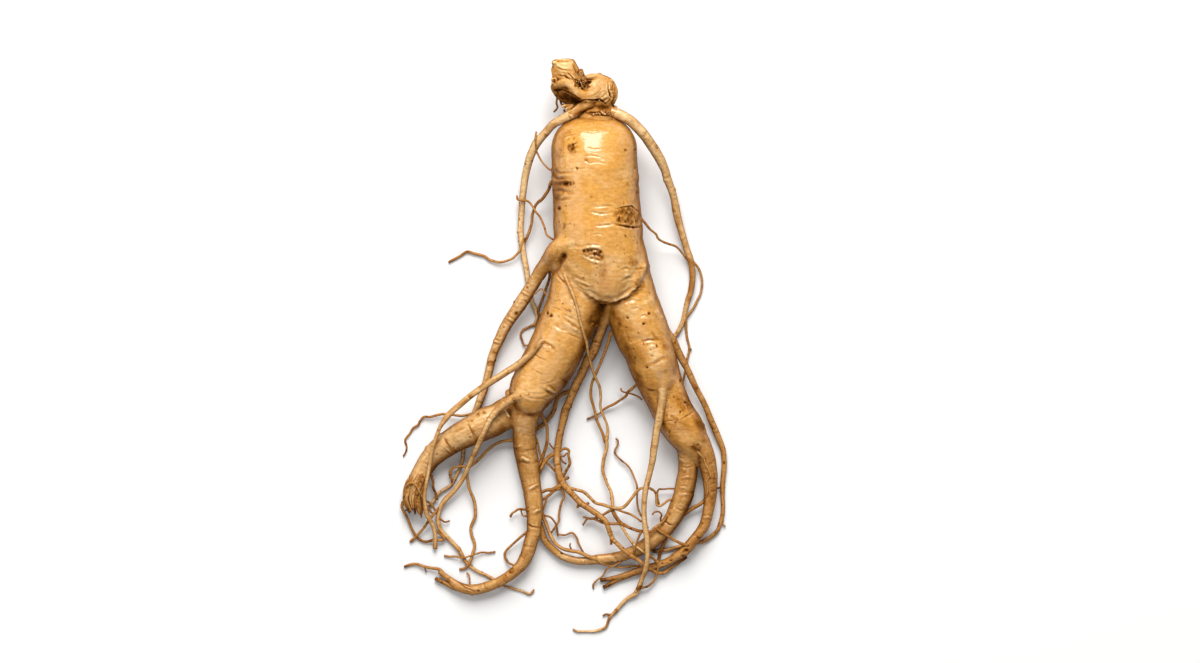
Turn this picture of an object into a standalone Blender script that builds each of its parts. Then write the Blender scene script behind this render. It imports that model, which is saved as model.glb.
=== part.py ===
"""A fresh ginseng root lying on its back on a flat surface, at real size.

The root grew as one piece, so it is one object. It is drawn on a sheet as seen
from straight above: x runs to the right and y down the sheet, the crown is at
the top of the sheet and the tails at the bottom. One drawing unit is 0.42 mm.
Every limb is a tapered tube along its own centre line. Each point of a centre
line is (x, y, height, radius), all in drawing units, the height above the
surface that the root lies on. The tubes are joined with Boolean unions, and the
few places that carry the root's weight are pressed flat at height 0.
"""

import math

import bpy
import bmesh
from mathutils import Matrix, Vector

# ---------------------------------------------------------------- dimensions
UNIT = 0.42e-3           # metres per drawing unit
SHEET_CENTRE = (600.0, 331.5)   # sheet point straight below the eye
ORIGIN = (563.8, 346.7)  # sheet point above the object's origin
EYE_HEIGHT = 2.8         # metres: near parts are drawn larger by this eye height
TRUNK_DEPTH = 0.88       # the trunk is a little flatter than it is wide

TRUNK_SIDES = 20
SKIN = (0.52, 0.29, 0.10, 1.0)

# ---------------------------------------------------------------- centre lines
# The trunk, from the neck down to the lower edge of the belly.
TRUNK = [
    (593.5, 112, 39.0, 11), (593.5, 116, 38.5, 18), (593.3, 121, 38.0, 25),
    (593, 126, 37.6, 30), (592.6, 132, 37.2, 34.5), (593, 140, 37.0, 38),
    (593, 150, 36.8, 41), (594, 160, 36.8, 43), (594.6, 172, 36.8, 43.2),
    (595.2, 185, 36.8, 43.2), (596, 200, 36.8, 43.2), (597, 215, 37.0, 43.6),
    (598, 230, 37.4, 44.4), (600, 245, 37.4, 44.2), (602, 257, 37.4, 44),
    (603, 268, 37.8, 45), (604, 278, 38.6, 46), (605.5, 286, 39.6, 42),
    (607, 293, 40.2, 33), (608.5, 298, 40.2, 20), (609, 301, 40.2, 8),
]

# The crown: the neck and the old stem stubs on it.
NECK = [
    (597, 124, 38, 20), (600, 113, 39, 14), (601, 104, 40, 13.4),
    (601, 96, 41, 15.3), (600.5, 88, 41, 15.3), (599, 81, 41, 12.2),
    (597, 76, 41, 8.4), (596.5, 74, 41, 5),
]
STEM_STUB = [
    (592, 98, 40, 11), (583, 93, 41, 12), (575.5, 87, 42, 13.4),
    (570, 80, 43, 14), (566.6, 73, 43.5, 13), (564.6, 66.5, 43.8, 11.6),
    (564, 61, 44, 10.6),
]
CROWN_LOBE = [
    (589, 100, 36.4, 9.6), (579, 96.5, 35.2, 11.2), (569.6, 93.2, 34.8, 11.8),
    (562, 90, 34.6, 9.2), (555.5, 87, 34.6, 5),
]

LEFT_ARM = [
    (601, 107.3, 36.5, 6.1), (590.4, 103.2, 41.7, 6), (580, 108, 45, 5.6),
    (571, 114.5, 46, 5), (562, 119.3, 44, 4.5), (553, 124.5, 40.5, 4.1),
    (545.5, 133, 36, 4.1), (537.5, 142, 32, 4.4), (533.2, 150, 28.5, 4.3),
    (529.2, 160, 24.5, 4.1), (526.2, 172, 20, 3.7), (523.7, 187, 15.5, 3.5),
    (522.3, 200, 12, 3.3), (521.4, 215, 9, 3.1), (520.7, 230, 7, 3),
    (521.8, 243, 5.5, 3), (523.9, 256, 4.5, 2.9), (526.2, 268, 4, 2.8),
    (528, 281, 3.4, 2.6), (531.5, 300, 2.9, 2.4), (534.2, 306, 2.6, 2.3),
    (536.3, 312, 2.4, 2.1), (536.8, 318, 2.2, 1.6), (534, 326, 2, 1.4),
]
RIGHT_ARM = [
    (598, 108, 38, 6), (608, 110.5, 41.5, 5.2), (616, 113.3, 43.5, 5.3),
    (624, 117, 44, 5.3), (632, 122.3, 42.5, 5.2), (640, 130, 39.5, 5.2),
    (645, 136, 37, 5.1), (650, 143, 34, 5), (655, 150.5, 31, 5),
    (660.3, 160, 27.5, 5), (664.9, 170, 24, 4.3), (667.8, 180, 21, 4.2),
    (671.6, 190, 18, 3.8), (674.3, 200, 15.5, 3.7), (677, 215, 12.5, 4),
    (681, 230, 10, 3.5), (687, 250, 7.5, 3.3), (690.5, 260, 6.5, 3.2),
    (692.5, 275, 5.2, 3), (691, 290, 4.4, 2.9), (687.8, 300, 4, 2.7),
    (685.4, 310, 3.6, 2.4), (683.3, 320, 3.3, 2.4), (679, 330, 3, 2.2),
    (675, 336, 2.8, 1.9), (671, 341, 2.6, 1.6),
]
FLANK_ARM = [
    (578, 240, 36, 9.5), (562, 248, 34.5, 8.6), (552.5, 253, 32, 7.4),
    (546.8, 262, 29, 6.6), (540.5, 271, 26, 6.8), (534.5, 282, 22.5, 6.5),
    (527.7, 293, 19, 6.5), (520.5, 304, 16.5, 6.7), (513.9, 314, 14.5, 6),
    (508.3, 322, 13, 5.6), (503.2, 331, 11.5, 5.3), (499.2, 340, 10.5, 5),
    (494.8, 350, 9.5, 4.3), (491.6, 360, 8.5, 4.3), (489.3, 370, 7.5, 4.1),
    (486.8, 380, 6.6, 3.8), (483.7, 390, 5.6, 3.9), (480, 400, 4.6, 3.8),
    (477, 408, 4, 3.3), (474.5, 414, 3.6, 3), (470, 428, 2.6, 2.1),
    (464, 447, 2.6, 1.9), (462.5, 460, 2.6, 1.8), (460, 468, 2.6, 1.7),
    (457, 474, 2.6, 1.6), (453, 482, 2.8, 1.5), (449, 486.5, 3, 1.5),
    (443, 490, 3.4, 1.5), (438, 494, 3.6, 1.5), (434, 500, 4, 1.4),
    (431, 504, 4.2, 1.4), (427, 508, 4.4, 1.3),
]

LEFT_THIGH = [
    (592, 262, 35, 26), (583, 285, 31.5, 28), (574.5, 306, 30, 28.4),
    (565, 328, 28.6, 28), (558.5, 343, 28, 27.6), (551.5, 357, 27.2, 27),
    (543.5, 371, 26, 26), (536.5, 382, 25.2, 24.6), (531.5, 391, 24.4, 22),
    (529.5, 398, 23.2, 17), (529, 403, 22.4, 10),
]
RIGHT_THIGH = [
    (621, 262, 35, 23.4), (625.5, 284, 32, 26.2), (631, 302, 30, 27.2),
    (636.5, 318, 28.8, 27.5), (642, 333, 27.6, 27.2), (649, 350, 26, 24.8),
    (654, 366, 24.2, 24.5), (659.5, 380, 23, 22.8), (665, 394, 22, 21.4),
    (671, 408, 21.4, 20.6), (678, 421, 20.6, 20.4), (684.5, 433, 20, 18.4),
    (690, 442, 19.4, 13.5), (693, 447, 19, 8),
]
LEFT_SHIN = [
    (534, 394, 22, 20), (531, 403, 20.5, 19), (527.5, 412, 17.5, 15.2),
    (525, 421, 15.4, 12.6), (524.4, 432, 13.6, 11.4), (525.5, 450, 12, 11.5),
    (527.7, 463, 11.4, 11.2), (529.7, 475, 10.8, 10.3), (531, 484, 10.8, 9.6),
    (532.8, 494, 11.4, 9.2), (534.2, 504, 12, 8.9), (534.9, 516, 12.6, 8.2),
    (534.3, 524, 12.8, 7.4), (533.4, 533, 12.8, 7.1), (531, 541, 12.6, 7.1),
    (528, 552, 12, 6.8), (523.5, 561.5, 11.6, 6.3), (518, 568.5, 11.2, 5.6),
    (507.5, 577, 10.4, 5.1), (497, 583, 9.6, 5), (485.5, 587.2, 8.6, 5.3),
    (475, 589.5, 7.6, 5.2), (466, 589, 6.8, 5), (457, 585.5, 6, 4.4),
    (447.5, 577.8, 5.2, 2.8), (442, 573.8, 4.8, 2.6), (439.5, 572, 4.6, 2),
]
SHIN_FORK = [
    (462, 589, 6, 3.6), (454, 587.5, 5, 2.8), (446, 583.5, 4, 2.2),
    (440, 581, 3.6, 2), (435.5, 578.5, 3.4, 2),
]
FOREARM = [
    (524, 402, 22, 13), (515, 408, 22, 15), (507, 413, 21.8, 15.4),
    (498, 418.5, 21.4, 15.5), (485, 424, 21, 15.8), (470, 431.5, 20.6, 14.6),
    (455, 439, 17.4, 13.2), (440, 449.5, 13.6, 11.9), (430, 459, 11.4, 10.4),
    (424, 468, 10, 9.8), (418.5, 479, 10.2, 10), (414, 490, 10.8, 10.6),
    (411.8, 500, 11.2, 11), (412, 507, 11.4, 9), (414, 514, 11.6, 5.5),
    (419, 519.5, 12, 2),
]
CENTRE_TAIL = [
    (612, 288, 30, 6), (611, 303, 27, 6), (608, 312, 25, 5.6),
    (604, 321, 23, 5.5), (601, 331, 21.4, 5.1), (597.4, 340, 20, 5),
    (594, 350, 18.6, 4.8), (588, 360, 17.2, 4.8), (584, 368.5, 15.8, 4.4),
    (580.8, 376, 14.6, 4.2), (576.5, 384, 13.8, 4.4), (573.8, 390, 13, 4.4),
    (570.3, 399, 12, 3.9), (567, 407, 11.2, 4), (565.2, 411, 10.8, 4.2),
    (563.7, 418.5, 10, 3.9), (561.8, 426, 9.4, 3.6), (560.2, 433, 8.8, 3.6),
    (558.3, 443, 8.2, 3.6), (557, 456, 7.7, 3.5), (558, 468, 7.6, 3.6),
    (560.5, 478, 8.2, 3.4), (565, 486, 9.2, 3.3), (573, 495, 10.6, 3.2),
    (581, 503.3, 12, 3.1), (588, 508, 13, 3), (595.5, 513, 14, 2.9),
    (601.5, 517.5, 15, 2.8), (606, 522, 15.6, 2.7), (608.3, 528, 16, 2.5),
    (610.4, 534, 16.4, 2.4), (613, 539.5, 17.2, 2.3), (617.5, 544, 18, 2.2),
    (623, 549.5, 18.6, 2.2), (631.5, 556, 18, 2.2), (638, 560, 16.5, 2.1),
    (645, 565.4, 12.8, 2.1), (651, 569.3, 9, 1.9), (655, 572, 6.6, 1.9),
    (661, 573, 5, 1.9), (665, 572.3, 4.6, 1.9), (670.5, 568, 4.2, 1.9),
    (679, 562, 4, 1.9), (686, 557, 4.6, 1.8),
]
INNER_CALF = [
    (685, 432, 19, 13), (688, 445, 17, 11.5), (687.8, 458, 14.8, 10),
    (688, 470, 12.8, 9.8), (686.5, 480, 11.8, 10.1), (684, 493, 11, 10.2),
    (681.5, 500, 10.6, 9.9), (678.3, 507, 10, 9.4), (674.8, 515, 9.4, 8.9),
    (669.7, 523, 8.8, 8.4), (663.5, 530.5, 8.4, 8.2), (652, 541, 8.2, 7.8),
    (638.5, 549.5, 7.6, 6.6), (625, 555, 6.6, 5.6), (617, 557.2, 6, 5.3),
    (607, 558.8, 5.8, 5.2), (598, 559.4, 5.6, 5), (588.5, 560.6, 5.2, 4.2),
    (578.6, 561, 5, 3.7), (570.5, 559.3, 5, 3.7), (564.5, 557.2, 5, 3.7),
    (559, 554.2, 5, 3.5), (550.4, 547, 5.2, 3.4), (546.4, 542.3, 5.6, 3.3),
    (543.4, 537, 6.2, 3.2), (541.5, 530, 7, 3.1), (540, 523, 8, 2.8),
]
OUTER_CALF = [
    (688, 426, 20, 13), (694.5, 435, 19, 11.6), (701.5, 447, 17.4, 10.2),
    (707, 460, 15.6, 9), (709.4, 474, 14, 8.2), (710.5, 487, 13.2, 7),
    (710.3, 495, 12.8, 6.6), (709.5, 503, 12.6, 6), (708, 511, 12.5, 5.5),
    (706, 520, 12.4, 5.4), (703.3, 527, 12.4, 5.3), (698.5, 534, 12.4, 5),
    (692.8, 541, 12, 5), (688, 547.3, 11.2, 5.2), (682.3, 552.8, 10.2, 4.9),
    (676, 556.6, 9.2, 4.4), (671.5, 559.8, 8.4, 4.2), (666.5, 562.3, 7.4, 4),
    (660, 564.5, 6.4, 3.9), (652, 566.8, 5.4, 3.6), (640, 570.5, 4.6, 3.6),
    (628, 574.5, 4, 3.2), (617, 577.5, 3.4, 2.5), (601, 580.3, 2.6, 1.8),
]
CALF_FORK = [
    (630, 575.5, 3.6, 2.4), (617, 580.3, 2.9, 2), (609, 584.6, 2.5, 1.9),
    (603.3, 587.4, 2.4, 1.9),
]

# The long thin roots of the thighs and knees.
THIGH_ROOT_RIGHT = [
    (660, 331, 30, 5), (668, 335.5, 28, 5), (673.5, 342, 26, 4.6),
    (677.3, 350, 23.4, 4), (680.8, 357, 21.2, 3.8), (684, 363, 19.4, 3.5),
    (687.6, 370, 17.6, 3.3), (690.8, 377, 16, 3.3), (694, 384, 14.4, 3.1),
    (697.5, 391, 12.8, 3), (701.2, 398, 11.4, 3), (704.3, 404, 10.2, 3),
    (707.3, 411, 9, 3), (711, 420.5, 7.6, 3.2), (715.2, 430, 6.2, 3.2),
    (719.2, 440, 5, 3), (723.1, 450, 4.2, 2.7), (724.1, 460, 3.8, 2.7),
    (724.2, 466, 3.6, 2.7), (723.4, 475, 3.4, 2.5), (722.5, 485, 3.2, 2.4),
    (722.6, 495, 3, 2.2), (723, 505, 2.9, 2.1), (722.6, 514, 2.8, 2.2),
    (720.5, 522, 2.7, 2), (717.7, 530, 2.6, 2), (713, 535, 2.6, 2),
    (706, 540, 2.6, 2.2), (700, 542, 2.6, 2.2), (690, 544, 2.5, 2),
    (681.6, 545.8, 2.5, 1.9), (674.4, 548, 2.4, 1.9), (668, 549.6, 2.3, 1.8),
    (660, 550.8, 2.2, 1.7), (653, 551.2, 2.2, 1.5),
]
KNEE_ROOT_RIGHT = [
    (655, 352, 40, 6), (660.5, 364, 43.6, 7.6), (663.5, 377, 43.8, 6.6),
    (662.5, 388, 43, 5.2), (662, 400, 41.5, 4.6), (660.8, 410, 40, 4.4),
    (658.9, 420, 38.5, 4), (656.7, 430, 37, 3.8), (655.2, 440, 35.4, 3.8),
    (653.6, 450, 34, 3.6), (652.5, 460, 32.6, 3.2), (650.4, 470, 31.2, 3),
    (648.1, 480, 29.8, 2.9), (645.6, 490, 28.4, 2.8), (644.3, 500, 27, 2.7),
    (644, 510, 25.8, 2.6), (644.4, 520, 24.6, 2.7), (645.5, 530, 23.4, 2.8),
    (647.2, 541, 22.4, 2.8), (647.5, 551.3, 20.6, 2.6), (647.2, 560.7, 18.4, 2.4),
    (645.4, 570, 15, 2.5), (642.6, 577.5, 11, 2.4), (640.3, 584.5, 7.4, 2.7),
    (637.5, 590.5, 5, 2.5), (634.6, 594.6, 3.6, 2.4), (629, 597.5, 3, 1.9),
    (623.5, 602, 2.6, 1.8), (618.8, 607.4, 2.3, 1.7), (616.3, 610.6, 2.2, 1.9),
    (612.3, 614.6, 2, 1.5), (609.5, 618, 1.9, 1.4), (608, 621.5, 1.8, 1.3),
    (606.5, 626, 1.7, 1.3), (603.8, 628.4, 1.6, 1.3), (600, 629.8, 1.6, 1.3),
    (594.5, 631.2, 1.5, 1.2), (586, 631.4, 1.4, 1.1), (577.3, 631.4, 1.4, 1.1),
    (573.3, 629.4, 1.4, 1),
]
THIGH_ROOT_LEFT = [
    (545, 339, 49, 3.2), (540, 343.5, 50.4, 3.4), (536.5, 347.3, 49.6, 3.4),
    (532.7, 352, 48.4, 3.3), (527, 357.3, 46, 3.4), (521, 362.3, 43, 3.5),
    (514.5, 367.3, 40.6, 3.5), (507, 371.7, 38.8, 3.4), (497, 378, 36, 3.4),
    (488, 383.8, 34, 3.4), (478, 390.5, 32.4, 3.1), (470, 396.3, 31.2, 3.1),
    (461, 404, 30.4, 3.1), (453, 410.6, 30, 3), (447, 417, 30, 3),
    (441.3, 425, 30, 2.2), (438.5, 431, 29.8, 2), (435.5, 439, 29, 2),
    (432.2, 450, 27.4, 1.9), (429.2, 468, 23, 1.8), (425, 490, 19.5, 1.8),
    (424.4, 500, 17, 1.9), (426.5, 513, 13.4, 2.4), (430.5, 521, 10.6, 2.3),
    (434, 529, 8, 2.2), (435.4, 539, 5.4, 2.1), (435, 548, 3.6, 2.2),
]
KNEE_ROOT_LEFT = [
    (522, 393, 42, 4.4), (514.5, 397.5, 41.5, 4.4), (507.5, 402, 40.4, 4.4),
    (500, 407.5, 39.4, 4.1), (494.5, 413.5, 38.8, 3.6), (490, 420, 38.6, 3.1),
    (485.2, 430, 37, 2.9), (480.5, 440, 33, 2.8), (476, 450, 27.6, 2.7),
    (471.5, 460, 21, 2.7), (467.1, 470, 15.6, 2.5), (462.1, 480, 11.6, 2.5),
    (454.9, 490, 8.8, 2.5), (445.3, 500, 6.6, 2.7), (439.3, 510, 5.4, 2.3),
    (437.9, 520, 4.4, 2.3), (441, 530, 3.6, 2.2), (450, 540, 3, 2.1),
    (459, 550, 2.6, 2.1), (464.6, 560, 2.4, 1.9), (470, 566, 2.2, 1.7),
    (477, 571, 2, 1.6), (486.6, 575.4, 1.9, 1.5), (495, 580, 1.8, 1.5),
    (505, 586, 1.7, 1.3), (513, 588.5, 1.6, 1.2), (522, 591, 1.5, 1.2),
    (529.5, 594, 1.5, 1.2), (533.8, 590, 2.4, 1),
]

# Thin rootlets that hold the tangle below the knees together.
FLANK_ROOTLET = [
    (566, 258, 40, 3), (559, 266.5, 46, 1.9), (562.5, 271, 51, 1.8),
    (564.5, 275, 55, 1.7), (568.8, 285, 59.4, 1.7), (573.2, 295, 60.4, 1.7),
    (576.2, 305, 58.8, 1.6), (578.8, 315, 57.2, 1.6), (581.1, 325, 55, 1.5),
    (584, 334, 52, 1.5), (586.6, 342, 47.6, 1.5), (587.6, 350, 42.6, 1.4),
    (589, 357, 37, 1.4), (591, 364.6, 31.6, 1.4), (594.6, 376, 24.6, 1.4),
    (598.4, 384, 20.6, 1.3), (600, 390, 18, 1.3), (600.7, 399, 15.6, 1.3),
    (600.5, 407, 13.6, 1.3), (604.4, 418.5, 11.4, 1.3), (606.4, 423, 10.8, 1.3),
    (608, 431, 9.8, 1.4), (606.6, 439, 9, 1.7), (606.6, 448, 8.2, 1.8),
    (603.8, 459, 7.4, 1.7), (602.6, 469, 7, 1.6), (604.5, 477, 7.2, 1.5),
    (608, 485.5, 7.8, 1.5), (611, 492, 9, 1.5), (612.3, 500, 10.2, 1.6),
    (613, 511, 11.8, 1.6), (616.5, 518.5, 12.8, 1.5), (620.5, 524.5, 13.6, 1.5),
    (627, 535, 15, 1.3), (633.5, 544, 16.2, 1.3), (640, 549.5, 16.4, 1.3),
    (645, 553, 15.4, 1.2), (652, 557.5, 13, 1.1), (658, 562, 10, 1.1),
    (661, 565.5, 8, 1),
]
INNER_ROOTLET = [
    (620, 324, 28, 3), (611, 334, 26, 2), (609, 340, 24.6, 1.6),
    (605.6, 350, 22, 1.5), (602.3, 358.5, 19.6, 1.4), (600, 364, 18.2, 1.4),
    (596.2, 373, 15.8, 1.4), (591.6, 384, 13.2, 1.4), (590.9, 396, 11, 1.4),
    (593.8, 407, 9.4, 1.4), (597.3, 421, 8.2, 1.4), (602, 432, 7.6, 1.4),
    (605.6, 442, 8, 1.7),
]
CROSS_ROOTLET = [
    (564, 485, 9.4, 2.2), (567, 487, 10, 1.6), (575, 489.5, 12, 1.6),
    (583.5, 492, 13.4, 1.6), (590.5, 498, 14.6, 1.6), (596, 503, 15, 1.6),
    (603, 505, 15.4, 1.6), (613, 508, 15.4, 1.6), (621.5, 508, 15.4, 1.6),
    (627, 504, 16, 1.6), (632.5, 497, 16.6, 1.5), (638, 490, 18, 1.4),
    (643, 488, 18.4, 1.3), (649, 488, 18.6, 1.3), (653, 490, 18.2, 1.2),
    (655.5, 493, 18, 1.2), (656.5, 498, 17.8, 1.2), (656.5, 504, 17.4, 1.2),
    (659, 506, 17, 1.2), (662, 505, 16.6, 1.2), (666, 502, 16, 1.2),
    (669, 500, 15.4, 1.2), (674, 499.5, 14.6, 1.3),
]
CALF_BRIDGE = [
    (708, 497.5, 10.6, 2.2), (703, 502, 9.4, 1.9), (699, 505, 8.6, 1.9),
    (695, 507, 8, 1.9), (690, 510, 7.4, 1.9), (686, 513, 7.4, 1.9),
    (679, 518, 8, 2.2),
]
SHIN_STRAND = [
    (541, 512, 10, 2), (545, 521, 7.6, 1.8), (547.5, 528, 7, 1.8),
    (549.5, 533, 6.8, 1.8), (552, 538, 7, 1.8), (555, 543, 7.6, 1.8),
    (562, 548.5, 9, 1.8), (568, 550.5, 9.4, 1.9), (580, 552.8, 9.8, 1.9),
    (590, 557, 9.8, 1.9), (595, 558.5, 9.6, 1.9), (599, 561, 8.8, 1.8),
    (603, 563.5, 7.4, 1.6), (609, 565, 5.6, 1.3), (615, 566.6, 4.4, 1.1),
    (624, 567.2, 3.8, 1.1), (632.5, 566, 3.6, 1.1), (640, 566, 4.2, 1.3),
]
KNEE_LOOP = [
    (539, 409, 20, 3), (541, 414, 17.5, 1.9), (543.8, 418.5, 15.6, 1.6),
    (546, 424, 14, 1.6), (547.4, 430, 12.6, 1.6), (546.6, 444, 9.6, 1.6),
    (543, 456, 8.4, 1.7), (538, 468, 10.6, 2),
]
TAIL_LOOP = [
    (572, 390.5, 12.4, 2.6), (562, 394, 9.8, 2), (557, 399, 8.6, 2),
    (555.3, 403, 8, 2), (554.4, 409, 7.2, 2), (551.5, 414.6, 6.4, 2),
    (546.2, 421, 5.8, 2), (542, 425.4, 5.8, 2), (530, 434, 8.6, 2.2),
]
MIDDLE_BRIDGE = [
    (557, 452, 7.6, 2.3), (550, 456, 7.4, 2.2), (546, 460, 7.4, 2.2),
    (543, 464, 8, 2.2), (538, 473, 10, 2.3),
]
LOW_BRIDGE = [
    (562, 484, 8.8, 2.2), (553, 489.5, 8.4, 2), (547, 490, 8.6, 1.8),
    (541, 492.6, 9.6, 1.8), (536, 495, 11, 2),
]
LOOP_STRAND = [
    (515, 439.5, 12, 2), (508, 440.6, 10.6, 1.5), (500, 442.2, 9.8, 1.5),
    (490, 448.3, 9, 1.5), (480, 458, 8.6, 1.5), (470, 466, 8.6, 1.5),
    (460, 466, 8, 1.5), (453, 468, 7, 1.5), (450, 473, 6.4, 1.5),
    (452.4, 481.6, 4, 1.4),
]
DROP_STRAND = [
    (467, 466, 15.5, 1.7), (467, 476, 12, 1.6), (469, 487, 9, 1.6),
    (474, 501, 6, 1.6), (475.5, 510, 4.4, 1.6), (475, 517, 3.4, 1.6),
    (471, 527, 2.4, 1.5), (472, 535, 2, 1.5), (474.5, 545, 1.8, 1.5),
    (472.5, 553, 2.6, 1.5), (470, 562, 4.6, 1.5), (465.5, 568, 2.2, 1.3),
    (460, 569.5, 1.6, 1.3),
]
WRIST_STRAND = [
    (403, 502, 8, 1.8), (402, 508, 6.8, 1.4), (407, 517, 5.2, 1.3),
    (412, 529, 3.4, 1.3), (418, 538, 2.4, 1.3), (425, 541.5, 2.2, 1.3),
    (433, 540, 4.4, 1.5),
]
FINGER_STRAND = [
    (444, 575.5, 5.4, 1.8), (440, 570, 4.8, 1.6), (433, 568.4, 4, 1.5),
    (425, 567, 3.4, 1.4), (415, 564, 2.2, 1.3), (404.5, 566.5, 1.8, 1.3),
]
ELBOW_LOOP = [
    (523.4, 238, 7.4, 1.8), (520, 250, 7.4, 1.3), (515, 256.5, 6, 1.3),
    (511, 259.3, 5, 1.3), (500, 262.3, 3.4, 1.3), (490, 260, 2.4, 1.3),
    (484, 256, 2, 1.3), (475, 253.6, 1.9, 1.3), (467, 251.5, 1.8, 1.3),
    (460, 255.8, 1.8, 1.2), (449, 262, 1.6, 1.2),
]

LIMBS = [
    # name, centre line, sides, longest step along it (drawing units)
    ("left_thigh", LEFT_THIGH, 16, 16),
    ("right_thigh", RIGHT_THIGH, 16, 16),
    ("neck", NECK, 14, 9),
    ("stem_stub", STEM_STUB, 14, 10),
    ("crown_lobe", CROWN_LOBE, 12, 10),
    ("flank_arm", FLANK_ARM, 8, 15),
    ("left_shin", LEFT_SHIN, 12, 15),
    ("forearm", FOREARM, 12, 15),
    ("inner_calf", INNER_CALF, 10, 14),
    ("outer_calf", OUTER_CALF, 10, 14),
    ("shin_fork", SHIN_FORK, 6, 12),
    ("calf_fork", CALF_FORK, 6, 12),
    ("centre_tail", CENTRE_TAIL, 6, 15),
    ("left_arm", LEFT_ARM, 8, 16),
    ("right_arm", RIGHT_ARM, 8, 16),
    ("thigh_root_right", THIGH_ROOT_RIGHT, 6, 16),
    ("knee_root_right", KNEE_ROOT_RIGHT, 8, 18),
    ("thigh_root_left", THIGH_ROOT_LEFT, 6, 16),
    ("knee_root_left", KNEE_ROOT_LEFT, 6, 16),
    ("flank_rootlet", FLANK_ROOTLET, 6, 20),
    ("inner_rootlet", INNER_ROOTLET, 6, 20),
    ("cross_rootlet", CROSS_ROOTLET, 6, 16),
    ("calf_bridge", CALF_BRIDGE, 6, 13),
    ("shin_strand", SHIN_STRAND, 6, 18),
    ("knee_loop", KNEE_LOOP, 6, 14),
    ("tail_loop", TAIL_LOOP, 6, 12),
    ("middle_bridge", MIDDLE_BRIDGE, 6, 12),
    ("low_bridge", LOW_BRIDGE, 6, 12),
    ("loop_strand", LOOP_STRAND, 6, 16),
    ("drop_strand", DROP_STRAND, 6, 18),
    ("wrist_strand", WRIST_STRAND, 6, 13),
    ("finger_strand", FINGER_STRAND, 6, 14),
    ("elbow_loop", ELBOW_LOOP, 6, 16),
]


def place(x, y, height):
    """World position in metres of a sheet point at a height in drawing units."""
    z = height * UNIT
    shrink = 1.0 - z / EYE_HEIGHT
    return Vector((
        (x - SHEET_CENTRE[0]) * UNIT * shrink + (SHEET_CENTRE[0] - ORIGIN[0]) * UNIT,
        (SHEET_CENTRE[1] - y) * UNIT * shrink + (ORIGIN[1] - SHEET_CENTRE[1]) * UNIT,
        z,
    ))


def smooth_line(points, step):
    """Catmull-Rom stations through the points, at most step units apart."""
    line = []
    padded = [points[0]] + list(points) + [points[-1]]
    for i in range(1, len(padded) - 2):
        a, b, c, d = padded[i - 1:i + 3]
        count = max(1, math.ceil(math.dist(b[:3], c[:3]) / step))
        for k in range(count):
            t = k / count
            line.append(tuple(
                0.5 * (2 * q + (r - p) * t + (2 * p - 5 * q + 4 * r - s) * t * t
                       + (3 * q - p - 3 * r + s) * t ** 3)
                for p, q, r, s in zip(a, b, c, d)
            ))
    line.append(tuple(points[-1]))
    return line


def thin_out(line, step):
    """Keeps the ends and the stations that the bends and tapers need."""
    kept = [line[0]]
    for i in range(1, len(line) - 1):
        last, here, following = kept[-1], line[i], line[i + 1]
        run = math.dist(last[:3], here[:3])
        ahead = math.dist(last[:3], following[:3])
        one = Vector(here[:3]) - Vector(last[:3])
        two = Vector(following[:3]) - Vector(here[:3])
        bend = one.angle(two) if one.length and two.length else 0.0
        taper = abs(here[3] - last[3]) / max(here[3], last[3])
        if ahead > step or (bend > 0.32 and run > 0.6 * here[3]) or taper > 0.2:
            kept.append(here)
    kept.append(line[-1])
    return kept


def tube(name, points, sides, step, collection, depth=1.0):
    """A tapered tube along a centre line, as a closed mesh object."""
    line = thin_out(smooth_line(points, 4.0), step)
    curve = bpy.data.curves.new(name, "CURVE")
    curve.dimensions = "3D"
    curve.bevel_depth = UNIT
    curve.bevel_resolution = (sides - 4) // 2
    curve.use_fill_caps = True
    spline = curve.splines.new("POLY")
    spline.points.add(len(line) - 1)
    for station, (x, y, height, radius) in zip(spline.points, line):
        spot = place(x, y, height)
        station.co = (spot.x, spot.y, spot.z / depth, 1.0)
        station.radius = radius
    guide = bpy.data.objects.new(name + "_line", curve)
    guide.matrix_world = Matrix.Diagonal((1.0, 1.0, depth, 1.0))
    collection.objects.link(guide)
    bpy.context.view_layer.update()

    graph = bpy.context.evaluated_depsgraph_get()
    mesh = bpy.data.meshes.new_from_object(guide.evaluated_get(graph))
    work = bmesh.new()
    work.from_mesh(mesh)
    bmesh.ops.transform(work, matrix=guide.matrix_world, verts=work.verts)
    bmesh.ops.remove_doubles(work, verts=work.verts, dist=1e-6)
    bmesh.ops.recalc_face_normals(work, faces=work.faces)
    bmesh.ops.triangulate(work, faces=work.faces)
    work.to_mesh(mesh)
    work.free()
    solid = bpy.data.objects.new(name, mesh)
    collection.objects.link(solid)
    bpy.data.objects.remove(guide, do_unlink=True)
    return solid


def apply_boolean(target, other, operation):
    """Applies a Boolean to the target's mesh and leaves no modifier behind."""
    cut = target.modifiers.new(operation.lower(), "BOOLEAN")
    cut.operation = operation
    cut.solver = "EXACT"
    cut.object = other
    bpy.context.view_layer.update()
    graph = bpy.context.evaluated_depsgraph_get()
    mesh = bpy.data.meshes.new_from_object(target.evaluated_get(graph))
    target.modifiers.remove(cut)
    old = target.data
    target.data = mesh
    bpy.data.meshes.remove(old)


def skin_material():
    """Fresh root skin: golden tan, a little waxy."""
    material = bpy.data.materials.new("root_skin")
    material.use_nodes = True
    shader = material.node_tree.nodes["Principled BSDF"]
    shader.inputs["Base Color"].default_value = SKIN
    shader.inputs["Roughness"].default_value = 0.5
    shader.inputs["Metallic"].default_value = 0.0
    return material


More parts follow.
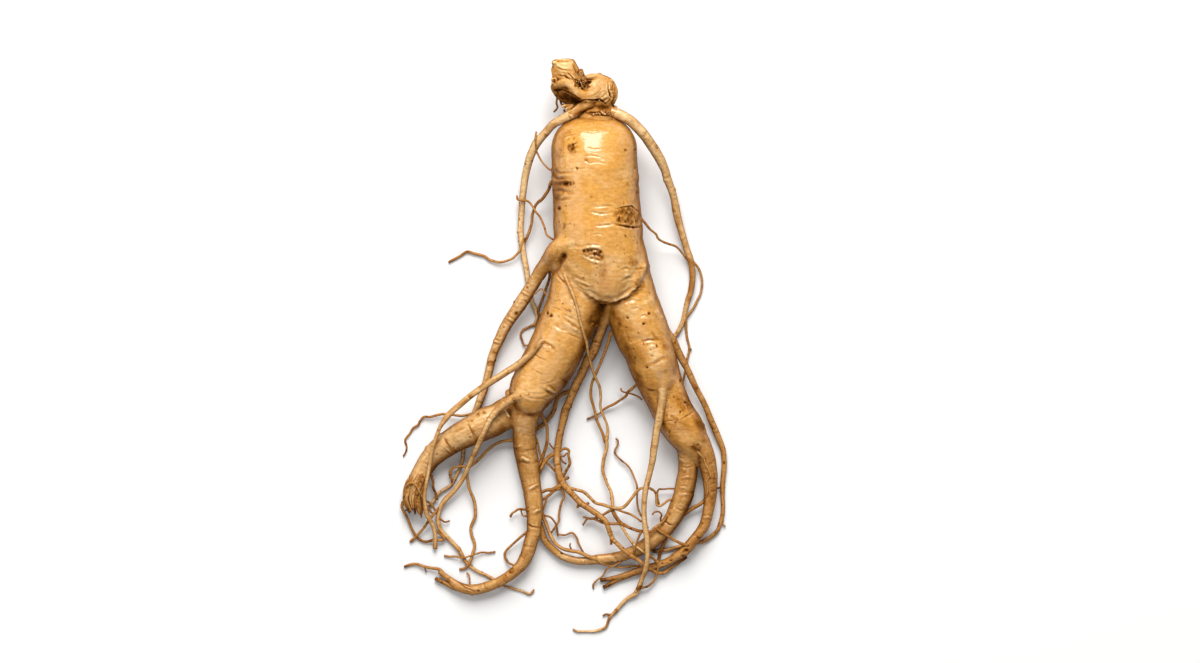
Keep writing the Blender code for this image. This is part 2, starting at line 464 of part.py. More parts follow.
def build():
    for obj in list(bpy.data.objects):
        bpy.data.objects.remove(obj, do_unlink=True)
    parts = bpy.data.collections.new("ginseng_root_parts")
    cutters = bpy.data.collections.new("cutters")
    bpy.context.scene.collection.children.link(parts)
    bpy.context.scene.collection.children.link(cutters)

    root = tube("ginseng_root", TRUNK, TRUNK_SIDES, 14, parts, TRUNK_DEPTH)
    for name, points, sides, step in LIMBS:
        limb = tube(name, points, sides, step, cutters)
        apply_boolean(root, limb, "UNION")
        mesh = limb.data
        bpy.data.objects.remove(limb, do_unlink=True)
        bpy.data.meshes.remove(mesh)

    # The surface: what would sink into it is pressed flat.
    bpy.ops.mesh.primitive_cube_add(size=1.0, location=(0, 0, -0.02))
    ground = bpy.context.active_object
    ground.name = "ground_cutter"
    ground.data.transform(Matrix.Diagonal((0.5, 0.5, 0.04, 1.0)))
    for home in list(ground.users_collection):
        home.objects.unlink(ground)
    cutters.objects.link(ground)
    ground.hide_render = True
    ground.display_type = "WIRE"
    apply_boolean(root, ground, "DIFFERENCE")

    work = bmesh.new()
    work.from_mesh(root.data)
    bmesh.ops.remove_doubles(work, verts=work.verts, dist=2e-6)
    bmesh.ops.dissolve_degenerate(work, dist=1e-6, edges=work.edges)
    bmesh.ops.triangulate(work, faces=work.faces)
    work.to_mesh(root.data)
    work.free()

    root.data.materials.clear()
    root.data.materials.append(skin_material())
    root.data.shade_smooth()
    root.data.set_sharp_from_angle(angle=math.radians(50))


build()
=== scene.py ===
"""A fresh ginseng root lying on a pale table, seen from straight above.

The root is drawn on a sheet as seen from above: x runs to the right and y down
the sheet, and one drawing unit is 0.42 mm. Each limb is a table of points
(x, y, height, radius) in drawing units. The body (trunk, crown, thighs and the
fillets where limbs leave it) is one smooth-blended solid that is meshed from a
distance field. The limbs are swept along their tables with their own rings,
scars and nubs, and start inside the body. Marks are placed at given sheet
points. The skin is one procedural material that reads a painted attribute:
red is brown staining together with painted shade in hollows, creases, crevices
and undersides, green is pale dry skin together with painted highlights on
ridges, lips and lumps, blue is roughness, and alpha is painted shade on the
steep sides.
"""
import math

import bpy
import numpy as np
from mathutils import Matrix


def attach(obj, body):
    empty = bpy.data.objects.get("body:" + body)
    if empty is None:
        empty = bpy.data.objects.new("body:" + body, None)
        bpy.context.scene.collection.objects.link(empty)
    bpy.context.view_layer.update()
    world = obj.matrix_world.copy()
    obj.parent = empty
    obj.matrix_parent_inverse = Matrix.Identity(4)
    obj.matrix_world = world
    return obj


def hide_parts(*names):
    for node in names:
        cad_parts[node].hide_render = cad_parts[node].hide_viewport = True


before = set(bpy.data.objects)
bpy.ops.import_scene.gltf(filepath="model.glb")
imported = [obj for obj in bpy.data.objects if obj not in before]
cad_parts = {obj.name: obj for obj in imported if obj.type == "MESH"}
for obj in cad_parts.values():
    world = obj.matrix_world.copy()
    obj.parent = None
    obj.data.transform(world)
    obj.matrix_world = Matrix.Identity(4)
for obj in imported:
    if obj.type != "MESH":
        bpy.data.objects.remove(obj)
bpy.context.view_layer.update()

import openvdb
from mathutils import Vector

# ---------------------------------------------------------------- dimensions
MM = 0.001
UNIT = 0.42                     # millimetres per drawing unit
SHEET_CENTRE = (600.0, 331.5)   # sheet point straight below the eye
ORIGIN = (563.8, 346.7)         # sheet point above the object's origin
EYE_HEIGHT = 2800.0             # millimetres
TRUNK_DEPTH = 0.88              # the trunk is a little flatter than it is wide
VOXEL = 0.42                    # millimetres, of the body's distance field
BAND = 6.0                      # millimetres of field kept round each limb

# ---------------------------------------------------------------- centre lines
# The trunk, from the neck down to the lower edge of the belly.
TRUNK = [
    (593.5, 112, 39.0, 11), (593.5, 116, 38.5, 18), (593.3, 121, 38.0, 25),
    (593, 126, 37.6, 30), (592.6, 132, 37.2, 34.5), (593, 140, 37.0, 38),
    (593, 150, 36.8, 41), (594, 160, 36.8, 43), (594.6, 172, 36.8, 43.2),
    (595.2, 185, 36.8, 43.2), (596, 200, 36.8, 43.2), (597, 215, 37.0, 43.6),
    (598, 230, 37.4, 44.4), (600, 245, 37.4, 44.2), (602, 257, 37.4, 44),
    (603, 268, 37.8, 45), (604, 278, 38.6, 46), (605.5, 286, 39.6, 42),
    (607, 293, 40.2, 33), (608.5, 298, 40.2, 20), (609, 301, 40.2, 8),
]

# The crown: the neck and the old stem stubs on it.
NECK = [
    (597, 124, 38, 20), (600, 113, 39, 14), (601, 104, 40, 13.4),
    (601, 96, 41, 15.3), (600.5, 88, 41, 15.3), (599, 81, 41, 12.2),
    (597, 76, 41, 8.4), (596.5, 74, 41, 5),
]
STEM_STUB = [
    (592, 98, 40, 11), (583, 93, 41, 12), (575.5, 87, 42, 13.4),
    (570, 80, 43, 14), (566.6, 73, 43.5, 13), (564.6, 66.5, 43.8, 11.6),
    (564, 61, 44, 10.6),
]
CROWN_LOBE = [
    (589, 100, 36.4, 9.6), (579, 96.5, 35.2, 11.2), (569.6, 93.2, 34.8, 11.8),
    (562, 90, 34.6, 9.2), (555.5, 87, 34.6, 5),
]

LEFT_ARM = [
    (601, 107.3, 36.5, 6.1), (590.4, 103.2, 41.7, 6), (580, 108, 45, 5.6),
    (571, 114.5, 46, 5), (562, 119.3, 44, 4.5), (553, 124.5, 40.5, 4.1),
    (545.5, 133, 36, 4.1), (537.5, 142, 32, 4.4), (533.2, 150, 28.5, 4.3),
    (529.2, 160, 24.5, 4.1), (526.2, 172, 20, 3.7), (523.7, 187, 15.5, 3.5),
    (522.3, 200, 12, 3.3), (521.4, 215, 9, 3.1), (520.7, 230, 7, 3),
    (521.8, 243, 5.5, 3), (523.9, 256, 4.5, 2.9), (526.2, 268, 4, 2.8),
    (528, 281, 3.4, 2.6), (531.5, 300, 2.9, 2.4), (534.2, 306, 2.6, 2.3),
    (536.3, 312, 2.4, 2.1), (536.8, 318, 2.2, 1.6), (534, 326, 2, 1.4),
]
RIGHT_ARM = [
    (598, 108, 38, 6), (608, 110.5, 41.5, 5.2), (616, 113.3, 43.5, 5.3),
    (624, 117, 44, 5.3), (632, 122.3, 42.5, 5.2), (640, 130, 39.5, 5.2),
    (645, 136, 37, 5.1), (650, 143, 34, 5), (655, 150.5, 31, 5),
    (660.3, 160, 27.5, 5), (664.9, 170, 24, 4.3), (667.8, 180, 21, 4.2),
    (671.6, 190, 18, 3.8), (674.3, 200, 15.5, 3.7), (677, 215, 12.5, 4),
    (681, 230, 10, 3.5), (687, 250, 7.5, 3.3), (690.5, 260, 6.5, 3.2),
    (692.5, 275, 5.2, 3), (691, 290, 4.4, 2.9), (687.8, 300, 4, 2.7),
    (685.4, 310, 3.6, 2.4), (683.3, 320, 3.3, 2.4), (679, 330, 3, 2.2),
    (675, 336, 2.8, 1.9), (671, 341, 2.6, 1.6),
]
FLANK_ARM = [
    (578, 240, 36, 9.5), (562, 248, 34.5, 8.6), (552.5, 253, 32, 7.4),
    (546.8, 262, 29, 6.6), (540.5, 271, 26, 6.8), (534.5, 282, 22.5, 6.5),
    (527.7, 293, 19, 6.5), (520.5, 304, 16.5, 6.7), (513.9, 314, 14.5, 6),
    (508.3, 322, 13, 5.6), (503.2, 331, 11.5, 5.3), (499.2, 340, 10.5, 5),
    (494.8, 350, 9.5, 4.3), (491.6, 360, 8.5, 4.3), (489.3, 370, 7.5, 4.1),
    (486.8, 380, 6.6, 3.8), (483.7, 390, 5.6, 3.9), (480, 400, 4.6, 3.8),
    (477, 408, 4, 3.3), (474.5, 414, 3.6, 3), (470, 428, 2.6, 2.1),
    (464, 447, 2.6, 1.9), (462.5, 460, 2.6, 1.8), (460, 468, 2.6, 1.7),
    (457, 474, 2.6, 1.6), (453, 482, 2.8, 1.5), (449, 486.5, 3, 1.5),
    (443, 490, 3.4, 1.5), (438, 494, 3.6, 1.5), (434, 500, 4, 1.4),
    (431, 504, 4.2, 1.4), (427, 508, 4.4, 1.3),
]

LEFT_THIGH = [
    (592, 262, 35, 26), (583, 285, 31.5, 28), (574.5, 306, 30, 28.4),
    (565, 328, 28.6, 28), (558.5, 343, 28, 27.6), (551.5, 357, 27.2, 27),
    (543.5, 371, 26, 26), (536.5, 382, 25.2, 24.6), (531.5, 391, 24.4, 22),
    (529.5, 398, 23.2, 17), (529, 403, 22.4, 10),
]
RIGHT_THIGH = [
    (621, 262, 35, 23.4), (625.5, 284, 32, 26.2), (631, 302, 30, 27.2),
    (636.5, 318, 28.8, 27.5), (642, 333, 27.6, 27.2), (649, 350, 26, 24.8),
    (654, 366, 24.2, 24.5), (659.5, 380, 23, 22.8), (665, 394, 22, 21.4),
    (671, 408, 21.4, 20.6), (678, 421, 20.6, 20.4), (684.5, 433, 20, 18.4),
    (690, 442, 19.4, 13.5), (693, 447, 19, 8),
]
LEFT_SHIN = [
    (534, 394, 22, 20), (531, 403, 20.5, 19), (527.5, 412, 17.5, 15.2),
    (525, 421, 15.4, 12.6), (524.4, 432, 13.6, 11.4), (525.5, 450, 12, 11.5),
    (527.7, 463, 11.4, 11.2), (529.7, 475, 10.8, 10.3), (531, 484, 10.8, 9.6),
    (532.8, 494, 11.4, 9.2), (534.2, 504, 12, 8.9), (534.9, 516, 12.6, 8.2),
    (534.3, 524, 12.8, 7.4), (533.4, 533, 12.8, 7.1), (531, 541, 12.6, 7.1),
    (528, 552, 12, 6.8), (523.5, 561.5, 11.6, 6.3), (518, 568.5, 11.2, 5.6),
    (507.5, 577, 10.4, 5.1), (497, 583, 9.6, 5), (485.5, 587.2, 8.6, 5.3),
    (475, 589.5, 7.6, 5.2), (466, 589, 6.8, 5), (457, 585.5, 6, 4.4),
    (447.5, 577.8, 5.2, 2.8), (442, 573.8, 4.8, 2.6), (439.5, 572, 4.6, 2),
]
SHIN_FORK = [
    (462, 589, 6, 3.6), (454, 587.5, 5, 2.8), (446, 583.5, 4, 2.2),
    (440, 581, 3.6, 2), (435.5, 578.5, 3.4, 2),
]
FOREARM = [
    (524, 402, 22, 13), (515, 408, 22, 15), (507, 413, 21.8, 15.4),
    (498, 418.5, 21.4, 15.5), (485, 424, 21, 15.8), (470, 431.5, 20.6, 14.6),
    (455, 439, 17.4, 13.2), (440, 449.5, 13.6, 11.9), (430, 459, 11.4, 10.4),
    (424, 468, 10, 9.8), (418.5, 479, 10.2, 10), (414, 490, 10.8, 10.6),
    (411.8, 500, 11.2, 11), (412, 507, 11.4, 9), (414, 514, 11.6, 5.5),
    (419, 519.5, 12, 2),
]
CENTRE_TAIL = [
    (612, 288, 30, 6), (611, 303, 27, 6), (608, 312, 25, 5.6),
    (604, 321, 23, 5.5), (601, 331, 21.4, 5.1), (597.4, 340, 20, 5),
    (594, 350, 18.6, 4.8), (588, 360, 17.2, 4.8), (584, 368.5, 15.8, 4.4),
    (580.8, 376, 14.6, 4.2), (576.5, 384, 13.8, 4.4), (573.8, 390, 13, 4.4),
    (570.3, 399, 12, 3.9), (567, 407, 11.2, 4), (565.2, 411, 10.8, 4.2),
    (563.7, 418.5, 10, 3.9), (561.8, 426, 9.4, 3.6), (560.2, 433, 8.8, 3.6),
    (558.3, 443, 8.2, 3.6), (557, 456, 7.7, 3.5), (558, 468, 7.6, 3.6),
    (560.5, 478, 8.2, 3.4), (565, 486, 9.2, 3.3), (573, 495, 10.6, 3.2),
    (581, 503.3, 12, 3.1), (588, 508, 13, 3), (595.5, 513, 14, 2.9),
    (601.5, 517.5, 15, 2.8), (606, 522, 15.6, 2.7), (608.3, 528, 16, 2.5),
    (610.4, 534, 16.4, 2.4), (613, 539.5, 17.2, 2.3), (617.5, 544, 18, 2.2),
    (623, 549.5, 18.6, 2.2), (631.5, 556, 18, 2.2), (638, 560, 16.5, 2.1),
    (645, 565.4, 12.8, 2.1), (651, 569.3, 9, 1.9), (655, 572, 6.6, 1.9),
    (661, 573, 5, 1.9), (665, 572.3, 4.6, 1.9), (670.5, 568, 4.2, 1.9),
    (679, 562, 4, 1.9), (686, 557, 4.6, 1.8),
]
INNER_CALF = [
    (685, 432, 19, 13), (688, 445, 17, 11.5), (687.8, 458, 14.8, 10),
    (688, 470, 12.8, 9.8), (686.5, 480, 11.8, 10.1), (684, 493, 11, 10.2),
    (681.5, 500, 10.6, 9.9), (678.3, 507, 10, 9.4), (674.8, 515, 9.4, 8.9),
    (669.7, 523, 8.8, 8.4), (663.5, 530.5, 8.4, 8.2), (652, 541, 8.2, 7.8),
    (638.5, 549.5, 7.6, 6.6), (625, 555, 6.6, 5.6), (617, 557.2, 6, 5.3),
    (607, 558.8, 5.8, 5.2), (598, 559.4, 5.6, 5), (588.5, 560.6, 5.2, 4.2),
    (578.6, 561, 5, 3.7), (570.5, 559.3, 5, 3.7), (564.5, 557.2, 5, 3.7),
    (559, 554.2, 5, 3.5), (550.4, 547, 5.2, 3.4), (546.4, 542.3, 5.6, 3.3),
    (543.4, 537, 6.2, 3.2), (541.5, 530, 7, 3.1), (540, 523, 8, 2.8),
]
OUTER_CALF = [
    (688, 426, 20, 13), (694.5, 435, 19, 11.6), (701.5, 447, 17.4, 10.2),
    (707, 460, 15.6, 9), (709.4, 474, 14, 8.2), (710.5, 487, 13.2, 7),
    (710.3, 495, 12.8, 6.6), (709.5, 503, 12.6, 6), (708, 511, 12.5, 5.5),
    (706, 520, 12.4, 5.4), (703.3, 527, 12.4, 5.3), (698.5, 534, 12.4, 5),
    (692.8, 541, 12, 5), (688, 547.3, 11.2, 5.2), (682.3, 552.8, 10.2, 4.9),
    (676, 556.6, 9.2, 4.4), (671.5, 559.8, 8.4, 4.2), (666.5, 562.3, 7.4, 4),
    (660, 564.5, 6.4, 3.9), (652, 566.8, 5.4, 3.6), (640, 570.5, 4.6, 3.6),
    (628, 574.5, 4, 3.2), (617, 577.5, 3.4, 2.5), (601, 580.3, 2.6, 1.8),
]
CALF_FORK = [
    (630, 575.5, 3.6, 2.4), (617, 580.3, 2.9, 2), (609, 584.6, 2.5, 1.9),
    (603.3, 587.4, 2.4, 1.9),
]

# The long thin roots of the thighs and knees.
THIGH_ROOT_RIGHT = [
    (660, 331, 30, 5), (668, 335.5, 28, 5), (673.5, 342, 26, 4.6),
    (677.3, 350, 23.4, 4), (680.8, 357, 21.2, 3.8), (684, 363, 19.4, 3.5),
    (687.6, 370, 17.6, 3.3), (690.8, 377, 16, 3.3), (694, 384, 14.4, 3.1),
    (697.5, 391, 12.8, 3), (701.2, 398, 11.4, 3), (704.3, 404, 10.2, 3),
    (707.3, 411, 9, 3), (711, 420.5, 7.6, 3.2), (715.2, 430, 6.2, 3.2),
    (719.2, 440, 5, 3), (723.1, 450, 4.2, 2.7), (724.1, 460, 3.8, 2.7),
    (724.2, 466, 3.6, 2.7), (723.4, 475, 3.4, 2.5), (722.5, 485, 3.2, 2.4),
    (722.6, 495, 3, 2.2), (723, 505, 2.9, 2.1), (722.6, 514, 2.8, 2.2),
    (720.5, 522, 2.7, 2), (717.7, 530, 2.6, 2), (713, 535, 2.6, 2),
    (706, 540, 2.6, 2.2), (700, 542, 2.6, 2.2), (690, 544, 2.5, 2),
    (681.6, 545.8, 2.5, 1.9), (674.4, 548, 2.4, 1.9), (668, 549.6, 2.3, 1.8),
    (660, 550.8, 2.2, 1.7), (653, 551.2, 2.2, 1.5),
]
KNEE_ROOT_RIGHT = [
    (655, 352, 40, 6), (660.5, 364, 43.6, 7.6), (663.5, 377, 43.8, 6.6),
    (662.5, 388, 43, 5.2), (662, 400, 41.5, 4.6), (660.8, 410, 40, 4.4),
    (658.9, 420, 38.5, 4), (656.7, 430, 37, 3.8), (655.2, 440, 35.4, 3.8),
    (653.6, 450, 34, 3.6), (652.5, 460, 32.6, 3.2), (650.4, 470, 31.2, 3),
    (648.1, 480, 29.8, 2.9), (645.6, 490, 28.4, 2.8), (644.3, 500, 27, 2.7),
    (644, 510, 25.8, 2.6), (644.4, 520, 24.6, 2.7), (645.5, 530, 23.4, 2.8),
    (647.2, 541, 22.4, 2.8), (647.5, 551.3, 20.6, 2.6), (647.2, 560.7, 18.4, 2.4),
    (645.4, 570, 15, 2.5), (642.6, 577.5, 11, 2.4), (640.3, 584.5, 7.4, 2.7),
    (637.5, 590.5, 5, 2.5), (634.6, 594.6, 3.6, 2.4), (629, 597.5, 3, 1.9),
    (623.5, 602, 2.6, 1.8), (618.8, 607.4, 2.3, 1.7), (616.3, 610.6, 2.2, 1.9),
    (612.3, 614.6, 2, 1.5), (609.5, 618, 1.9, 1.4), (608, 621.5, 1.8, 1.3),
    (606.5, 626, 1.7, 1.3), (603.8, 628.4, 1.6, 1.3), (600, 629.8, 1.6, 1.3),
    (594.5, 631.2, 1.5, 1.2), (586, 631.4, 1.4, 1.1), (577.3, 631.4, 1.4, 1.1),
    (573.3, 629.4, 1.4, 1),
]
THIGH_ROOT_LEFT = [
    (545, 339, 49, 3.2), (540, 343.5, 50.4, 3.4), (536.5, 347.3, 49.6, 3.4),
    (532.7, 352, 48.4, 3.3), (527, 357.3, 46, 3.4), (521, 362.3, 43, 3.5),
    (514.5, 367.3, 40.6, 3.5), (507, 371.7, 38.8, 3.4), (497, 378, 36, 3.4),
    (488, 383.8, 34, 3.4), (478, 390.5, 32.4, 3.1), (470, 396.3, 31.2, 3.1),
    (461, 404, 30.4, 3.1), (453, 410.6, 30, 3), (447, 417, 30, 3),
    (441.3, 425, 30, 2.2), (438.5, 431, 29.8, 2), (435.5, 439, 29, 2),
    (432.2, 450, 27.4, 1.9), (429.2, 468, 23, 1.8), (425, 490, 19.5, 1.8),
    (424.4, 500, 17, 1.9), (426.5, 513, 13.4, 2.4), (430.5, 521, 10.6, 2.3),
    (434, 529, 8, 2.2), (435.4, 539, 5.4, 2.1), (435, 548, 3.6, 2.2),
]
KNEE_ROOT_LEFT = [
    (522, 393, 42, 4.4), (514.5, 397.5, 41.5, 4.4), (507.5, 402, 40.4, 4.4),
    (500, 407.5, 39.4, 4.1), (494.5, 413.5, 38.8, 3.6), (490, 420, 38.6, 3.1),
    (485.2, 430, 37, 2.9), (480.5, 440, 33, 2.8), (476, 450, 27.6, 2.7),
    (471.5, 460, 21, 2.7), (467.1, 470, 15.6, 2.5), (462.1, 480, 11.6, 2.5),
    (454.9, 490, 8.8, 2.5), (445.3, 500, 6.6, 2.7), (439.3, 510, 5.4, 2.3),
    (437.9, 520, 4.4, 2.3), (441, 530, 3.6, 2.2), (450, 540, 3, 2.1),
    (459, 550, 2.6, 2.1), (464.6, 560, 2.4, 1.9), (470, 566, 2.2, 1.7),
    (477, 571, 2, 1.6), (486.6, 575.4, 1.9, 1.5), (495, 580, 1.8, 1.5),
    (505, 586, 1.7, 1.3), (513, 588.5, 1.6, 1.2), (522, 591, 1.5, 1.2),
    (529.5, 594, 1.5, 1.2), (533.8, 590, 2.4, 1),
]

# Thin rootlets that hold the tangle below the knees together.
FLANK_ROOTLET = [
    (566, 258, 40, 3), (559, 266.5, 46, 1.9), (562.5, 271, 51, 1.8),
    (564.5, 275, 55, 1.7), (568.8, 285, 59.4, 1.7), (573.2, 295, 60.4, 1.7),
    (576.2, 305, 58.8, 1.6), (578.8, 315, 57.2, 1.6), (581.1, 325, 55, 1.5),
    (584, 334, 52, 1.5), (586.6, 342, 47.6, 1.5), (587.6, 350, 42.6, 1.4),
    (589, 357, 37, 1.4), (591, 364.6, 31.6, 1.4), (594.6, 376, 24.6, 1.4),
    (598.4, 384, 20.6, 1.3), (600, 390, 18, 1.3), (600.7, 399, 15.6, 1.3),
    (600.5, 407, 13.6, 1.3), (604.4, 418.5, 11.4, 1.3), (606.4, 423, 10.8, 1.3),
    (608, 431, 9.8, 1.4), (606.6, 439, 9, 1.7), (606.6, 448, 8.2, 1.8),
    (603.8, 459, 7.4, 1.7), (602.6, 469, 7, 1.6), (604.5, 477, 7.2, 1.5),
    (608, 485.5, 7.8, 1.5), (611, 492, 9, 1.5), (612.3, 500, 10.2, 1.6),
    (613, 511, 11.8, 1.6), (616.5, 518.5, 12.8, 1.5), (620.5, 524.5, 13.6, 1.5),
    (627, 535, 15, 1.3), (633.5, 544, 16.2, 1.3), (640, 549.5, 16.4, 1.3),
    (645, 553, 15.4, 1.2), (652, 557.5, 13, 1.1), (658, 562, 10, 1.1),
    (661, 565.5, 8, 1),
]
INNER_ROOTLET = [
    (620, 324, 28, 3), (611, 334, 26, 2), (609, 340, 24.6, 1.6),
    (605.6, 350, 22, 1.5), (602.3, 358.5, 19.6, 1.4), (600, 364, 18.2, 1.4),
    (596.2, 373, 15.8, 1.4), (591.6, 384, 13.2, 1.4), (590.9, 396, 11, 1.4),
    (593.8, 407, 9.4, 1.4), (597.3, 421, 8.2, 1.4), (602, 432, 7.6, 1.4),
    (605.6, 442, 8, 1.7),
]
CROSS_ROOTLET = [
    (564, 485, 9.4, 2.2), (567, 487, 10, 1.6), (575, 489.5, 12, 1.6),
    (583.5, 492, 13.4, 1.6), (590.5, 498, 14.6, 1.6), (596, 503, 15, 1.6),
    (603, 505, 15.4, 1.6), (613, 508, 15.4, 1.6), (621.5, 508, 15.4, 1.6),
    (627, 504, 16, 1.6), (632.5, 497, 16.6, 1.5), (638, 490, 18, 1.4),
    (643, 488, 18.4, 1.3), (649, 488, 18.6, 1.3), (653, 490, 18.2, 1.2),
    (655.5, 493, 18, 1.2), (656.5, 498, 17.8, 1.2), (656.5, 504, 17.4, 1.2),
    (659, 506, 17, 1.2), (662, 505, 16.6, 1.2), (666, 502, 16, 1.2),
    (669, 500, 15.4, 1.2), (674, 499.5, 14.6, 1.3),
]
CALF_BRIDGE = [
    (708, 497.5, 10.6, 2.2), (703, 502, 9.4, 1.9), (699, 505, 8.6, 1.9),
    (695, 507, 8, 1.9), (690, 510, 7.4, 1.9), (686, 513, 7.4, 1.9),
    (679, 518, 8, 2.2),
]
SHIN_STRAND = [
    (541, 512, 10, 2), (545, 521, 7.6, 1.8), (547.5, 528, 7, 1.8),
    (549.5, 533, 6.8, 1.8), (552, 538, 7, 1.8), (555, 543, 7.6, 1.8),
    (562, 548.5, 9, 1.8), (568, 550.5, 9.4, 1.9), (580, 552.8, 9.8, 1.9),
    (590, 557, 9.8, 1.9), (595, 558.5, 9.6, 1.9), (599, 561, 8.8, 1.8),
    (603, 563.5, 7.4, 1.6), (609, 565, 5.6, 1.3), (615, 566.6, 4.4, 1.1),
    (624, 567.2, 3.8, 1.1), (632.5, 566, 3.6, 1.1), (640, 566, 4.2, 1.3),
]
KNEE_LOOP = [
    (539, 409, 20, 3), (541, 414, 17.5, 1.9), (543.8, 418.5, 15.6, 1.6),
    (546, 424, 14, 1.6), (547.4, 430, 12.6, 1.6), (546.6, 444, 9.6, 1.6),
    (543, 456, 8.4, 1.7), (538, 468, 10.6, 2),
]
TAIL_LOOP = [
    (572, 390.5, 12.4, 2.6), (562, 394, 9.8, 2), (557, 399, 8.6, 2),
    (555.3, 403, 8, 2), (554.4, 409, 7.2, 2), (551.5, 414.6, 6.4, 2),
    (546.2, 421, 5.8, 2), (542, 425.4, 5.8, 2), (530, 434, 8.6, 2.2),
]
MIDDLE_BRIDGE = [
    (557, 452, 7.6, 2.3), (550, 456, 7.4, 2.2), (546, 460, 7.4, 2.2),
    (543, 464, 8, 2.2), (538, 473, 10, 2.3),
]
LOW_BRIDGE = [
    (562, 484, 8.8, 2.2), (553, 489.5, 8.4, 2), (547, 490, 8.6, 1.8),
    (541, 492.6, 9.6, 1.8), (536, 495, 11, 2),
]
LOOP_STRAND = [
    (515, 439.5, 12, 2), (508, 440.6, 10.6, 1.5), (500, 442.2, 9.8, 1.5),
    (490, 448.3, 9, 1.5), (480, 458, 8.6, 1.5), (470, 466, 8.6, 1.5),
    (460, 466, 8, 1.5), (453, 468, 7, 1.5), (450, 473, 6.4, 1.5),
    (452.4, 481.6, 4, 1.4),
]
DROP_STRAND = [
    (467, 466, 15.5, 1.7), (467, 476, 12, 1.6), (469, 487, 9, 1.6),
    (474, 501, 6, 1.6), (475.5, 510, 4.4, 1.6), (475, 517, 3.4, 1.6),
    (471, 527, 2.4, 1.5), (472, 535, 2, 1.5), (474.5, 545, 1.8, 1.5),
    (472.5, 553, 2.6, 1.5), (470, 562, 4.6, 1.5), (465.5, 568, 2.2, 1.3),
    (460, 569.5, 1.6, 1.3),
]
WRIST_STRAND = [
    (403, 502, 8, 1.8), (402, 508, 6.8, 1.4), (407, 517, 5.2, 1.3),
    (412, 529, 3.4, 1.3), (418, 538, 2.4, 1.3), (425, 541.5, 2.2, 1.3),
    (433, 540, 4.4, 1.5),
]
FINGER_STRAND = [
    (444, 575.5, 5.4, 1.8), (440, 570, 4.8, 1.6), (433, 568.4, 4, 1.5),
    (425, 567, 3.4, 1.4), (415, 564, 2.2, 1.3), (404.5, 566.5, 1.8, 1.3),
]
ELBOW_LOOP = [
    (523.4, 238, 7.4, 1.8), (520, 250, 7.4, 1.3), (515, 256.5, 6, 1.3),
    (511, 259.3, 5, 1.3), (500, 262.3, 3.4, 1.3), (490, 260, 2.4, 1.3),
    (484, 256, 2, 1.3), (475, 253.6, 1.9, 1.3), (467, 251.5, 1.8, 1.3),
    (460, 255.8, 1.8, 1.2), (449, 262, 1.6, 1.2),
]

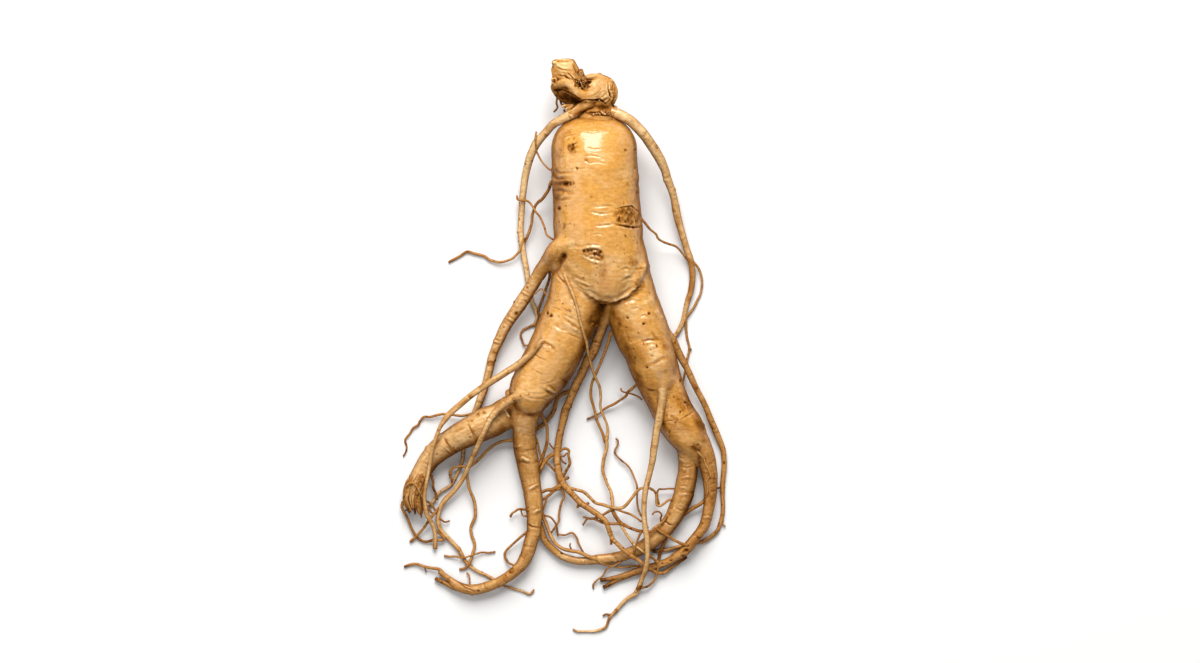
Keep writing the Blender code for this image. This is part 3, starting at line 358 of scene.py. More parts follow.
# Hair-fine rootlets: (first radius, last radius, brown 0..1, points (x, y, height)).
HAIRS = {
    "arm_hair": (1.3, 1.0, 0.35, [
        (640, 218, 36), (641.5, 219, 35), (646, 224, 33), (650, 229, 30), (656, 234, 26),
        (658, 238, 24), (662, 241, 21), (669, 244, 17), (675, 246, 13.5), (679, 249, 11),
        (683, 254, 9), (689, 262, 7)]),
    "hip_hair_high": (1.3, 1.1, 0.3, [
        (691, 260, 6.5), (694, 263, 6), (698, 268, 5), (701, 275, 4), (702, 282, 3.2),
        (701, 292, 2.4), (698, 299, 2), (694, 307, 2), (690, 312, 2.6), (685.5, 318, 4)]),
    "hip_hair_low": (1.3, 1.0, 0.4, [
        (685.5, 318, 4), (686, 322, 3.2), (686.3, 330, 2), (687, 337, 1.6), (688.5, 343, 1.5),
        (689.5, 348, 1.5), (688.5, 354, 1.6), (687, 360, 2.4), (686.3, 366, 3.6),
        (685, 372, 5), (684, 378, 6), (682, 384, 7.4)]),
    "armpit_hair": (1.5, 1.2, 0.55, [
        (552, 266, 26), (550, 272, 23), (549, 280, 18), (545, 292, 12), (541, 303, 7),
        (538, 311, 4.6), (541, 315, 5), (545, 318, 8)]),
    "armpit_loop": (1.2, 1.0, 0.4, [
        (538, 309, 4.8), (537.5, 318, 3), (534, 324, 2.4), (528, 327.5, 2), (523, 330, 2),
        (520.5, 335, 2), (522, 340, 2), (524.5, 345, 3), (530, 345, 5)]),
    "thigh_hair": (0.8, 0.6, 0.2, [
        (533, 295, 22), (535, 294, 24), (541, 289, 27), (545, 293, 29), (550, 298, 35),
        (556, 303, 49.5), (562, 307, 55.5), (567, 310, 57.6), (571, 311, 58.4)]),
    "shoulder_hair": (1.1, 0.9, 0.45, [
        (536.5, 132, 37), (535.8, 136, 37), (535.5, 140, 36.8), (536.5, 150, 33), (538, 154, 31),
        (541, 160, 30), (545, 165, 31), (549, 169, 33), (553, 171, 34)]),
    "side_root": (1.7, 1.4, 0.4, [
        (553, 181, 36), (551, 183, 35), (549, 189, 31), (546, 194, 27), (542, 199, 21),
        (538, 202, 17), (535, 206, 14), (534, 210, 12), (532.5, 215, 10.5), (532, 222, 9),
        (530.5, 228, 8), (528, 235, 7), (524, 244, 5.5)]),
    "side_hair": (1.1, 1.0, 0.45, [
        (517, 196, 14), (517.5, 199, 16.5), (520, 200, 17.6), (526, 200.5, 16.4), (530, 203, 15),
        (533, 207, 15.2), (536, 212, 17), (540, 217, 20), (543, 223, 24), (545, 229, 28),
        (547, 235, 32), (554, 240, 35)]),
    "thigh_twig": (1.6, 0.9, 0.55, [
        (641, 381, 22), (636.5, 385, 20), (632, 389, 17), (628, 392, 14), (626, 396, 12),
        (620, 400, 9), (614, 404, 7), (608, 407, 5), (603, 410, 4), (600, 413, 3.4),
        (594, 416, 2.6), (587, 419, 2)]),
    "thigh_twig_fork": (0.9, 0.9, 0.6, [
        (621, 388.5, 8), (621.5, 391, 8.6), (627, 393, 12), (632, 394, 15), (637, 396, 18),
        (642, 399.5, 21)]),
    "middle_hair": (0.9, 1.0, 0.6, [
        (616, 438.5, 3), (618, 441, 3), (617.5, 445, 3), (614.5, 452, 3), (620, 459, 3.4),
        (627, 465, 4), (631, 470.5, 4.6), (634, 477.5, 6), (637, 486, 9), (637, 499, 12),
        (638, 508, 14), (641, 516, 18)]),
    "calf_curl": (0.9, 1.0, 0.7, [
        (676, 489, 11), (670, 488.5, 9.4), (664, 489, 8.4), (659, 489.5, 8.4), (657.5, 493, 10),
        (657.8, 498, 12), (659, 504, 15.6)]),
    "web_one": (1.1, 1.1, 0.45, [
        (613, 508.5, 15), (624, 512, 16), (632.5, 515.5, 19), (641, 521.5, 23)]),
    "web_two": (1.1, 1.5, 0.65, [
        (583.5, 517, 8), (589, 518.5, 9), (596, 518, 10.5), (602, 515.5, 13), (607, 512.5, 14),
        (613, 509.5, 15)]),
    "web_two_prong": (1.0, 0.9, 0.65, [(583, 525, 6), (586, 520.5, 7.6), (588.5, 518.5, 9)]),
    "web_three": (1.3, 1.4, 0.6, [
        (594, 518.5, 10.5), (600, 521.5, 12.4), (604.5, 523, 13.4), (613, 524, 13.8),
        (621, 523.7, 14)]),
    "web_four": (1.9, 1.6, 0.7, [
        (612.5, 510, 13), (616, 517.5, 13.8), (621, 523.5, 14.2), (625, 525.7, 14.4),
        (630, 528, 15), (638, 530.5, 18), (644, 531.5, 21)]),
    "calf_strand": (1.4, 1.5, 0.5, [
        (645, 532, 21), (648, 532, 20), (652, 531, 19), (655, 528, 18.6), (658, 530, 18.4),
        (662, 532.5, 18), (668, 536, 15.4), (674, 540, 13.8), (680, 543, 14.6), (688, 545.5, 16)]),
    "calf_strand_up": (1.2, 1.1, 0.3, [
        (655, 527.5, 18.6), (659, 524.5, 17.8), (663, 521, 17.2), (667, 516.5, 17)]),
    "calf_hook": (0.9, 1.0, 0.6, [
        (652.5, 514.5, 10), (654, 512.5, 10), (658, 511.5, 10.6), (661, 513.5, 11.6),
        (661.5, 516, 12.2), (660.5, 519, 12.6), (662, 525, 13)]),
    "calf_wedge": (1.9, 1.3, 0.9, [
        (666, 539, 9), (664.5, 543, 7.4), (662, 548, 5), (661, 551, 4), (659.4, 555, 4.4),
        (658.5, 560, 6), (659.5, 564, 9)]),
    "knee_drop": (1.2, 1.1, 0.5, [
        (641.5, 532, 20), (638, 539, 19), (635.5, 546, 17.6), (634, 553.5, 16.6)]),
    "tail_hair": (1.1, 0.9, 0.4, [
        (634, 556, 13), (632.5, 557, 12), (624, 560, 10), (616, 564.5, 7), (607, 569, 5),
        (602.5, 576, 4.8), (596, 581, 3), (593, 585, 2), (593.5, 588.5, 1.6)]),
    "tail_loop_thin": (1.2, 1.2, 0.45, [
        (648, 554, 20), (650, 555.5, 18), (655, 560, 13), (658, 566, 9.4), (656.5, 576, 6),
        (652, 583, 5), (646.5, 587, 6), (641, 587.8, 7)]),
    "shin_curl": (1.0, 1.0, 0.6, [
        (559.5, 534.5, 3), (565, 535, 3), (572, 532.7, 3), (577, 538, 3.4), (578.5, 543, 4.4),
        (581, 548, 6.6), (583.5, 553, 9)]),
    "shin_curl_spur": (0.8, 0.8, 0.5, [(570.5, 543.5, 6), (570, 546, 7.4), (571.5, 549.5, 9.4)]),
    "fork_hair_a": (1.2, 1.1, 0.6, [
        (561, 488, 7.6), (564, 495.5, 7), (561, 504, 6), (559, 515, 5), (559, 520, 4.8),
        (557, 524, 4.6), (552.5, 531, 5.4), (550, 534, 6)]),
    "fork_hair_b": (1.0, 1.0, 0.6, [
        (541, 515, 10.6), (543.5, 515.3, 10), (550, 517, 8), (554, 521, 6.4), (556.5, 526.5, 5),
        (558, 536, 3.6)]),
    "cluster_a": (1.0, 1.0, 0.7, [(549.5, 443.5, 5), (552, 447, 6), (557, 452, 7.6)]),
    "cluster_b": (1.2, 1.5, 0.75, [
        (558, 452, 8), (560, 451, 8.6), (563, 449, 9), (566, 448.3, 9.2), (569, 450.5, 9.2),
        (568.4, 455, 9), (570, 462, 8.4), (569, 466, 8.2), (566, 471, 8.2), (563.5, 476, 8.4)]),
    "cluster_c": (1.1, 0.8, 0.75, [
        (557.5, 455.5, 8.6), (561, 455.8, 9.2), (564, 456.2, 9.4), (566.5, 453, 9)]),
    "cluster_d": (1.0, 0.8, 0.8, [
        (560, 456, 9), (561, 459, 8.8), (562.5, 461.5, 8.2), (566, 464, 7.4)]),
    "cluster_nub": (1.9, 1.4, 0.5, [(562, 480, 8), (565, 479, 8.4), (568.5, 477.5, 8.8)]),
    "junction_low": (1.8, 1.4, 0.7, [
        (560, 488.5, 8.6), (555.5, 490, 8.2), (550, 494.6, 8), (546, 498, 8.4), (541, 501, 10)]),
    "junction_spur": (1.1, 0.9, 0.7, [(546.4, 499, 8.4), (544.6, 505, 8.6), (542, 511, 10)]),
    "junction_up": (1.4, 1.2, 0.7, [(559.5, 486, 8.6), (557.4, 480, 8.2), (557, 475.5, 8)]),
    "shin_link": (1.1, 1.1, 0.6, [
        (536, 438, 15), (537.5, 442, 13.4), (539, 450, 11), (541, 457, 9.4), (544, 462, 8.4),
        (548, 464, 7.4), (551.5, 467.5, 6.6), (555, 471.5, 6.8)]),
    "knee_twig": (1.4, 0.9, 0.5, [
        (477, 412.5, 5), (472, 414, 5.6), (462, 416, 6), (453, 415, 6), (443, 414.3, 5),
        (436, 415.5, 4), (430, 417, 3.2), (424, 417, 2.6), (420, 421, 2.2), (418, 425, 2),
        (413, 428, 2), (410, 433, 1.8), (406, 438, 1.6), (405, 441, 1.5), (406.5, 446, 1.5),
        (406, 451, 1.4), (403.5, 456, 1.4)]),
    "wrist_dark": (1.3, 1.3, 0.85, [
        (431.5, 476, 9), (433, 482, 7.6), (433, 487, 7), (435, 492, 6.4), (437.5, 499.5, 6)]),
    "wrist_spur": (1.1, 0.9, 0.5, [(439, 517.5, 5.4), (444.5, 522, 4.2), (449.5, 521, 3)]),
    "wrist_cross": (1.5, 1.3, 0.55, [
        (410.5, 541.5, 1.6), (416.5, 536, 4), (423.5, 528, 6.8), (430.5, 518, 9.6),
        (435, 512.5, 9), (438.5, 508, 7)]),
    "hand_curl": (1.2, 1.1, 0.35, [
        (407, 486, 19), (408, 484, 20.6), (413, 483, 22.4), (417, 487, 22), (420, 493, 21),
        (423, 498, 18), (428, 502, 13), (431, 504, 10), (436, 512, 6.6)]),
    "hand_link": (0.9, 0.9, 0.5, [(426, 507, 14.6), (430, 511, 11), (434, 515, 8)]),
    "wrist_return": (1.4, 1.2, 0.45, [
        (432, 540.5, 4.6), (437, 540.3, 4.6), (441.5, 540, 4.6), (444.5, 538, 4.8),
        (440, 534, 5.4), (435.5, 530, 7)]),
    "drop_cross": (1.1, 0.9, 0.45, [
        (444.5, 555.5, 1.6), (450, 556.5, 2), (456, 556.4, 3.6), (463, 558, 5),
        (471, 555.5, 5.2), (481, 552.5, 3), (489, 552.8, 1.8), (495, 551.8, 1.6)]),
    "loop_spur": (0.9, 0.8, 0.45, [(467, 573, 2), (469.5, 576, 4), (469.8, 585, 8)]),
    "shin_side_loop": (1.2, 1.1, 0.5, [
        (528, 531, 12), (525, 533.5, 10.6), (515, 542, 7), (506, 551, 3.4), (504.5, 555, 2.6),
        (506, 559, 3), (509, 563, 4), (514, 565.5, 6.6)]),
    "shin_side_twig": (1.0, 1.2, 0.5, [
        (510, 515.5, 5), (512, 513.4, 6), (515, 511.5, 7), (519, 509.3, 9), (529, 510, 12)]),
    "shin_side_curl": (0.9, 0.9, 0.5, [
        (521, 510, 9.4), (521.7, 513.5, 9.6), (524, 516, 10.2), (529, 515.3, 12)]),
    "finger_spur": (0.8, 0.7, 0.5, [(425, 567, 3.4), (425.2, 569, 2.6), (426, 572, 2)]),
    "crown_hook": (1.1, 0.9, 0.4, [
        (578, 72, 50), (579.5, 69.8, 52), (582, 69.8, 53), (583, 72.5, 53), (585.5, 77.5, 52),
        (588, 80.5, 50)]),
    "crown_hair_a": (1.1, 0.9, 0.7, [
        (556.6, 94, 34), (557, 98, 32), (556.6, 103, 30), (557.6, 107, 28), (556, 110, 27),
        (554, 112, 26)]),
    "crown_hair_b": (1.1, 0.8, 0.8, [
        (559.5, 96, 33), (560.4, 101, 31), (562, 105, 30), (565, 106.6, 31), (565.4, 109, 30),
        (564, 110.5, 29), (566, 112.3, 29)]),
    "crown_hair_c": (1.0, 0.8, 0.6, [
        (562, 104.5, 33), (566, 105.5, 36), (571, 104.5, 38), (574, 103.5, 38)]),
    "side_twig": (1.2, 1.0, 0.6, [(724.5, 487.6, 3.2), (721, 487.3, 3.6), (716.5, 488.5, 3.2)]),
    "side_twiglet": (1.0, 0.8, 0.4, [
        (722, 517, 3), (722.8, 521, 2.6), (722.2, 524, 2.4), (725.2, 526.4, 2)]),
    "calf_fibre": (1.3, 1.1, 0.1, [
        (686, 444, 26), (689, 446, 26.5), (692, 448, 26.6), (697, 451.5, 27.4), (701, 455, 26.6),
        (704, 459, 25.4), (706, 465, 24.2), (709, 471, 22.6), (710.4, 475, 22.2),
        (708, 478, 21.8), (706.5, 481, 21), (707.5, 486, 20.4), (707.5, 492, 19.6), (706, 497, 17.6)]),
    "tail_twig": (1.1, 0.9, 0.5, [(612, 615.3, 2), (606, 614.3, 1.8), (603, 615.8, 1.6)]),
    "loop_nub": (1.5, 1.2, 0.5, [(689, 349, 1.6), (691, 349.6, 1.8)]),
    "tail_nub": (1.6, 1.4, 0.5, [(611.5, 539, 16.4), (611, 544, 16)]),
    "tail_nub_b": (2.0, 1.3, 0.5, [(585, 505.5, 12.6), (588.5, 503, 13)]),
    "tail_nub_c": (2.4, 1.2, 0.4, [(580, 503, 11), (577.5, 507.5, 9.6)]),
    "wrist_curl": (1.0, 0.9, 0.5, [(512, 514, 6), (510.3, 517, 4.6)]),
}

# Long rootlets that hang together the tangle: (table, brown 0..1).
STRANDS = {
    "flank_rootlet": (FLANK_ROOTLET, 0.0), "inner_rootlet": (INNER_ROOTLET, 0.5),
    "cross_rootlet": (CROSS_ROOTLET, 0.25), "calf_bridge": (CALF_BRIDGE, 0.6),
    "shin_strand": (SHIN_STRAND, 0.25), "knee_loop": (KNEE_LOOP, 0.6),
    "tail_loop": (TAIL_LOOP, 0.7), "middle_bridge": (MIDDLE_BRIDGE, 0.35),
    "low_bridge": (LOW_BRIDGE, 0.7), "loop_strand": (LOOP_STRAND, 0.3),
    "drop_strand": (DROP_STRAND, 0.3), "wrist_strand": (WRIST_STRAND, 0.7),
    "finger_strand": (FINGER_STRAND, 0.4), "elbow_loop": (ELBOW_LOOP, 0.35),
}

# ---------------------------------------------------------------- looks
TAN = (0.745, 0.373, 0.093, 1.0)
GOLD = (0.775, 0.373, 0.070, 1.0)
TAN_LIMB = (0.56, 0.283, 0.080, 1.0)
GOLD_LIMB = (0.60, 0.300, 0.075, 1.0)
# pale dry skin, also painted onto ridges, lips and lumps as highlights
LIGHT = (0.92, 0.64, 0.32, 1.0)
AMBER = (0.52, 0.215, 0.030, 1.0)
# BROWN and DARK serve the stains and also the painted shade in hollows, creases and under overhangs
BROWN = (0.17, 0.056, 0.006, 1.0)
BROWN_HAIR = (0.15, 0.046, 0.009, 1.0)
DARK = (0.060, 0.018, 0.002, 1.0)
# the colour of the painted shade on the steep sides
SHADED_SIDE = (0.21, 0.068, 0.006, 1.0)
AMBER_LIMB = (0.44, 0.19, 0.042, 1.0)
WORLD_LIGHT = 0.19
CROWN_VOXEL = 0.23
LIGHTS = [
    # name, place, aim, width, height, watts, colour
    ("softbox", (0.0, 1.30, 1.14), (0.01, 0.03, 0.0), 1.15, 1.3, 44.5, (1.0, 0.99, 0.97)),
    ("low_fill", (0.05, -0.95, 1.7), (0.0, -0.02, 0.0), 1.7, 1.6, 6.5, (1.0, 0.99, 0.97)),
    ("side_fill", (-1.5, 0.1, 1.1), (0.0, 0.0, 0.0), 1.0, 1.4, 5.0, (1.0, 0.98, 0.95)),
]

# The skin's own run of a few limbs near where they join: the left knee hangs over the
# shin, and the shin lies over the forearm, whose far end is torn open.
LEFT_THIGH_SKIN = LEFT_THIGH[:-3] + [(531.5, 391, 27, 22.4), (530.5, 398, 28, 17.6),
                                     (530, 403, 28, 13.0)]
RIGHT_THIGH_SKIN = RIGHT_THIGH[:-3] + [
    (683.4, 431, 20, 18.6), (688.6, 440, 19, 15.4), (692.4, 449, 17.6, 12.0),
    (695.4, 457, 16, 8.4), (697.4, 463, 15, 5.0)]
KNEE_INNER = [(684, 428, 19, 14), (688, 445, 17, 11.2), (687.9, 458, 14.6, 9.7),
              (688, 468, 12.8, 9.2)]
KNEE_OUTER = [(688, 426, 20, 13), (694.5, 435, 19, 11.4), (701.5, 447, 17.2, 9.9),
              (706.6, 459, 15.4, 8.6), (709, 469, 14.2, 7.9)]
LEFT_SHIN_SKIN = [(534, 394, 22, 18), (530.5, 403, 22, 15.6), (527.5, 412, 21.4, 13.4),
                  (525, 421, 20.0, 12.7), (524.4, 432, 17.0, 11.9),
                  (525.5, 450, 13.2, 11.6)] + LEFT_SHIN[6:]
FOREARM_SKIN = [(522, 402, 14, 11), (514, 407.6, 15, 14), (506, 413, 17, 15.2),
                (498, 418.5, 19.4, 15.5)] + FOREARM[4:10] + [
                    (418.5, 479, 10.2, 9.8), (415.8, 486, 10.2, 9.2), (414, 492, 10.2, 7.8),
                    (413, 498, 10.0, 5.8), (413, 504, 9.4, 4.0), (414, 509, 9.0, 2.4)]

# name: (table, sides, step mm, style)
# a style's shade = (direction across the sheet, amount) darkens the limb on that side: painted shade
LIMB_STYLES = {
    "left_shin": (LEFT_SHIN_SKIN, 56, 0.42, {"brown": 0.05, "ring": 0.13, "gap": 4.6, "ringbrown": 0.3, "streak": 0.16,
                                        "shade": (-1.0, 0.0, 0.34),
                                        "nubs": 14.0, "specks": 2.2, "wobble": 0.03, "sway": 0.03}),
    "shin_fork": (SHIN_FORK, 20, 0.4, {"brown": 0.3, "ring": 0.10, "blunt": 0.5, "cut": 0.6}),
    "forearm": (FOREARM_SKIN, 64, 0.42, {"brown": 0.0, "ring": 0.09, "gap": 6.5, "ringbrown": 0.25,
                                    "pale": 0.30, "streak": 0.14, "shade": (0.45, -0.9, 0.5),
                                    "nubs": 14.0, "specks": 2.0, "wobble": 0.03, "sway": 0.02,
                                    "tail": 0.5, "blunt": 0.3, "fine": 0.02}),
    "inner_calf": (INNER_CALF, 52, 0.42, {"brown": 0.06, "streak": 0.16, "shade": (1.0, -0.2, 0.5), "ring": 0.11, "gap": 5.4,
                                          "ringbrown": 0.25, "nubs": 16.0, "wobble": 0.03,
                                          "sway": 0.03}),
    "outer_calf": (OUTER_CALF, 44, 0.42, {"brown": 0.16, "streak": 0.2, "shade": (-0.8, 0.6, 0.3), "ring": 0.11, "gap": 4.6,
                                          "ringbrown": 0.28, "nubs": 12.0, "wobble": 0.04,
                                          "sway": 0.03, "tail": 0.6}),
    "calf_fork": (CALF_FORK, 18, 0.4, {"brown": 0.25, "ring": 0.08, "blunt": 0.4, "cut": 0.7,
                                       "tail": 0.5}),
    "centre_tail": (CENTRE_TAIL, 26, 0.40, {"brown": 0.16, "streak": 0.16, "shade": (0.55, -0.5, 0.3), "skip": 1, "ring": 0.10, "gap": 2.2,
                                            "wobble": 0.04, "sway": 0.05, "tail": 0.6,
                                            "head": 0.3}),
    "left_arm": (LEFT_ARM, 26, 0.40, {"brown": 0.0, "pale": 0.8, "skip": 1, "ring": 0.04, "gap": 5.0, "nubs": 9.0,
                                      "specks": 14.0, "blot": 0.12, "finebrown": 0.05, "streak": 0.10, "ringbrown": 0.16,
                                      "wobble": 0.04, "sway": 0.05}),
    "right_arm": (RIGHT_ARM, 28, 0.40, {"brown": 0.02, "pale": 0.55, "ring": 0.04, "gap": 5.0, "nubs": 9.0,
                                        "specks": 14.0, "blot": 0.14, "finebrown": 0.05, "streak": 0.10, "ringbrown": 0.16,
                                        "wobble": 0.04, "sway": 0.05}),
    "flank_arm": (FLANK_ARM, 36, 0.40, {"brown": 0.02, "pale": 0.35, "streak": 0.16, "shade": (0.85, -0.5, 0.5),
                                        "ring": 0.10, "gap": 4.4,
                                        "ringbrown": 0.28, "nubs": 10.0, "wobble": 0.04,
                                        "sway": 0.04}),
    "thigh_root_right": (THIGH_ROOT_RIGHT, 22, 0.40, {"brown": 0.12, "ring": 0.07, "nubs": 12.0,
                                                      "tail": 0.5, "sway": 0.06}),
    "knee_root_right": (KNEE_ROOT_RIGHT, 26, 0.40, {"brown": 0.0, "pale": 0.35, "skip": 3, "ring": 0.05, "gap": 3.4, "nubs": 14.0,
                                                    "specks": 12.0, "streak": 0.14, "ringbrown": 0.2, "finebrown": 0.05, "sway": 0.05, "tail": 0.3}),
    "thigh_root_left": (THIGH_ROOT_LEFT, 22, 0.40, {"brown": 0.02, "pale": 0.3, "ring": 0.05, "gap": 3.4, "nubs": 14.0, "specks": 10.0, "finebrown": 0.05,
                                                    "streak": 0.16, "ringbrown": 0.2,
                                                    "sway": 0.05}),
    "knee_root_left": (KNEE_ROOT_LEFT, 22, 0.40, {"brown": 0.02, "pale": 0.25, "ring": 0.05, "gap": 3.4, "nubs": 12.0, "specks": 10.0, "finebrown": 0.05,
                                                  "streak": 0.16, "ringbrown": 0.2,
                                                  "sway": 0.06}),
}

BODY_NUBS = [
    # sheet point and height, radius, blend mm
    ((647.6, 266.5, 36), 2.6, 0.5), ((552.5, 279, 30), 1.6, 0.4),
    ((507.6, 393.6, 25), (3.0, 4.4, 3.4), 0.9), ((503.6, 399.6, 22), (2.6, 3.4, 3), 0.8),
    ((596.5, 325.5, 35), 2.0, 0.4),
]

CROWN_MARKS = [
    ("cut", [(556, 66.6), (562, 69.6), (571, 70.6)], 0.9, 0.22, 0.2, 0.3),
    ("cut", [(573, 64), (575.4, 70), (580, 77)], 0.9, 0.25, 0.4, 0.3),
    ("cut", [(556, 75), (565, 76), (571, 79.6)], 0.8, 0.2, 0.35, 0.3),
    ("cut", [(567, 72), (571, 76), (575, 80)], 0.7, 0.2, 0.3, 0.3),
    # pale stains on the stub's top facet: painted highlight
    ("stain", 563, 64.6, 6.5, 2.8, 4, -1.0), ("stain", 568, 64, 3.4, 3, 0, -1.0),
    ("stain", 557, 74, 6, 3.5, -10, 0.35), ("stain", 576, 73, 2.6, 6, 25, 0.25),
    ("rough", 555.6, 80.6, 3.4, 3.4, 0, 0.25, 0.8, 0.8),
    ("rough", 581, 84, 8.4, 5.4, 20, 0.35, 0.8, 0.7),
    ("stain", 581, 84, 8, 5, 20, 0.55),
    ("stain", 589, 82.6, 3.4, 1.4, -24, 1.3),
    ("rough", 612.5, 93, 4.4, 9, 0, 0.2, 0.5, 0.8),
    # dark stains on the lower lobe under the twisted band: painted shade
    ("stain", 556, 94, 6, 7, 35, 0.85), ("stain", 566, 97, 10, 7, 20, 1.2),
    ("stain", 575, 100.6, 9, 4.4, 10, 1.2), ("stain", 565.6, 91, 5, 4.4, 20, 0.8),
    ("cut", [(553, 91), (562, 90), (570, 93), (577, 98), (586, 102)], 1.0, 0.4, 0.7, 0.0),
    ("cut", [(557, 96), (563, 99), (571, 100)], 0.8, 0.3, 0.6, 0.1),
    # dark stains on the neck under the knob and under the band: painted shade
    ("stain", 603, 106.6, 11, 4.2, 5, 1.05), ("stain", 594, 104, 5, 2.6, 0, 0.6),
    ("stain", 611, 107, 5, 4, 0, 0.6),
    ("stain", 612, 104, 4.4, 5, 0, 0.9), ("stain", 582, 112, 7, 3.4, -20, 0.9),
    ("stain", 604, 102.6, 9, 2.6, 8, 0.6),
    ("cut", [(613.4, 84), (612.8, 90), (613.4, 97)], 0.6, 0.15, 0.35, 0.5),
    ("cut", [(608.0, 82), (608.2, 90), (611, 98)], 0.8, 0.3, 0.5, 0.5),
    # pale stains on the knob: painted highlights
    ("stain", 604, 91, 5, 5, -30, -0.9), ("stain", 593, 91, 6, 3, -30, -0.6),
    ("cut", [(603, 99), (607, 96.6), (608.6, 93)], 1.1, -0.35, 0.1, 0.8),
    ("cut", [(599, 97.6), (602, 95.4), (604, 92.6)], 1.0, -0.3, 0.1, 0.8),
    ("cut", [(583, 99.6), (592, 100.4), (600, 99.4), (606, 104)], 0.9, 0.35, 0.8, 0.2),
    ("cut", [(586, 94), (592, 91), (598, 86)], 0.7, 0.08, 0.2, 0.5),
    ("cut", [(589, 97), (596, 94), (602, 88)], 0.8, 0.12, 0.25, 0.5),
    ("cut", [(586, 89.6), (591, 86.4), (595, 81.6)], 0.7, 0.07, 0.15, 0.5),
    # pale stains along the band, the knob and the left arm's root: painted highlights
    ("stain", 596, 84.6, 5, 5, -30, -1.0), ("stain", 570, 84.4, 3.2, 3, -30, -1.0),
    ("stain", 575, 91.6, 3, 4, -50, -0.8), ("stain", 598, 96, 6, 2.6, -30, -0.6),
    ("stain", 586, 104, 6, 3, -35, -0.7), ("stain", 576, 109.6, 5, 3, -35, -0.4),
    ("cut", [(570, 110), (578, 102.6), (586, 99.8)], 0.9, 0.35, 0.9, 0.0),
    ("rough", 599, 113.6, 15, 2.6, 2, 0.22, 0.75, 0.8),
    ("rough", 567.5, 115.4, 4, 2.8, -35, 0.22, 0.9, 0.8),
]

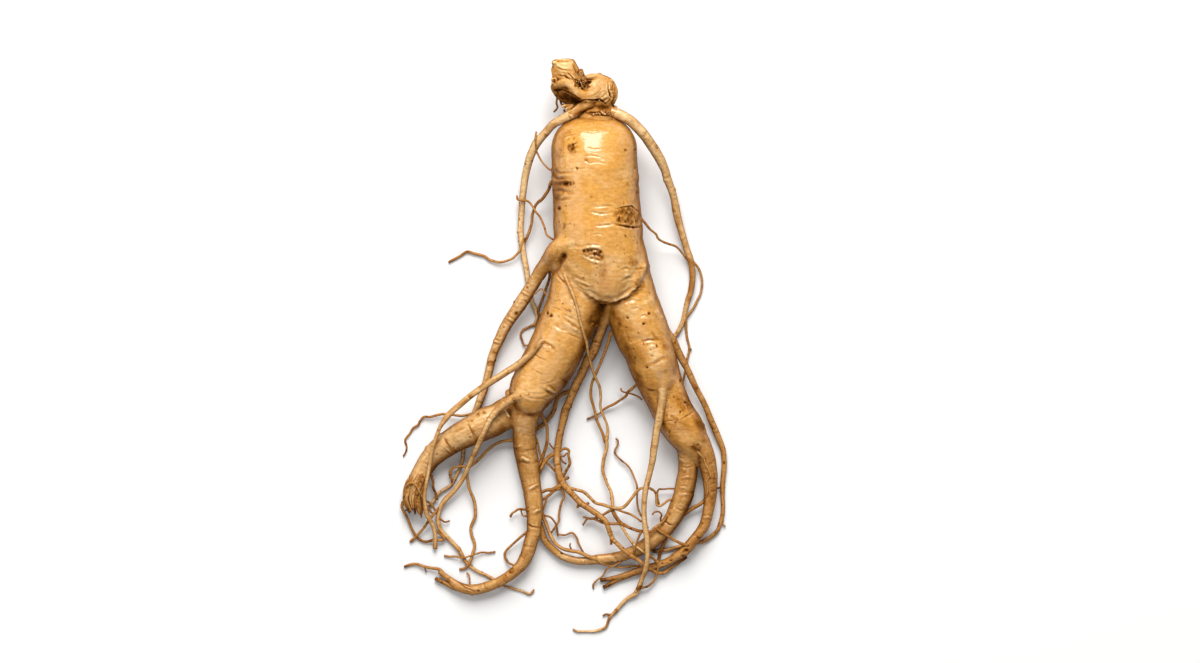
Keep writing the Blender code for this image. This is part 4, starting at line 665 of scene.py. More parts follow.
BODY_MARKS = [
    # neck collar
    ("stain", 597, 118, 22, 2.2, 0, 0.75), ("stain", 568, 123, 7, 3, -30, 0.4),
    ("stain", 619, 121, 6, 2.2, 25, 0.5),
    # trunk
    ("rough", 572, 148, 5.2, 5.2, 20, 0.35, 0.9, 1.0),
    ("cut", [(562, 138), (570, 135), (578, 134)], 0.6, 0.12, 0.4, 0.3),
    ("cut", [(570, 147), (574, 144), (578, 142)], 0.7, 0.2, 0.7, 0.3),
    ("pit", 626, 150, 1.4, 0.25, 0.7), ("pit", 635, 150, 1.2, 0.2, 0.6),
    ("pit", 577, 168.5, 1.5, 0.25, 0.7), ("pit", 586.5, 160.5, 2.0, 0.2, 0.55),
    ("cut", [(566, 171), (574, 168.6), (584, 168), (600, 169)], 0.6, 0.15, 0.3, 0.3),
    ("cut", [(552, 170), (560, 173), (572, 172)], 1.3, 0.2, 0.5, 0.25),
    ("cut", [(551, 176), (558, 179), (568, 178)], 1.4, 0.25, 0.6, 0.25),
    ("cut", [(552, 186), (560, 184), (566, 184), (575, 182)], 1.6, 0.36, 0.6, 0.3),
    ("stain", 560, 183, 10, 6, 0, 0.75), ("stain", 556, 196, 6, 9, 0, 0.7),
    ("stain", 555, 172, 5, 8, 0, 0.7), ("stain", 640, 186, 4, 8, 0, 0.5),
    ("pit", 565.5, 184, 2.6, 0.6, 1.0), ("rough", 568, 184, 7, 2.6, -8, 0.3, 0.8, 0.9),
    ("cut", [(552, 192), (560, 190), (571, 192.5)], 1.5, 0.3, 0.5, 0.3),
    ("stain", 556, 189, 8, 7, 0, 0.6), ("stain", 571, 193.5, 4, 2, 0, 0.5),
    ("cut", [(553, 199), (562, 200), (570, 198)], 1.4, 0.2, 0.5, 0.3),
    ("pit", 559, 208.5, 2.2, 0.4, 0.95), ("stain", 556, 209, 4, 6, 0, 0.5),
    ("cut", [(565, 224), (563, 230)], 1.3, 0.25, 0.6, 0.3),
    ("pit", 559, 222, 1.0, 0.2, 0.6), ("pit", 591, 197, 1.2, 0.2, 0.5),
    ("pit", 637, 192, 1.0, 0.2, 0.5),
    ("rough", 629, 216, 13.5, 9.2, 4, 0.5, 0.8, 1.3),
    ("cut", [(616, 209), (624, 207), (632, 206), (640, 213)], 0.8, 0.3, 0.85, 0.4),
    ("cut", [(615, 224), (624, 226), (634, 227.5), (642, 226.5)], 1.0, 0.4, 1.0, 0.4),
    ("pit", 629.5, 227, 1.3, 0.4, 1.0), ("pit", 633.5, 227.3, 1.2, 0.4, 1.0),
    ("cut", [(619, 212), (620, 218), (619, 223)], 0.8, 0.2, 0.6, 0.3),
    ("cut", [(627, 210), (634, 214), (636, 221)], 0.8, 0.2, 0.6, 0.4),
    ("pit", 625.5, 236, 1.2, 0.3, 0.7), ("pit", 637, 243, 0.9, 0.2, 0.5),
    # lit wrinkles down the middle
    ("cut", [(583, 131), (592, 132.5), (603, 131)], 0.7, 0.05, 0.0, 0.1),
    ("cut", [(582, 140), (589, 141.5), (596, 139.6)], 0.7, 0.06, 0.0, 0.1),
    ("cut", [(587, 147.6), (594, 149.5), (607, 148)], 0.8, 0.11, 0.05, 0.2),
    ("cut", [(584, 156.5), (591, 155.4), (600, 157)], 0.9, 0.14, 0.05, 0.2),
    ("cut", [(588, 163.5), (597, 162), (609, 164)], 0.9, 0.14, 0.05, 0.2),
    ("cut", [(590, 173.6), (597, 175), (602, 174)], 0.9, 0.12, 0.05, 0.2),
    ("cut", [(590, 181), (597, 181.5), (604, 180)], 0.8, 0.15, 0.05, 0.2),
    ("cut", [(594, 207), (604, 206), (614, 205.5)], 0.9, 0.28, 0.1, 0.3),
    ("cut", [(592, 212), (602, 214), (613, 212)], 1.0, 0.32, 0.1, 0.3),
    ("cut", [(595, 226), (606, 225), (618, 223.5)], 1.0, 0.30, 0.1, 0.3),
    ("cut", [(590, 235), (597, 233.5), (604, 235)], 0.8, 0.22, 0.1, 0.3),
    # navel
    ("cut", [(582.6, 250.8), (590, 249.6), (597, 249.8), (603, 251.4)], 1.1, 0.35, 0.45, 0.3),
    ("cut", [(588, 254.6), (595, 254), (602, 257.4)], 1.0, 0.35, 0.5, 0.2),
    ("rough", 593, 252.6, 11, 3.6, 6, 0.35, 0.9, 1.0), ("rough", 599, 257, 6, 3.4, 20, 0.3, 0.7, 1.0),
    ("pit", 588, 246.8, 2.2, -0.3, -1.0), ("pit", 593, 246.2, 2.4, -0.35, -1.0),
    ("pit", 599, 247, 2.4, -0.35, -1.0), ("pit", 584.6, 255.6, 1.8, -0.35, -1.0),
    ("pit", 588.6, 257.6, 2.2, -0.4, -1.0), ("pit", 593.4, 260, 2.4, -0.4, -1.0),
    ("pit", 599, 262, 2.0, -0.3, -1.0), ("pit", 584, 251, 1.7, 0.4, 1.0),
    ("pit", 600.6, 252, 1.6, 0.3, 0.9), ("pit", 596, 264, 1.3, 0.25, 0.4),
    ("pit", 597, 268.6, 1.1, 0.2, 0.3), ("stain", 592, 254, 9, 3, 0, 0.3),
    ("cut", [(585, 245.8), (592, 244.6), (601, 245.6)], 1.1, 0.36, 0.0, 0.2),
    ("cut", [(583, 255), (588, 257.2), (594, 259.4), (601, 261)], 1.2, 0.42, 0.1, 0.2),
    # folds that catch the light along the belly's rim and on the hips; their pale lips and the pale stains among them
    # are painted highlights
    ("cut", [(586, 288.4), (592, 292.6), (600, 296.4)], 1.5, 0.26, -0.5, 0.6),
    ("cut", [(604, 297.6), (611, 298.4), (617, 296.6)], 1.4, 0.24, -0.5, 0.6),
    ("cut", [(620, 295.6), (626, 292), (633, 287.4)], 1.5, 0.32, -0.5, 0.6),
    ("cut", [(628, 295.4), (634, 291.4), (640, 286.6), (643.4, 284)], 1.0, 0.3, 0.75, 0.5),
    ("cut", [(575, 276), (580, 279), (586, 281)], 1.2, 0.26, 0.1, 0.5),
    ("cut", [(579, 283), (585, 286), (592, 288)], 1.2, 0.3, 0.1, 0.5),
    ("cut", [(620, 270), (626, 268), (631, 270)], 1.2, 0.3, 0.15, 0.5),
    ("cut", [(622, 280), (628, 277), (634, 278)], 1.2, 0.3, 0.1, 0.5),
    ("cut", [(570, 303), (577, 306), (583, 309)], 1.1, 0.3, 0.05, 0.4),
    ("cut", [(566, 316), (572, 318), (579, 322)], 1.1, 0.3, 0.05, 0.4),
    ("cut", [(556, 326), (560, 329), (566, 331)], 1.0, 0.25, 0.05, 0.4),
    ("cut", [(626, 303), (633, 300), (641, 302)], 1.2, 0.3, 0.05, 0.4),
    ("cut", [(631, 309), (637, 308), (643, 311)], 1.1, 0.28, 0.05, 0.4),
    ("cut", [(640, 317), (645, 315), (650, 318)], 1.1, 0.3, 0.1, 0.4),
    ("cut", [(646, 346), (652, 343.6), (657, 345)], 1.0, 0.3, 0.05, 0.4),
    ("stain", 596, 254, 7, 3.2, 12, 0.7), ("stain", 586.4, 251.8, 3.6, 1.3, 4, 0.8),
    ("stain", 568, 276, 3.5, 8, -30, -0.7), ("stain", 575.6, 287, 3.5, 8, -38, -0.7),
    ("stain", 584, 295.4, 3.5, 7, -52, -0.7), ("stain", 642.6, 277, 3, 8, 15, -0.6),
    ("rough", 630, 261, 8, 5, 10, 0.12, 0.35, 0.6),
    ("pit", 645.2, 266, 1.7, -0.32, -0.8), ("cut", [(634, 269.6), (640, 268.6), (644, 268)], 0.9, 0.2, 0.5, 0.3),
    ("stain", 590, 291.4, 7, 2.8, 32, -0.9), ("stain", 600, 298.6, 7, 2.4, 14, -0.9),
    ("stain", 612, 300.6, 7, 2.2, -6, -0.9), ("stain", 624, 296, 7, 2.4, -28, -0.9),
    ("stain", 636, 288.6, 6, 2.4, -30, -0.8),
    ("swell", 625, 275, 4, 5, 10, 0.16), ("swell", 630, 285, 4, 4, 10, 0.14),
    ("swell", 583, 276, 4, 3, 30, 0.12), ("swell", 590, 284, 4, 3, 30, 0.12),
    # belly and apron
    ("swell", 604, 272, 7, 14, 4, -0.95), ("swell", 627, 276, 12, 15, 0, 0.3),
    # the dark stains in the dip, at (603, 277) and (606, 284), are painted shade; the pale stains on the ridges and the
    # rim are painted highlights
    ("stain", 603, 277, 5.4, 12, 6, 0.42), ("stain", 590, 284, 5, 13, -32, -0.6),
    ("stain", 577, 268, 6, 9, -36, -0.4), ("stain", 627, 276, 8, 12, 10, -0.5),
    ("stain", 619, 262, 7, 8, 0, -0.5), ("stain", 612, 293, 12, 3, -6, -0.4),
    ("stain", 638, 272, 4, 7, -20, 0.2), ("stain", 606, 284, 6, 8, 0, 0.3),
    ("swell", 648, 262, 7, 10, 0, 0.08),
    ("cut", [(634, 266), (640, 272), (641, 280)], 1.0, 0.18, 0.2, 0.3),
    ("rough", 632, 262, 6, 3.4, 10, 0.15, 0.5, 1.0), ("pit", 618, 267, 1.1, 0.15, 0.4),
    ("pit", 609, 270.5, 1.0, 0.15, 0.35), ("pit", 621, 281, 1.0, 0.15, 0.3),
    ("rough", 640, 284, 5, 7, -34, 0.2, 0.5, 1.0),
    # the step paints shade under the rim's overhang and a pale highlight along its lip
    ("step", [(582, 291.6), (590, 296), (597, 300), (604, 302.6), (611, 303.2), (618, 301.4),
              (625, 298), (632, 294.4), (638, 290), (644, 286)], 8.0, 0.6, 0.55),
    ("cut", [(570, 283), (577, 286.6), (584, 292)], 1.2, -0.22, 0.1, 0.4),
    ("rough", 604, 300, 16, 2.8, 0, 0.20, 0.1, 0.9),
    ("rough", 638, 288, 8, 2.6, -32, 0.25, 0.7, 0.9),
    # pale lumps along the rim: bumps with painted highlights
    ("pit", 590, 295.6, 2.4, -0.25, -1.0), ("pit", 596, 298.6, 2.4, -0.35, -1.0),
    ("pit", 602.6, 300.6, 2.6, -0.25, -1.0), ("pit", 609.6, 301.4, 2.4, -0.35, -1.0),
    ("pit", 616, 300.2, 2.4, -0.25, -1.0), ("pit", 622.6, 297.4, 2.4, -0.35, -1.0),
    ("pit", 629, 293.6, 2.4, -0.25, -0.9), ("pit", 635.6, 289.8, 2.4, -0.35, -0.8),
    ("cut", [(556, 273), (562, 281), (572, 282)], 0.9, 0.2, 0.4, 0.3),
    ("cut", [(557, 276), (566, 284), (575, 290)], 0.8, 0.15, 0.3, 0.3),
    # the dark cut, pit and stains in the armpit crevice are painted shade; the pale stains on the ridge above it are
    # painted highlights
    ("cut", [(565, 254.6), (562.6, 259), (558.6, 265), (554, 272)], 2.2, 0.6, 0.3, 0.0),
    ("pit", 563.6, 256, 2.4, 0.5, 0.4), ("stain", 561, 261, 3.6, 7.6, 26, 0.75),
    ("stain", 556, 270, 2.4, 7, 30, 0.8),
    ("stain", 572, 244, 5, 4, -20, -0.8), ("stain", 560, 246, 5, 4, -40, -0.6),
    ("stain", 565, 257, 3.0, 4, 0, 0.6),
    ("cut", [(566, 248), (574, 246), (582, 247)], 1.4, 0.18, 0.0, 0.3),
    ("stain", 558, 268, 3.4, 8, 30, 0.8),
    # soft lumps that catch the light, painted paler as highlights
    ("pit", 571, 303, 3.0, -0.3, -0.8), ("pit", 577, 308, 2.4, -0.28, -0.7),
    ("pit", 566.6, 298, 2.4, -0.25, -0.6), ("pit", 553, 327, 2.2, -0.25, -0.6),
    ("pit", 557, 331, 2.0, -0.25, -0.6), ("pit", 571, 324, 2.4, -0.3, -0.7),
    ("pit", 576, 329, 2.2, -0.3, -0.7), ("pit", 652, 299, 3.0, -0.35, -0.8),
    ("pit", 646, 303, 2.6, -0.3, -0.6), ("pit", 658, 312, 2.4, -0.3, -0.7),
    ("pit", 662, 317, 2.0, -0.3, -0.6), ("pit", 652, 346, 2.6, -0.35, -0.9),
    ("pit", 650, 352, 2.4, -0.3, -0.8), ("pit", 655, 358, 2.2, -0.3, -0.7),
    ("pit", 575, 281, 2.4, -0.25, -0.7), ("pit", 580, 284.6, 2.2, -0.25, -0.7),
    ("pit", 570, 277, 2.0, -0.25, -0.7), ("pit", 626, 275, 2.6, -0.25, -0.7),
    ("pit", 631, 279, 2.4, -0.25, -0.7), ("pit", 628, 284, 2.2, -0.2, -0.6),
    ("stain", 567, 268, 6, 9, 20, 0.22),
    # left thigh
    ("pit", 547, 313, 1.7, 0.35, 0.9), ("pit", 551.2, 315.8, 1.7, 0.35, 0.95),
    ("cut", [(563, 318), (569, 322), (576, 326.6), (584, 332)], 1.3, 0.22, 0.35, 0.7),
    ("cut", [(541, 340), (546, 343.5), (551, 346), (556, 351)], 1.4, 0.26, 0.4, 0.6),
    ("pit", 593.4, 325.6, 2.0, -0.35, 0.0), ("pit", 593.6, 325.8, 0.9, 0.45, 0.95),
    ("cut", [(590.5, 323), (593.6, 321.8), (596.4, 324.8), (594.6, 328.6)], 0.7, 0.25, 0.85, 0.3),
    ("cut", [(544.6, 386.6), (549, 388.6), (553, 391.6), (557, 393)], 1.4, -0.5, 0.5, 0.6),
    ("cut", [(543, 389.6), (549, 392.6), (556, 396)], 1.1, 0.2, 0.5, 0.3),
    # dark stains under the left knee, where it hangs over the shin and the forearm: painted shade
    ("stain", 530, 415, 14, 2.6, 6, 0.8), ("stain", 549, 405, 4, 9, 45, 0.9),
    ("stain", 510, 414, 3.6, 10, 0, 0.9), ("stain", 515, 405, 4, 6, 30, 0.5),
    ("cut", [(560, 378), (566, 382), (571, 382)], 0.8, 0.25, 0.6, 0.4),
    ("cut", [(547, 298), (556, 301), (566, 300)], 0.8, 0.12, 0.2, 0.3),
    ("cut", [(548, 306), (558, 309), (570, 313)], 0.8, 0.15, 0.25, 0.3),
    ("cut", [(567, 332), (574, 336), (584, 340)], 0.9, 0.18, 0.35, 0.4),
    ("cut", [(532, 352), (538, 357), (547, 361)], 0.9, 0.18, 0.3, 0.4),
    ("cut", [(530, 368), (537, 372), (545, 375)], 0.8, 0.15, 0.25, 0.3),
    ("cut", [(541, 398), (549, 401), (556, 398)], 0.8, 0.2, 0.3, 0.3),
    ("cut", [(519, 388), (529, 393), (540, 394), (550, 391)], 0.9, 0.14, 0.15, 0.4),
    ("cut", [(520, 393), (530, 398), (541, 399), (553, 394)], 0.9, 0.16, 0.2, 0.4),
    ("cut", [(536, 384), (546, 384), (556, 380)], 0.9, 0.12, 0.12, 0.4),
    ("cut", [(520, 372), (528, 379), (537, 382)], 0.9, 0.10, 0.1, 0.4),
    # dark stains along the left thigh's inner side, towards the crotch: painted shade
    ("stain", 593, 316, 6, 16, 22, 0.8), ("stain", 581, 352, 5, 20, 27, 0.75),
    ("stain", 566, 381, 5, 14, 30, 0.75), ("stain", 590, 334, 4, 12, 25, 0.6),
    ("rough", 586, 338, 5, 14, 25, 0.15, 0.45, 1.2), ("rough", 572, 366, 5, 14, 28, 0.15, 0.45, 1.2),
    ("swell", 556, 318, 12, 7, 20, 0.35), ("swell", 566, 330, 14, 2.4, 25, -0.25),
    # pale stains on the left thigh's top: painted highlights
    ("stain", 558, 318, 8, 4, 20, -0.6), ("stain", 528, 386, 7, 6, 0, -0.5),
    ("stain", 549, 340, 9, 4, 20, -0.4),
    ("stain", 516, 384, 5, 9, 30, 0.3), ("rough", 503, 393, 4, 6, 20, 0.2, 0.5, 1.0),
    # the crotch: dark stains that are painted shade
    ("stain", 600, 309, 5.4, 10, 8, 0.8), ("stain", 613, 313, 3.0, 13, -14, 0.8),
    ("stain", 596, 322, 4.4, 13, 22, 0.8), ("stain", 619, 326, 4, 14, -20, 0.6),
    ("stain", 610, 303, 16, 2.4, 0, 0.6),
    # right thigh
    ("cut", [(640, 342), (648, 340), (656, 339.5), (663, 340.5)], 1.2, 0.3, 0.5, 0.5),
    ("cut", [(651, 332), (655, 337), (659, 338.6)], 1.5, 0.22, 0.4, 0.4),
    ("cut", [(645, 367.5), (652, 364), (662, 359), (670, 357)], 1.5, 0.22, 0.25, 0.5),
    # pale stains on the tops of the thighs: painted highlights
    ("stain", 572, 318, 9, 15, 20, -0.5), ("stain", 633, 312, 9, 12, 0, -0.6),
    ("stain", 540, 366, 9, 13, 25, -0.4),
    ("pit", 649, 313.6, 1.6, 0.35, 0.85), ("pit", 652.4, 311.4, 1.1, -0.2, 0.0),
    ("pit", 643.6, 324, 1.8, 0.35, 0.9), ("pit", 647, 367.4, 1.4, 0.3, 0.9),
    ("pit", 633.6, 349, 1.3, 0.25, 0.7), ("pit", 627.5, 318, 1.6, 0.3, 0.75),
    ("pit", 626, 328, 1.2, 0.2, 0.6), ("pit", 638, 333, 1.1, 0.2, 0.6),
    ("pit", 668.6, 321, 1.6, -0.4, 0.0), ("pit", 631, 342, 1.0, 0.2, 0.5),
    ("pit", 635, 358, 1.0, 0.2, 0.6), ("pit", 641, 352, 0.9, 0.2, 0.5),
    # dark stains and cut under the knee swelling, beside the thin root: painted shade
    ("stain", 652, 390.6, 8, 2.4, 6, 0.85), ("stain", 671, 386, 2.6, 6, 32, 0.7),
    ("cut", [(645, 388), (651, 391), (657.6, 390)], 1.0, 0.25, 0.7, 0.2),
    # brown patches on the right thigh's lower side, with painted shade along its inner edge
    ("stain", 627, 330, 7, 15, -18, 0.42), ("stain", 638, 352, 8, 18, -22, 0.4),
    ("stain", 652, 386, 8, 14, -22, 0.36), ("stain", 680, 402, 12, 14, -25, 0.42), ("stain", 694, 412, 7, 14, -24, 0.4),
    ("stain", 684, 424, 14, 10, -25, 0.40), ("stain", 668, 398, 10, 10, 0, 0.3),
    ("stain", 692, 402, 7, 16, -25, 0.95), ("stain", 700, 422, 6, 14, -27, 0.9),
    ("rough", 692, 396, 5, 9, -25, 0.15, 0.6, 1.2), ("stain", 684, 380, 5, 9, -20, 0.5),
    ("rough", 662, 404, 6, 8, -25, 0.12, 0.45, 1.2), ("stain", 706, 442, 4, 10, -25, 0.5),
    ("stain", 676, 446, 5, 12, -20, 0.4), ("stain", 658, 396, 5, 9, 0, 0.35),
    ("stain", 661, 412, 5, 9, -20, 0.4), ("stain", 664, 335, 6, 6, 0, 0.3),
    ("stain", 665, 346, 4, 14, -20, 0.5), ("stain", 673, 366, 3.4, 14, -22, 0.5),
    ("rough", 687, 404, 5, 6, 30, 0.3, 0.8, 1.1), ("pit", 681, 380.6, 1.6, 0.3, 0.8),
    ("pit", 680.6, 412, 1.7, 0.3, 0.8), ("pit", 674, 397, 1.2, 0.25, 0.7),
    ("rough", 672, 418, 9, 3.4, 20, 0.22, 0.6, 1.0),
    ("cut", [(657, 424), (665, 421.5), (674, 420)], 0.8, 0.2, 0.5, 0.3),
    ("cut", [(682, 419), (688, 415), (695, 410)], 0.9, 0.25, 0.6, 0.4),
    ("cut", [(697, 419), (700.6, 422), (704.6, 426), (706, 431)], 1.2, -0.5, 0.4, 0.7),
    ("stain", 640, 396, 5, 14, -25, 0.45), ("stain", 648, 412, 5, 12, -25, 0.4),
    ("stain", 676, 352, 4, 12, -20, 0.35), ("stain", 688, 386, 5, 14, -25, 0.25),
    # dark stains along the right thigh's inner side: painted shade
    ("stain", 628, 350, 5, 16, -20, 0.75), ("stain", 619, 326, 4.4, 16, -20, 0.85),
    ("stain", 638, 378, 5, 16, -25, 0.8), ("stain", 651, 404, 5, 16, -25, 0.75),
    ("stain", 664, 424, 5, 10, -28, 0.6),
    ("rough", 624, 336, 5, 12, -20, 0.15, 0.55, 1.2), ("rough", 631, 356, 5, 12, -20, 0.15, 0.6, 1.1),
    ("rough", 645, 397, 5, 12, -25, 0.15, 0.6, 1.1), ("rough", 684, 404, 6, 12, -25, 0.2, 0.6, 1.1),
    ("rough", 672, 425, 12, 5, 25, 0.15, 0.4, 1.3),
    ("swell", 646, 322, 9, 10, 0, 0.45), ("swell", 633, 306, 9, 9, 0, 0.35),
    ("swell", 655, 352, 8, 9, -20, 0.4), ("swell", 640, 340, 12, 3, 0, -0.3),
    # pale stains on the knee swelling and the upper thigh: painted highlights
    ("stain", 655, 352, 5, 10, -15, -0.8), ("stain", 648, 300, 6, 5, 30, -0.5),
    ("rough", 698, 448, 8, 3.6, 30, 0.4, 0.9, 1.2), ("stain", 696, 449, 7, 4, 25, 0.8),
    ("stain", 699, 460, 3, 10, -8, 0.8),
]

LIMB_MARKS = {
    "left_shin": [
        ("cut", [(513, 446), (517, 446.6), (521, 446)], 1.1, -0.6, 0.4, 1.0),
        ("cut", [(519, 460), (523, 457.6), (527, 460), (531.5, 461.5)], 1.3, -0.7, 0.45, 1.0),
        ("cut", [(516, 463), (523, 462), (531, 464.6)], 0.9, 0.2, 0.6, 0.2),
        ("cut", [(528, 489), (532, 487.4), (538.5, 484.6)], 1.3, -0.7, 0.45, 1.0),
        ("cut", [(533, 513), (537, 510.6), (540.5, 509.6)], 1.3, -0.7, 0.45, 1.0),
        ("cut", [(527, 523.5), (532, 526.6), (540.5, 528)], 1.0, 0.35, 0.85, 0.4),
        ("cut", [(523, 434), (530, 436), (537, 435)], 0.8, 0.15, 0.3, 0.3),
        ("cut", [(515, 427), (524, 429), (534, 428)], 0.8, 0.18, 0.4, 0.3),
        ("cut", [(517, 480), (523, 482), (528, 481)], 0.8, 0.12, 0.3, 0.3),
        ("pit", 520.5, 552, 1.4, 0.4, 0.8), ("rough", 512, 571, 3.2, 3.4, 0, 0.3, 0.85, 0.9),
        ("pit", 478.5, 591, 1.3, 0.3, 0.9), ("pit", 472, 595, 1.5, -0.6, 0.0),
        ("pit", 514, 465, 1.6, -0.6, 0.2), ("pit", 454, 590, 1.6, -0.5, 0.2),
        ("cut", [(456, 575), (463, 583), (472, 587)], 0.9, 0.3, 0.8, 0.3),
        ("cut", [(458, 581), (466, 588), (476, 592)], 0.8, 0.25, 0.7, 0.2),
        ("rough", 526, 415, 13, 6, 0, 0.10, 0.25, 1.2),
    ],
    "forearm": [
        ("cut", [(444, 437), (447, 443), (452, 450)], 0.9, 0.3, 0.7, 0.4),
        ("cut", [(468, 424.6), (472, 431), (474, 438.4)], 0.9, 0.3, 0.7, 0.4),
        ("pit", 478, 414, 1.8, 0.3, 0.6), ("pit", 484, 412.6, 1.8, 0.3, 0.6),
        ("pit", 487.6, 419, 1.5, 0.3, 0.6), ("pit", 470, 437, 1.4, 0.3, 0.5),
        ("pit", 425.4, 447, 2.0, -0.8, 0.2), ("pit", 437, 470, 1.6, 0.3, 0.5),
        ("cut", [(497, 408), (500, 414), (501, 421)], 0.8, 0.2, 0.4, 0.4),
        ("rough", 410, 495, 11, 14, 10, 0.45, 0.5, 1.4),
        ("cut", [(404, 486), (411, 484), (419, 487), (423, 498)], 1.0, 0.5, 0.6, 0.7),
        ("cut", [(402, 494), (409, 496), (414, 505)], 1.1, 0.6, 0.7, 0.5),
        ("cut", [(408, 490), (412, 497), (418, 505)], 1.0, 0.5, 0.6, 0.8),
        ("pit", 405, 500, 3.0, 0.9, 0.8), ("pit", 411, 509, 2.4, 0.8, 0.7),
        # the dark stain below the knee, where the forearm passes under the shin: painted shade
        ("stain", 505, 425, 5, 12, 60, 0.4), ("rough", 497, 424, 9, 4, -30, 0.2, 0.3, 1.0),
        ("stain", 433, 474, 5, 16, 25, 0.35), ("stain", 405, 497, 5, 10, 0, 0.5),
        ("cut", [(424, 462), (430, 466), (433, 474)], 0.8, 0.2, 0.5, 0.4),
    ],
    "inner_calf": [
        ("cut", [(679, 466), (687, 467.6), (694, 466)], 0.9, 0.25, 0.5, 0.6),
        ("cut", [(680, 478.6), (687, 476.6), (693, 478)], 1.1, -0.35, 0.5, 0.7),
        ("cut", [(679.6, 488), (684, 487), (688, 489)], 1.0, -0.3, 0.5, 0.6),
        ("cut", [(681, 495), (686, 494), (691, 494.6)], 1.0, -0.3, 0.4, 0.6),
        ("cut", [(664, 520), (669, 524.4), (674, 525.6)], 0.9, 0.3, 0.8, 0.4),
        ("cut", [(655, 529), (660, 533), (668, 537)], 0.8, 0.2, 0.6, 0.4),
        ("cut", [(674, 506), (680, 510), (684, 511)], 0.9, 0.25, 0.4, 0.5),
        ("pit", 669, 514, 1.4, 0.25, 0.6), ("pit", 662, 525, 1.4, 0.25, 0.6),
        ("pit", 596, 556, 1.2, 0.2, 0.5), ("stain", 697, 462, 4, 16, 5, 0.5),
        ("stain", 690, 500, 5, 14, 25, 0.35),
        ("pit", 562, 553, 1.6, 0.4, 0.8), ("pit", 549, 540, 1.4, 0.3, 0.7),
        ("cut", [(548, 533), (552, 537), (551, 543)], 0.8, 0.25, 0.7, 0.4),
    ],
    "outer_calf": [
        ("rough", 697, 449, 7, 4, 20, 0.4, 0.9, 1.2),
        ("rough", 710, 499, 6.5, 9, 10, 0.45, 0.65, 1.3),
        ("cut", [(703.6, 518), (708, 516.6), (712, 518)], 1.0, -0.4, 0.6, 0.6),
        ("rough", 684.6, 553.4, 5.4, 4.4, -40, 0.4, 0.9, 1.1),
        ("pit", 687, 550.6, 1.6, 0.6, 1.0), ("pit", 683.4, 556, 1.4, 0.5, 0.9),
        ("pit", 662, 563.6, 1.5, 0.4, 0.9), ("pit", 671, 560.4, 1.0, 0.3, 0.7),
        ("cut", [(655, 571), (666, 568), (678, 562)], 1.2, 0.3, 0.8, 0.0),
        ("cut", [(706, 470), (712, 472), (717, 470)], 0.8, 0.2, 0.4, 0.4),
        ("cut", [(705, 484), (710, 485), (715, 483)], 0.8, 0.2, 0.4, 0.4),
        ("stain", 640, 573, 16, 4, -15, 0.55), ("stain", 618, 577, 12, 3, -15, 0.4),
    ],
    "flank_arm": [
        ("cut", [(520, 290), (525, 292.6), (530, 296)], 1.0, -0.3, 0.4, 0.7),
        ("cut", [(506, 317), (511, 319.6), (516, 323)], 1.0, -0.35, 0.4, 0.7),
        ("cut", [(491, 339), (495.6, 341), (500, 343)], 1.1, -0.4, 0.5, 0.8),
        ("pit", 516.4, 313.4, 2.0, 0.3, 0.9), ("rough", 490.5, 363.5, 4.2, 3.0, 0, 0.35, 0.7, 0.9),
        ("pit", 535.4, 278, 1.6, 0.3, 0.8), ("pit", 527, 287.6, 1.3, 0.2, 0.6),
        ("pit", 503.6, 327, 1.2, 0.2, 0.6), ("cut", [(545, 262), (549, 266), (552, 272)],
                                             0.8, 0.2, 0.5, 0.3),
        # dark stain in the armpit crease: painted shade
        ("stain", 550, 268, 4, 10, 40, 0.3),
    ],
    "centre_tail": [
        ("cut", [(598, 323), (602, 325.6), (606, 326.6)], 0.9, -0.3, 0.6, 0.6),
        ("cut", [(594, 342.6), (598, 344.4), (602, 345.6)], 0.9, -0.3, 0.6, 0.6),
        ("pit", 567, 410, 1.6, -0.5, 0.3), ("stain", 611, 302, 6, 8, 0, 0.35),
        ("stain", 592, 356, 6, 12, 20, 0.3),
    ],
    "right_arm": [
        ("pit", 662.6, 181, 1.8, -0.5, 0.4), ("pit", 676.4, 188.6, 1.5, -0.5, 0.3),
        ("pit", 680.4, 205, 1.6, -0.5, 0.3), ("pit", 682, 239, 1.5, -0.4, 0.3),
        ("stain", 677, 222, 5, 34, -12, 0.3), ("stain", 628, 124, 13, 8, 35, 0.16), ("stain", 690, 282, 6, 36, 0, 0.5),
    ],
    "left_arm": [
        ("pit", 517.6, 232, 1.7, -0.5, 0.3), ("pit", 531, 267, 1.6, -0.5, 0.3),
        ("pit", 545.6, 134.6, 1.6, -0.4, 0.4), ("stain", 547, 130, 9, 17, 30, 0.26),
        ("stain", 523, 210, 6, 44, -4, -0.3),
        ("cut", [(530, 160), (534, 162), (538, 161)], 0.8, 0.15, 0.4, 0.3),
    ],
    "thigh_root_right": [("pit", 724, 463, 1.8, 0.3, 0.9)],
    "knee_root_right": [
        ("rough", 640, 588, 4, 2.6, -30, 0.3, 1.0, 0.9), ("rough", 616, 611, 3, 3, 0, 0.3, 0.9, 0.8),
        ("cut", [(635, 594), (639, 590)], 0.8, 0.2, 0.6, 0.5), ("stain", 608, 622, 3, 7, 20, 0.8),
    ],
}

# ---------------------------------------------------------------- small maths
def place(points):
    """Sheet points (n, 3+) at a height, as millimetres in the object's frame."""
    p = np.asarray(points, dtype=np.float64)
    z = p[:, 2] * UNIT
    shrink = 1.0 - z / EYE_HEIGHT
    return np.stack([
        (p[:, 0] - SHEET_CENTRE[0]) * UNIT * shrink + (SHEET_CENTRE[0] - ORIGIN[0]) * UNIT,
        (SHEET_CENTRE[1] - p[:, 1]) * UNIT * shrink + (ORIGIN[1] - SHEET_CENTRE[1]) * UNIT,
        z], axis=1)


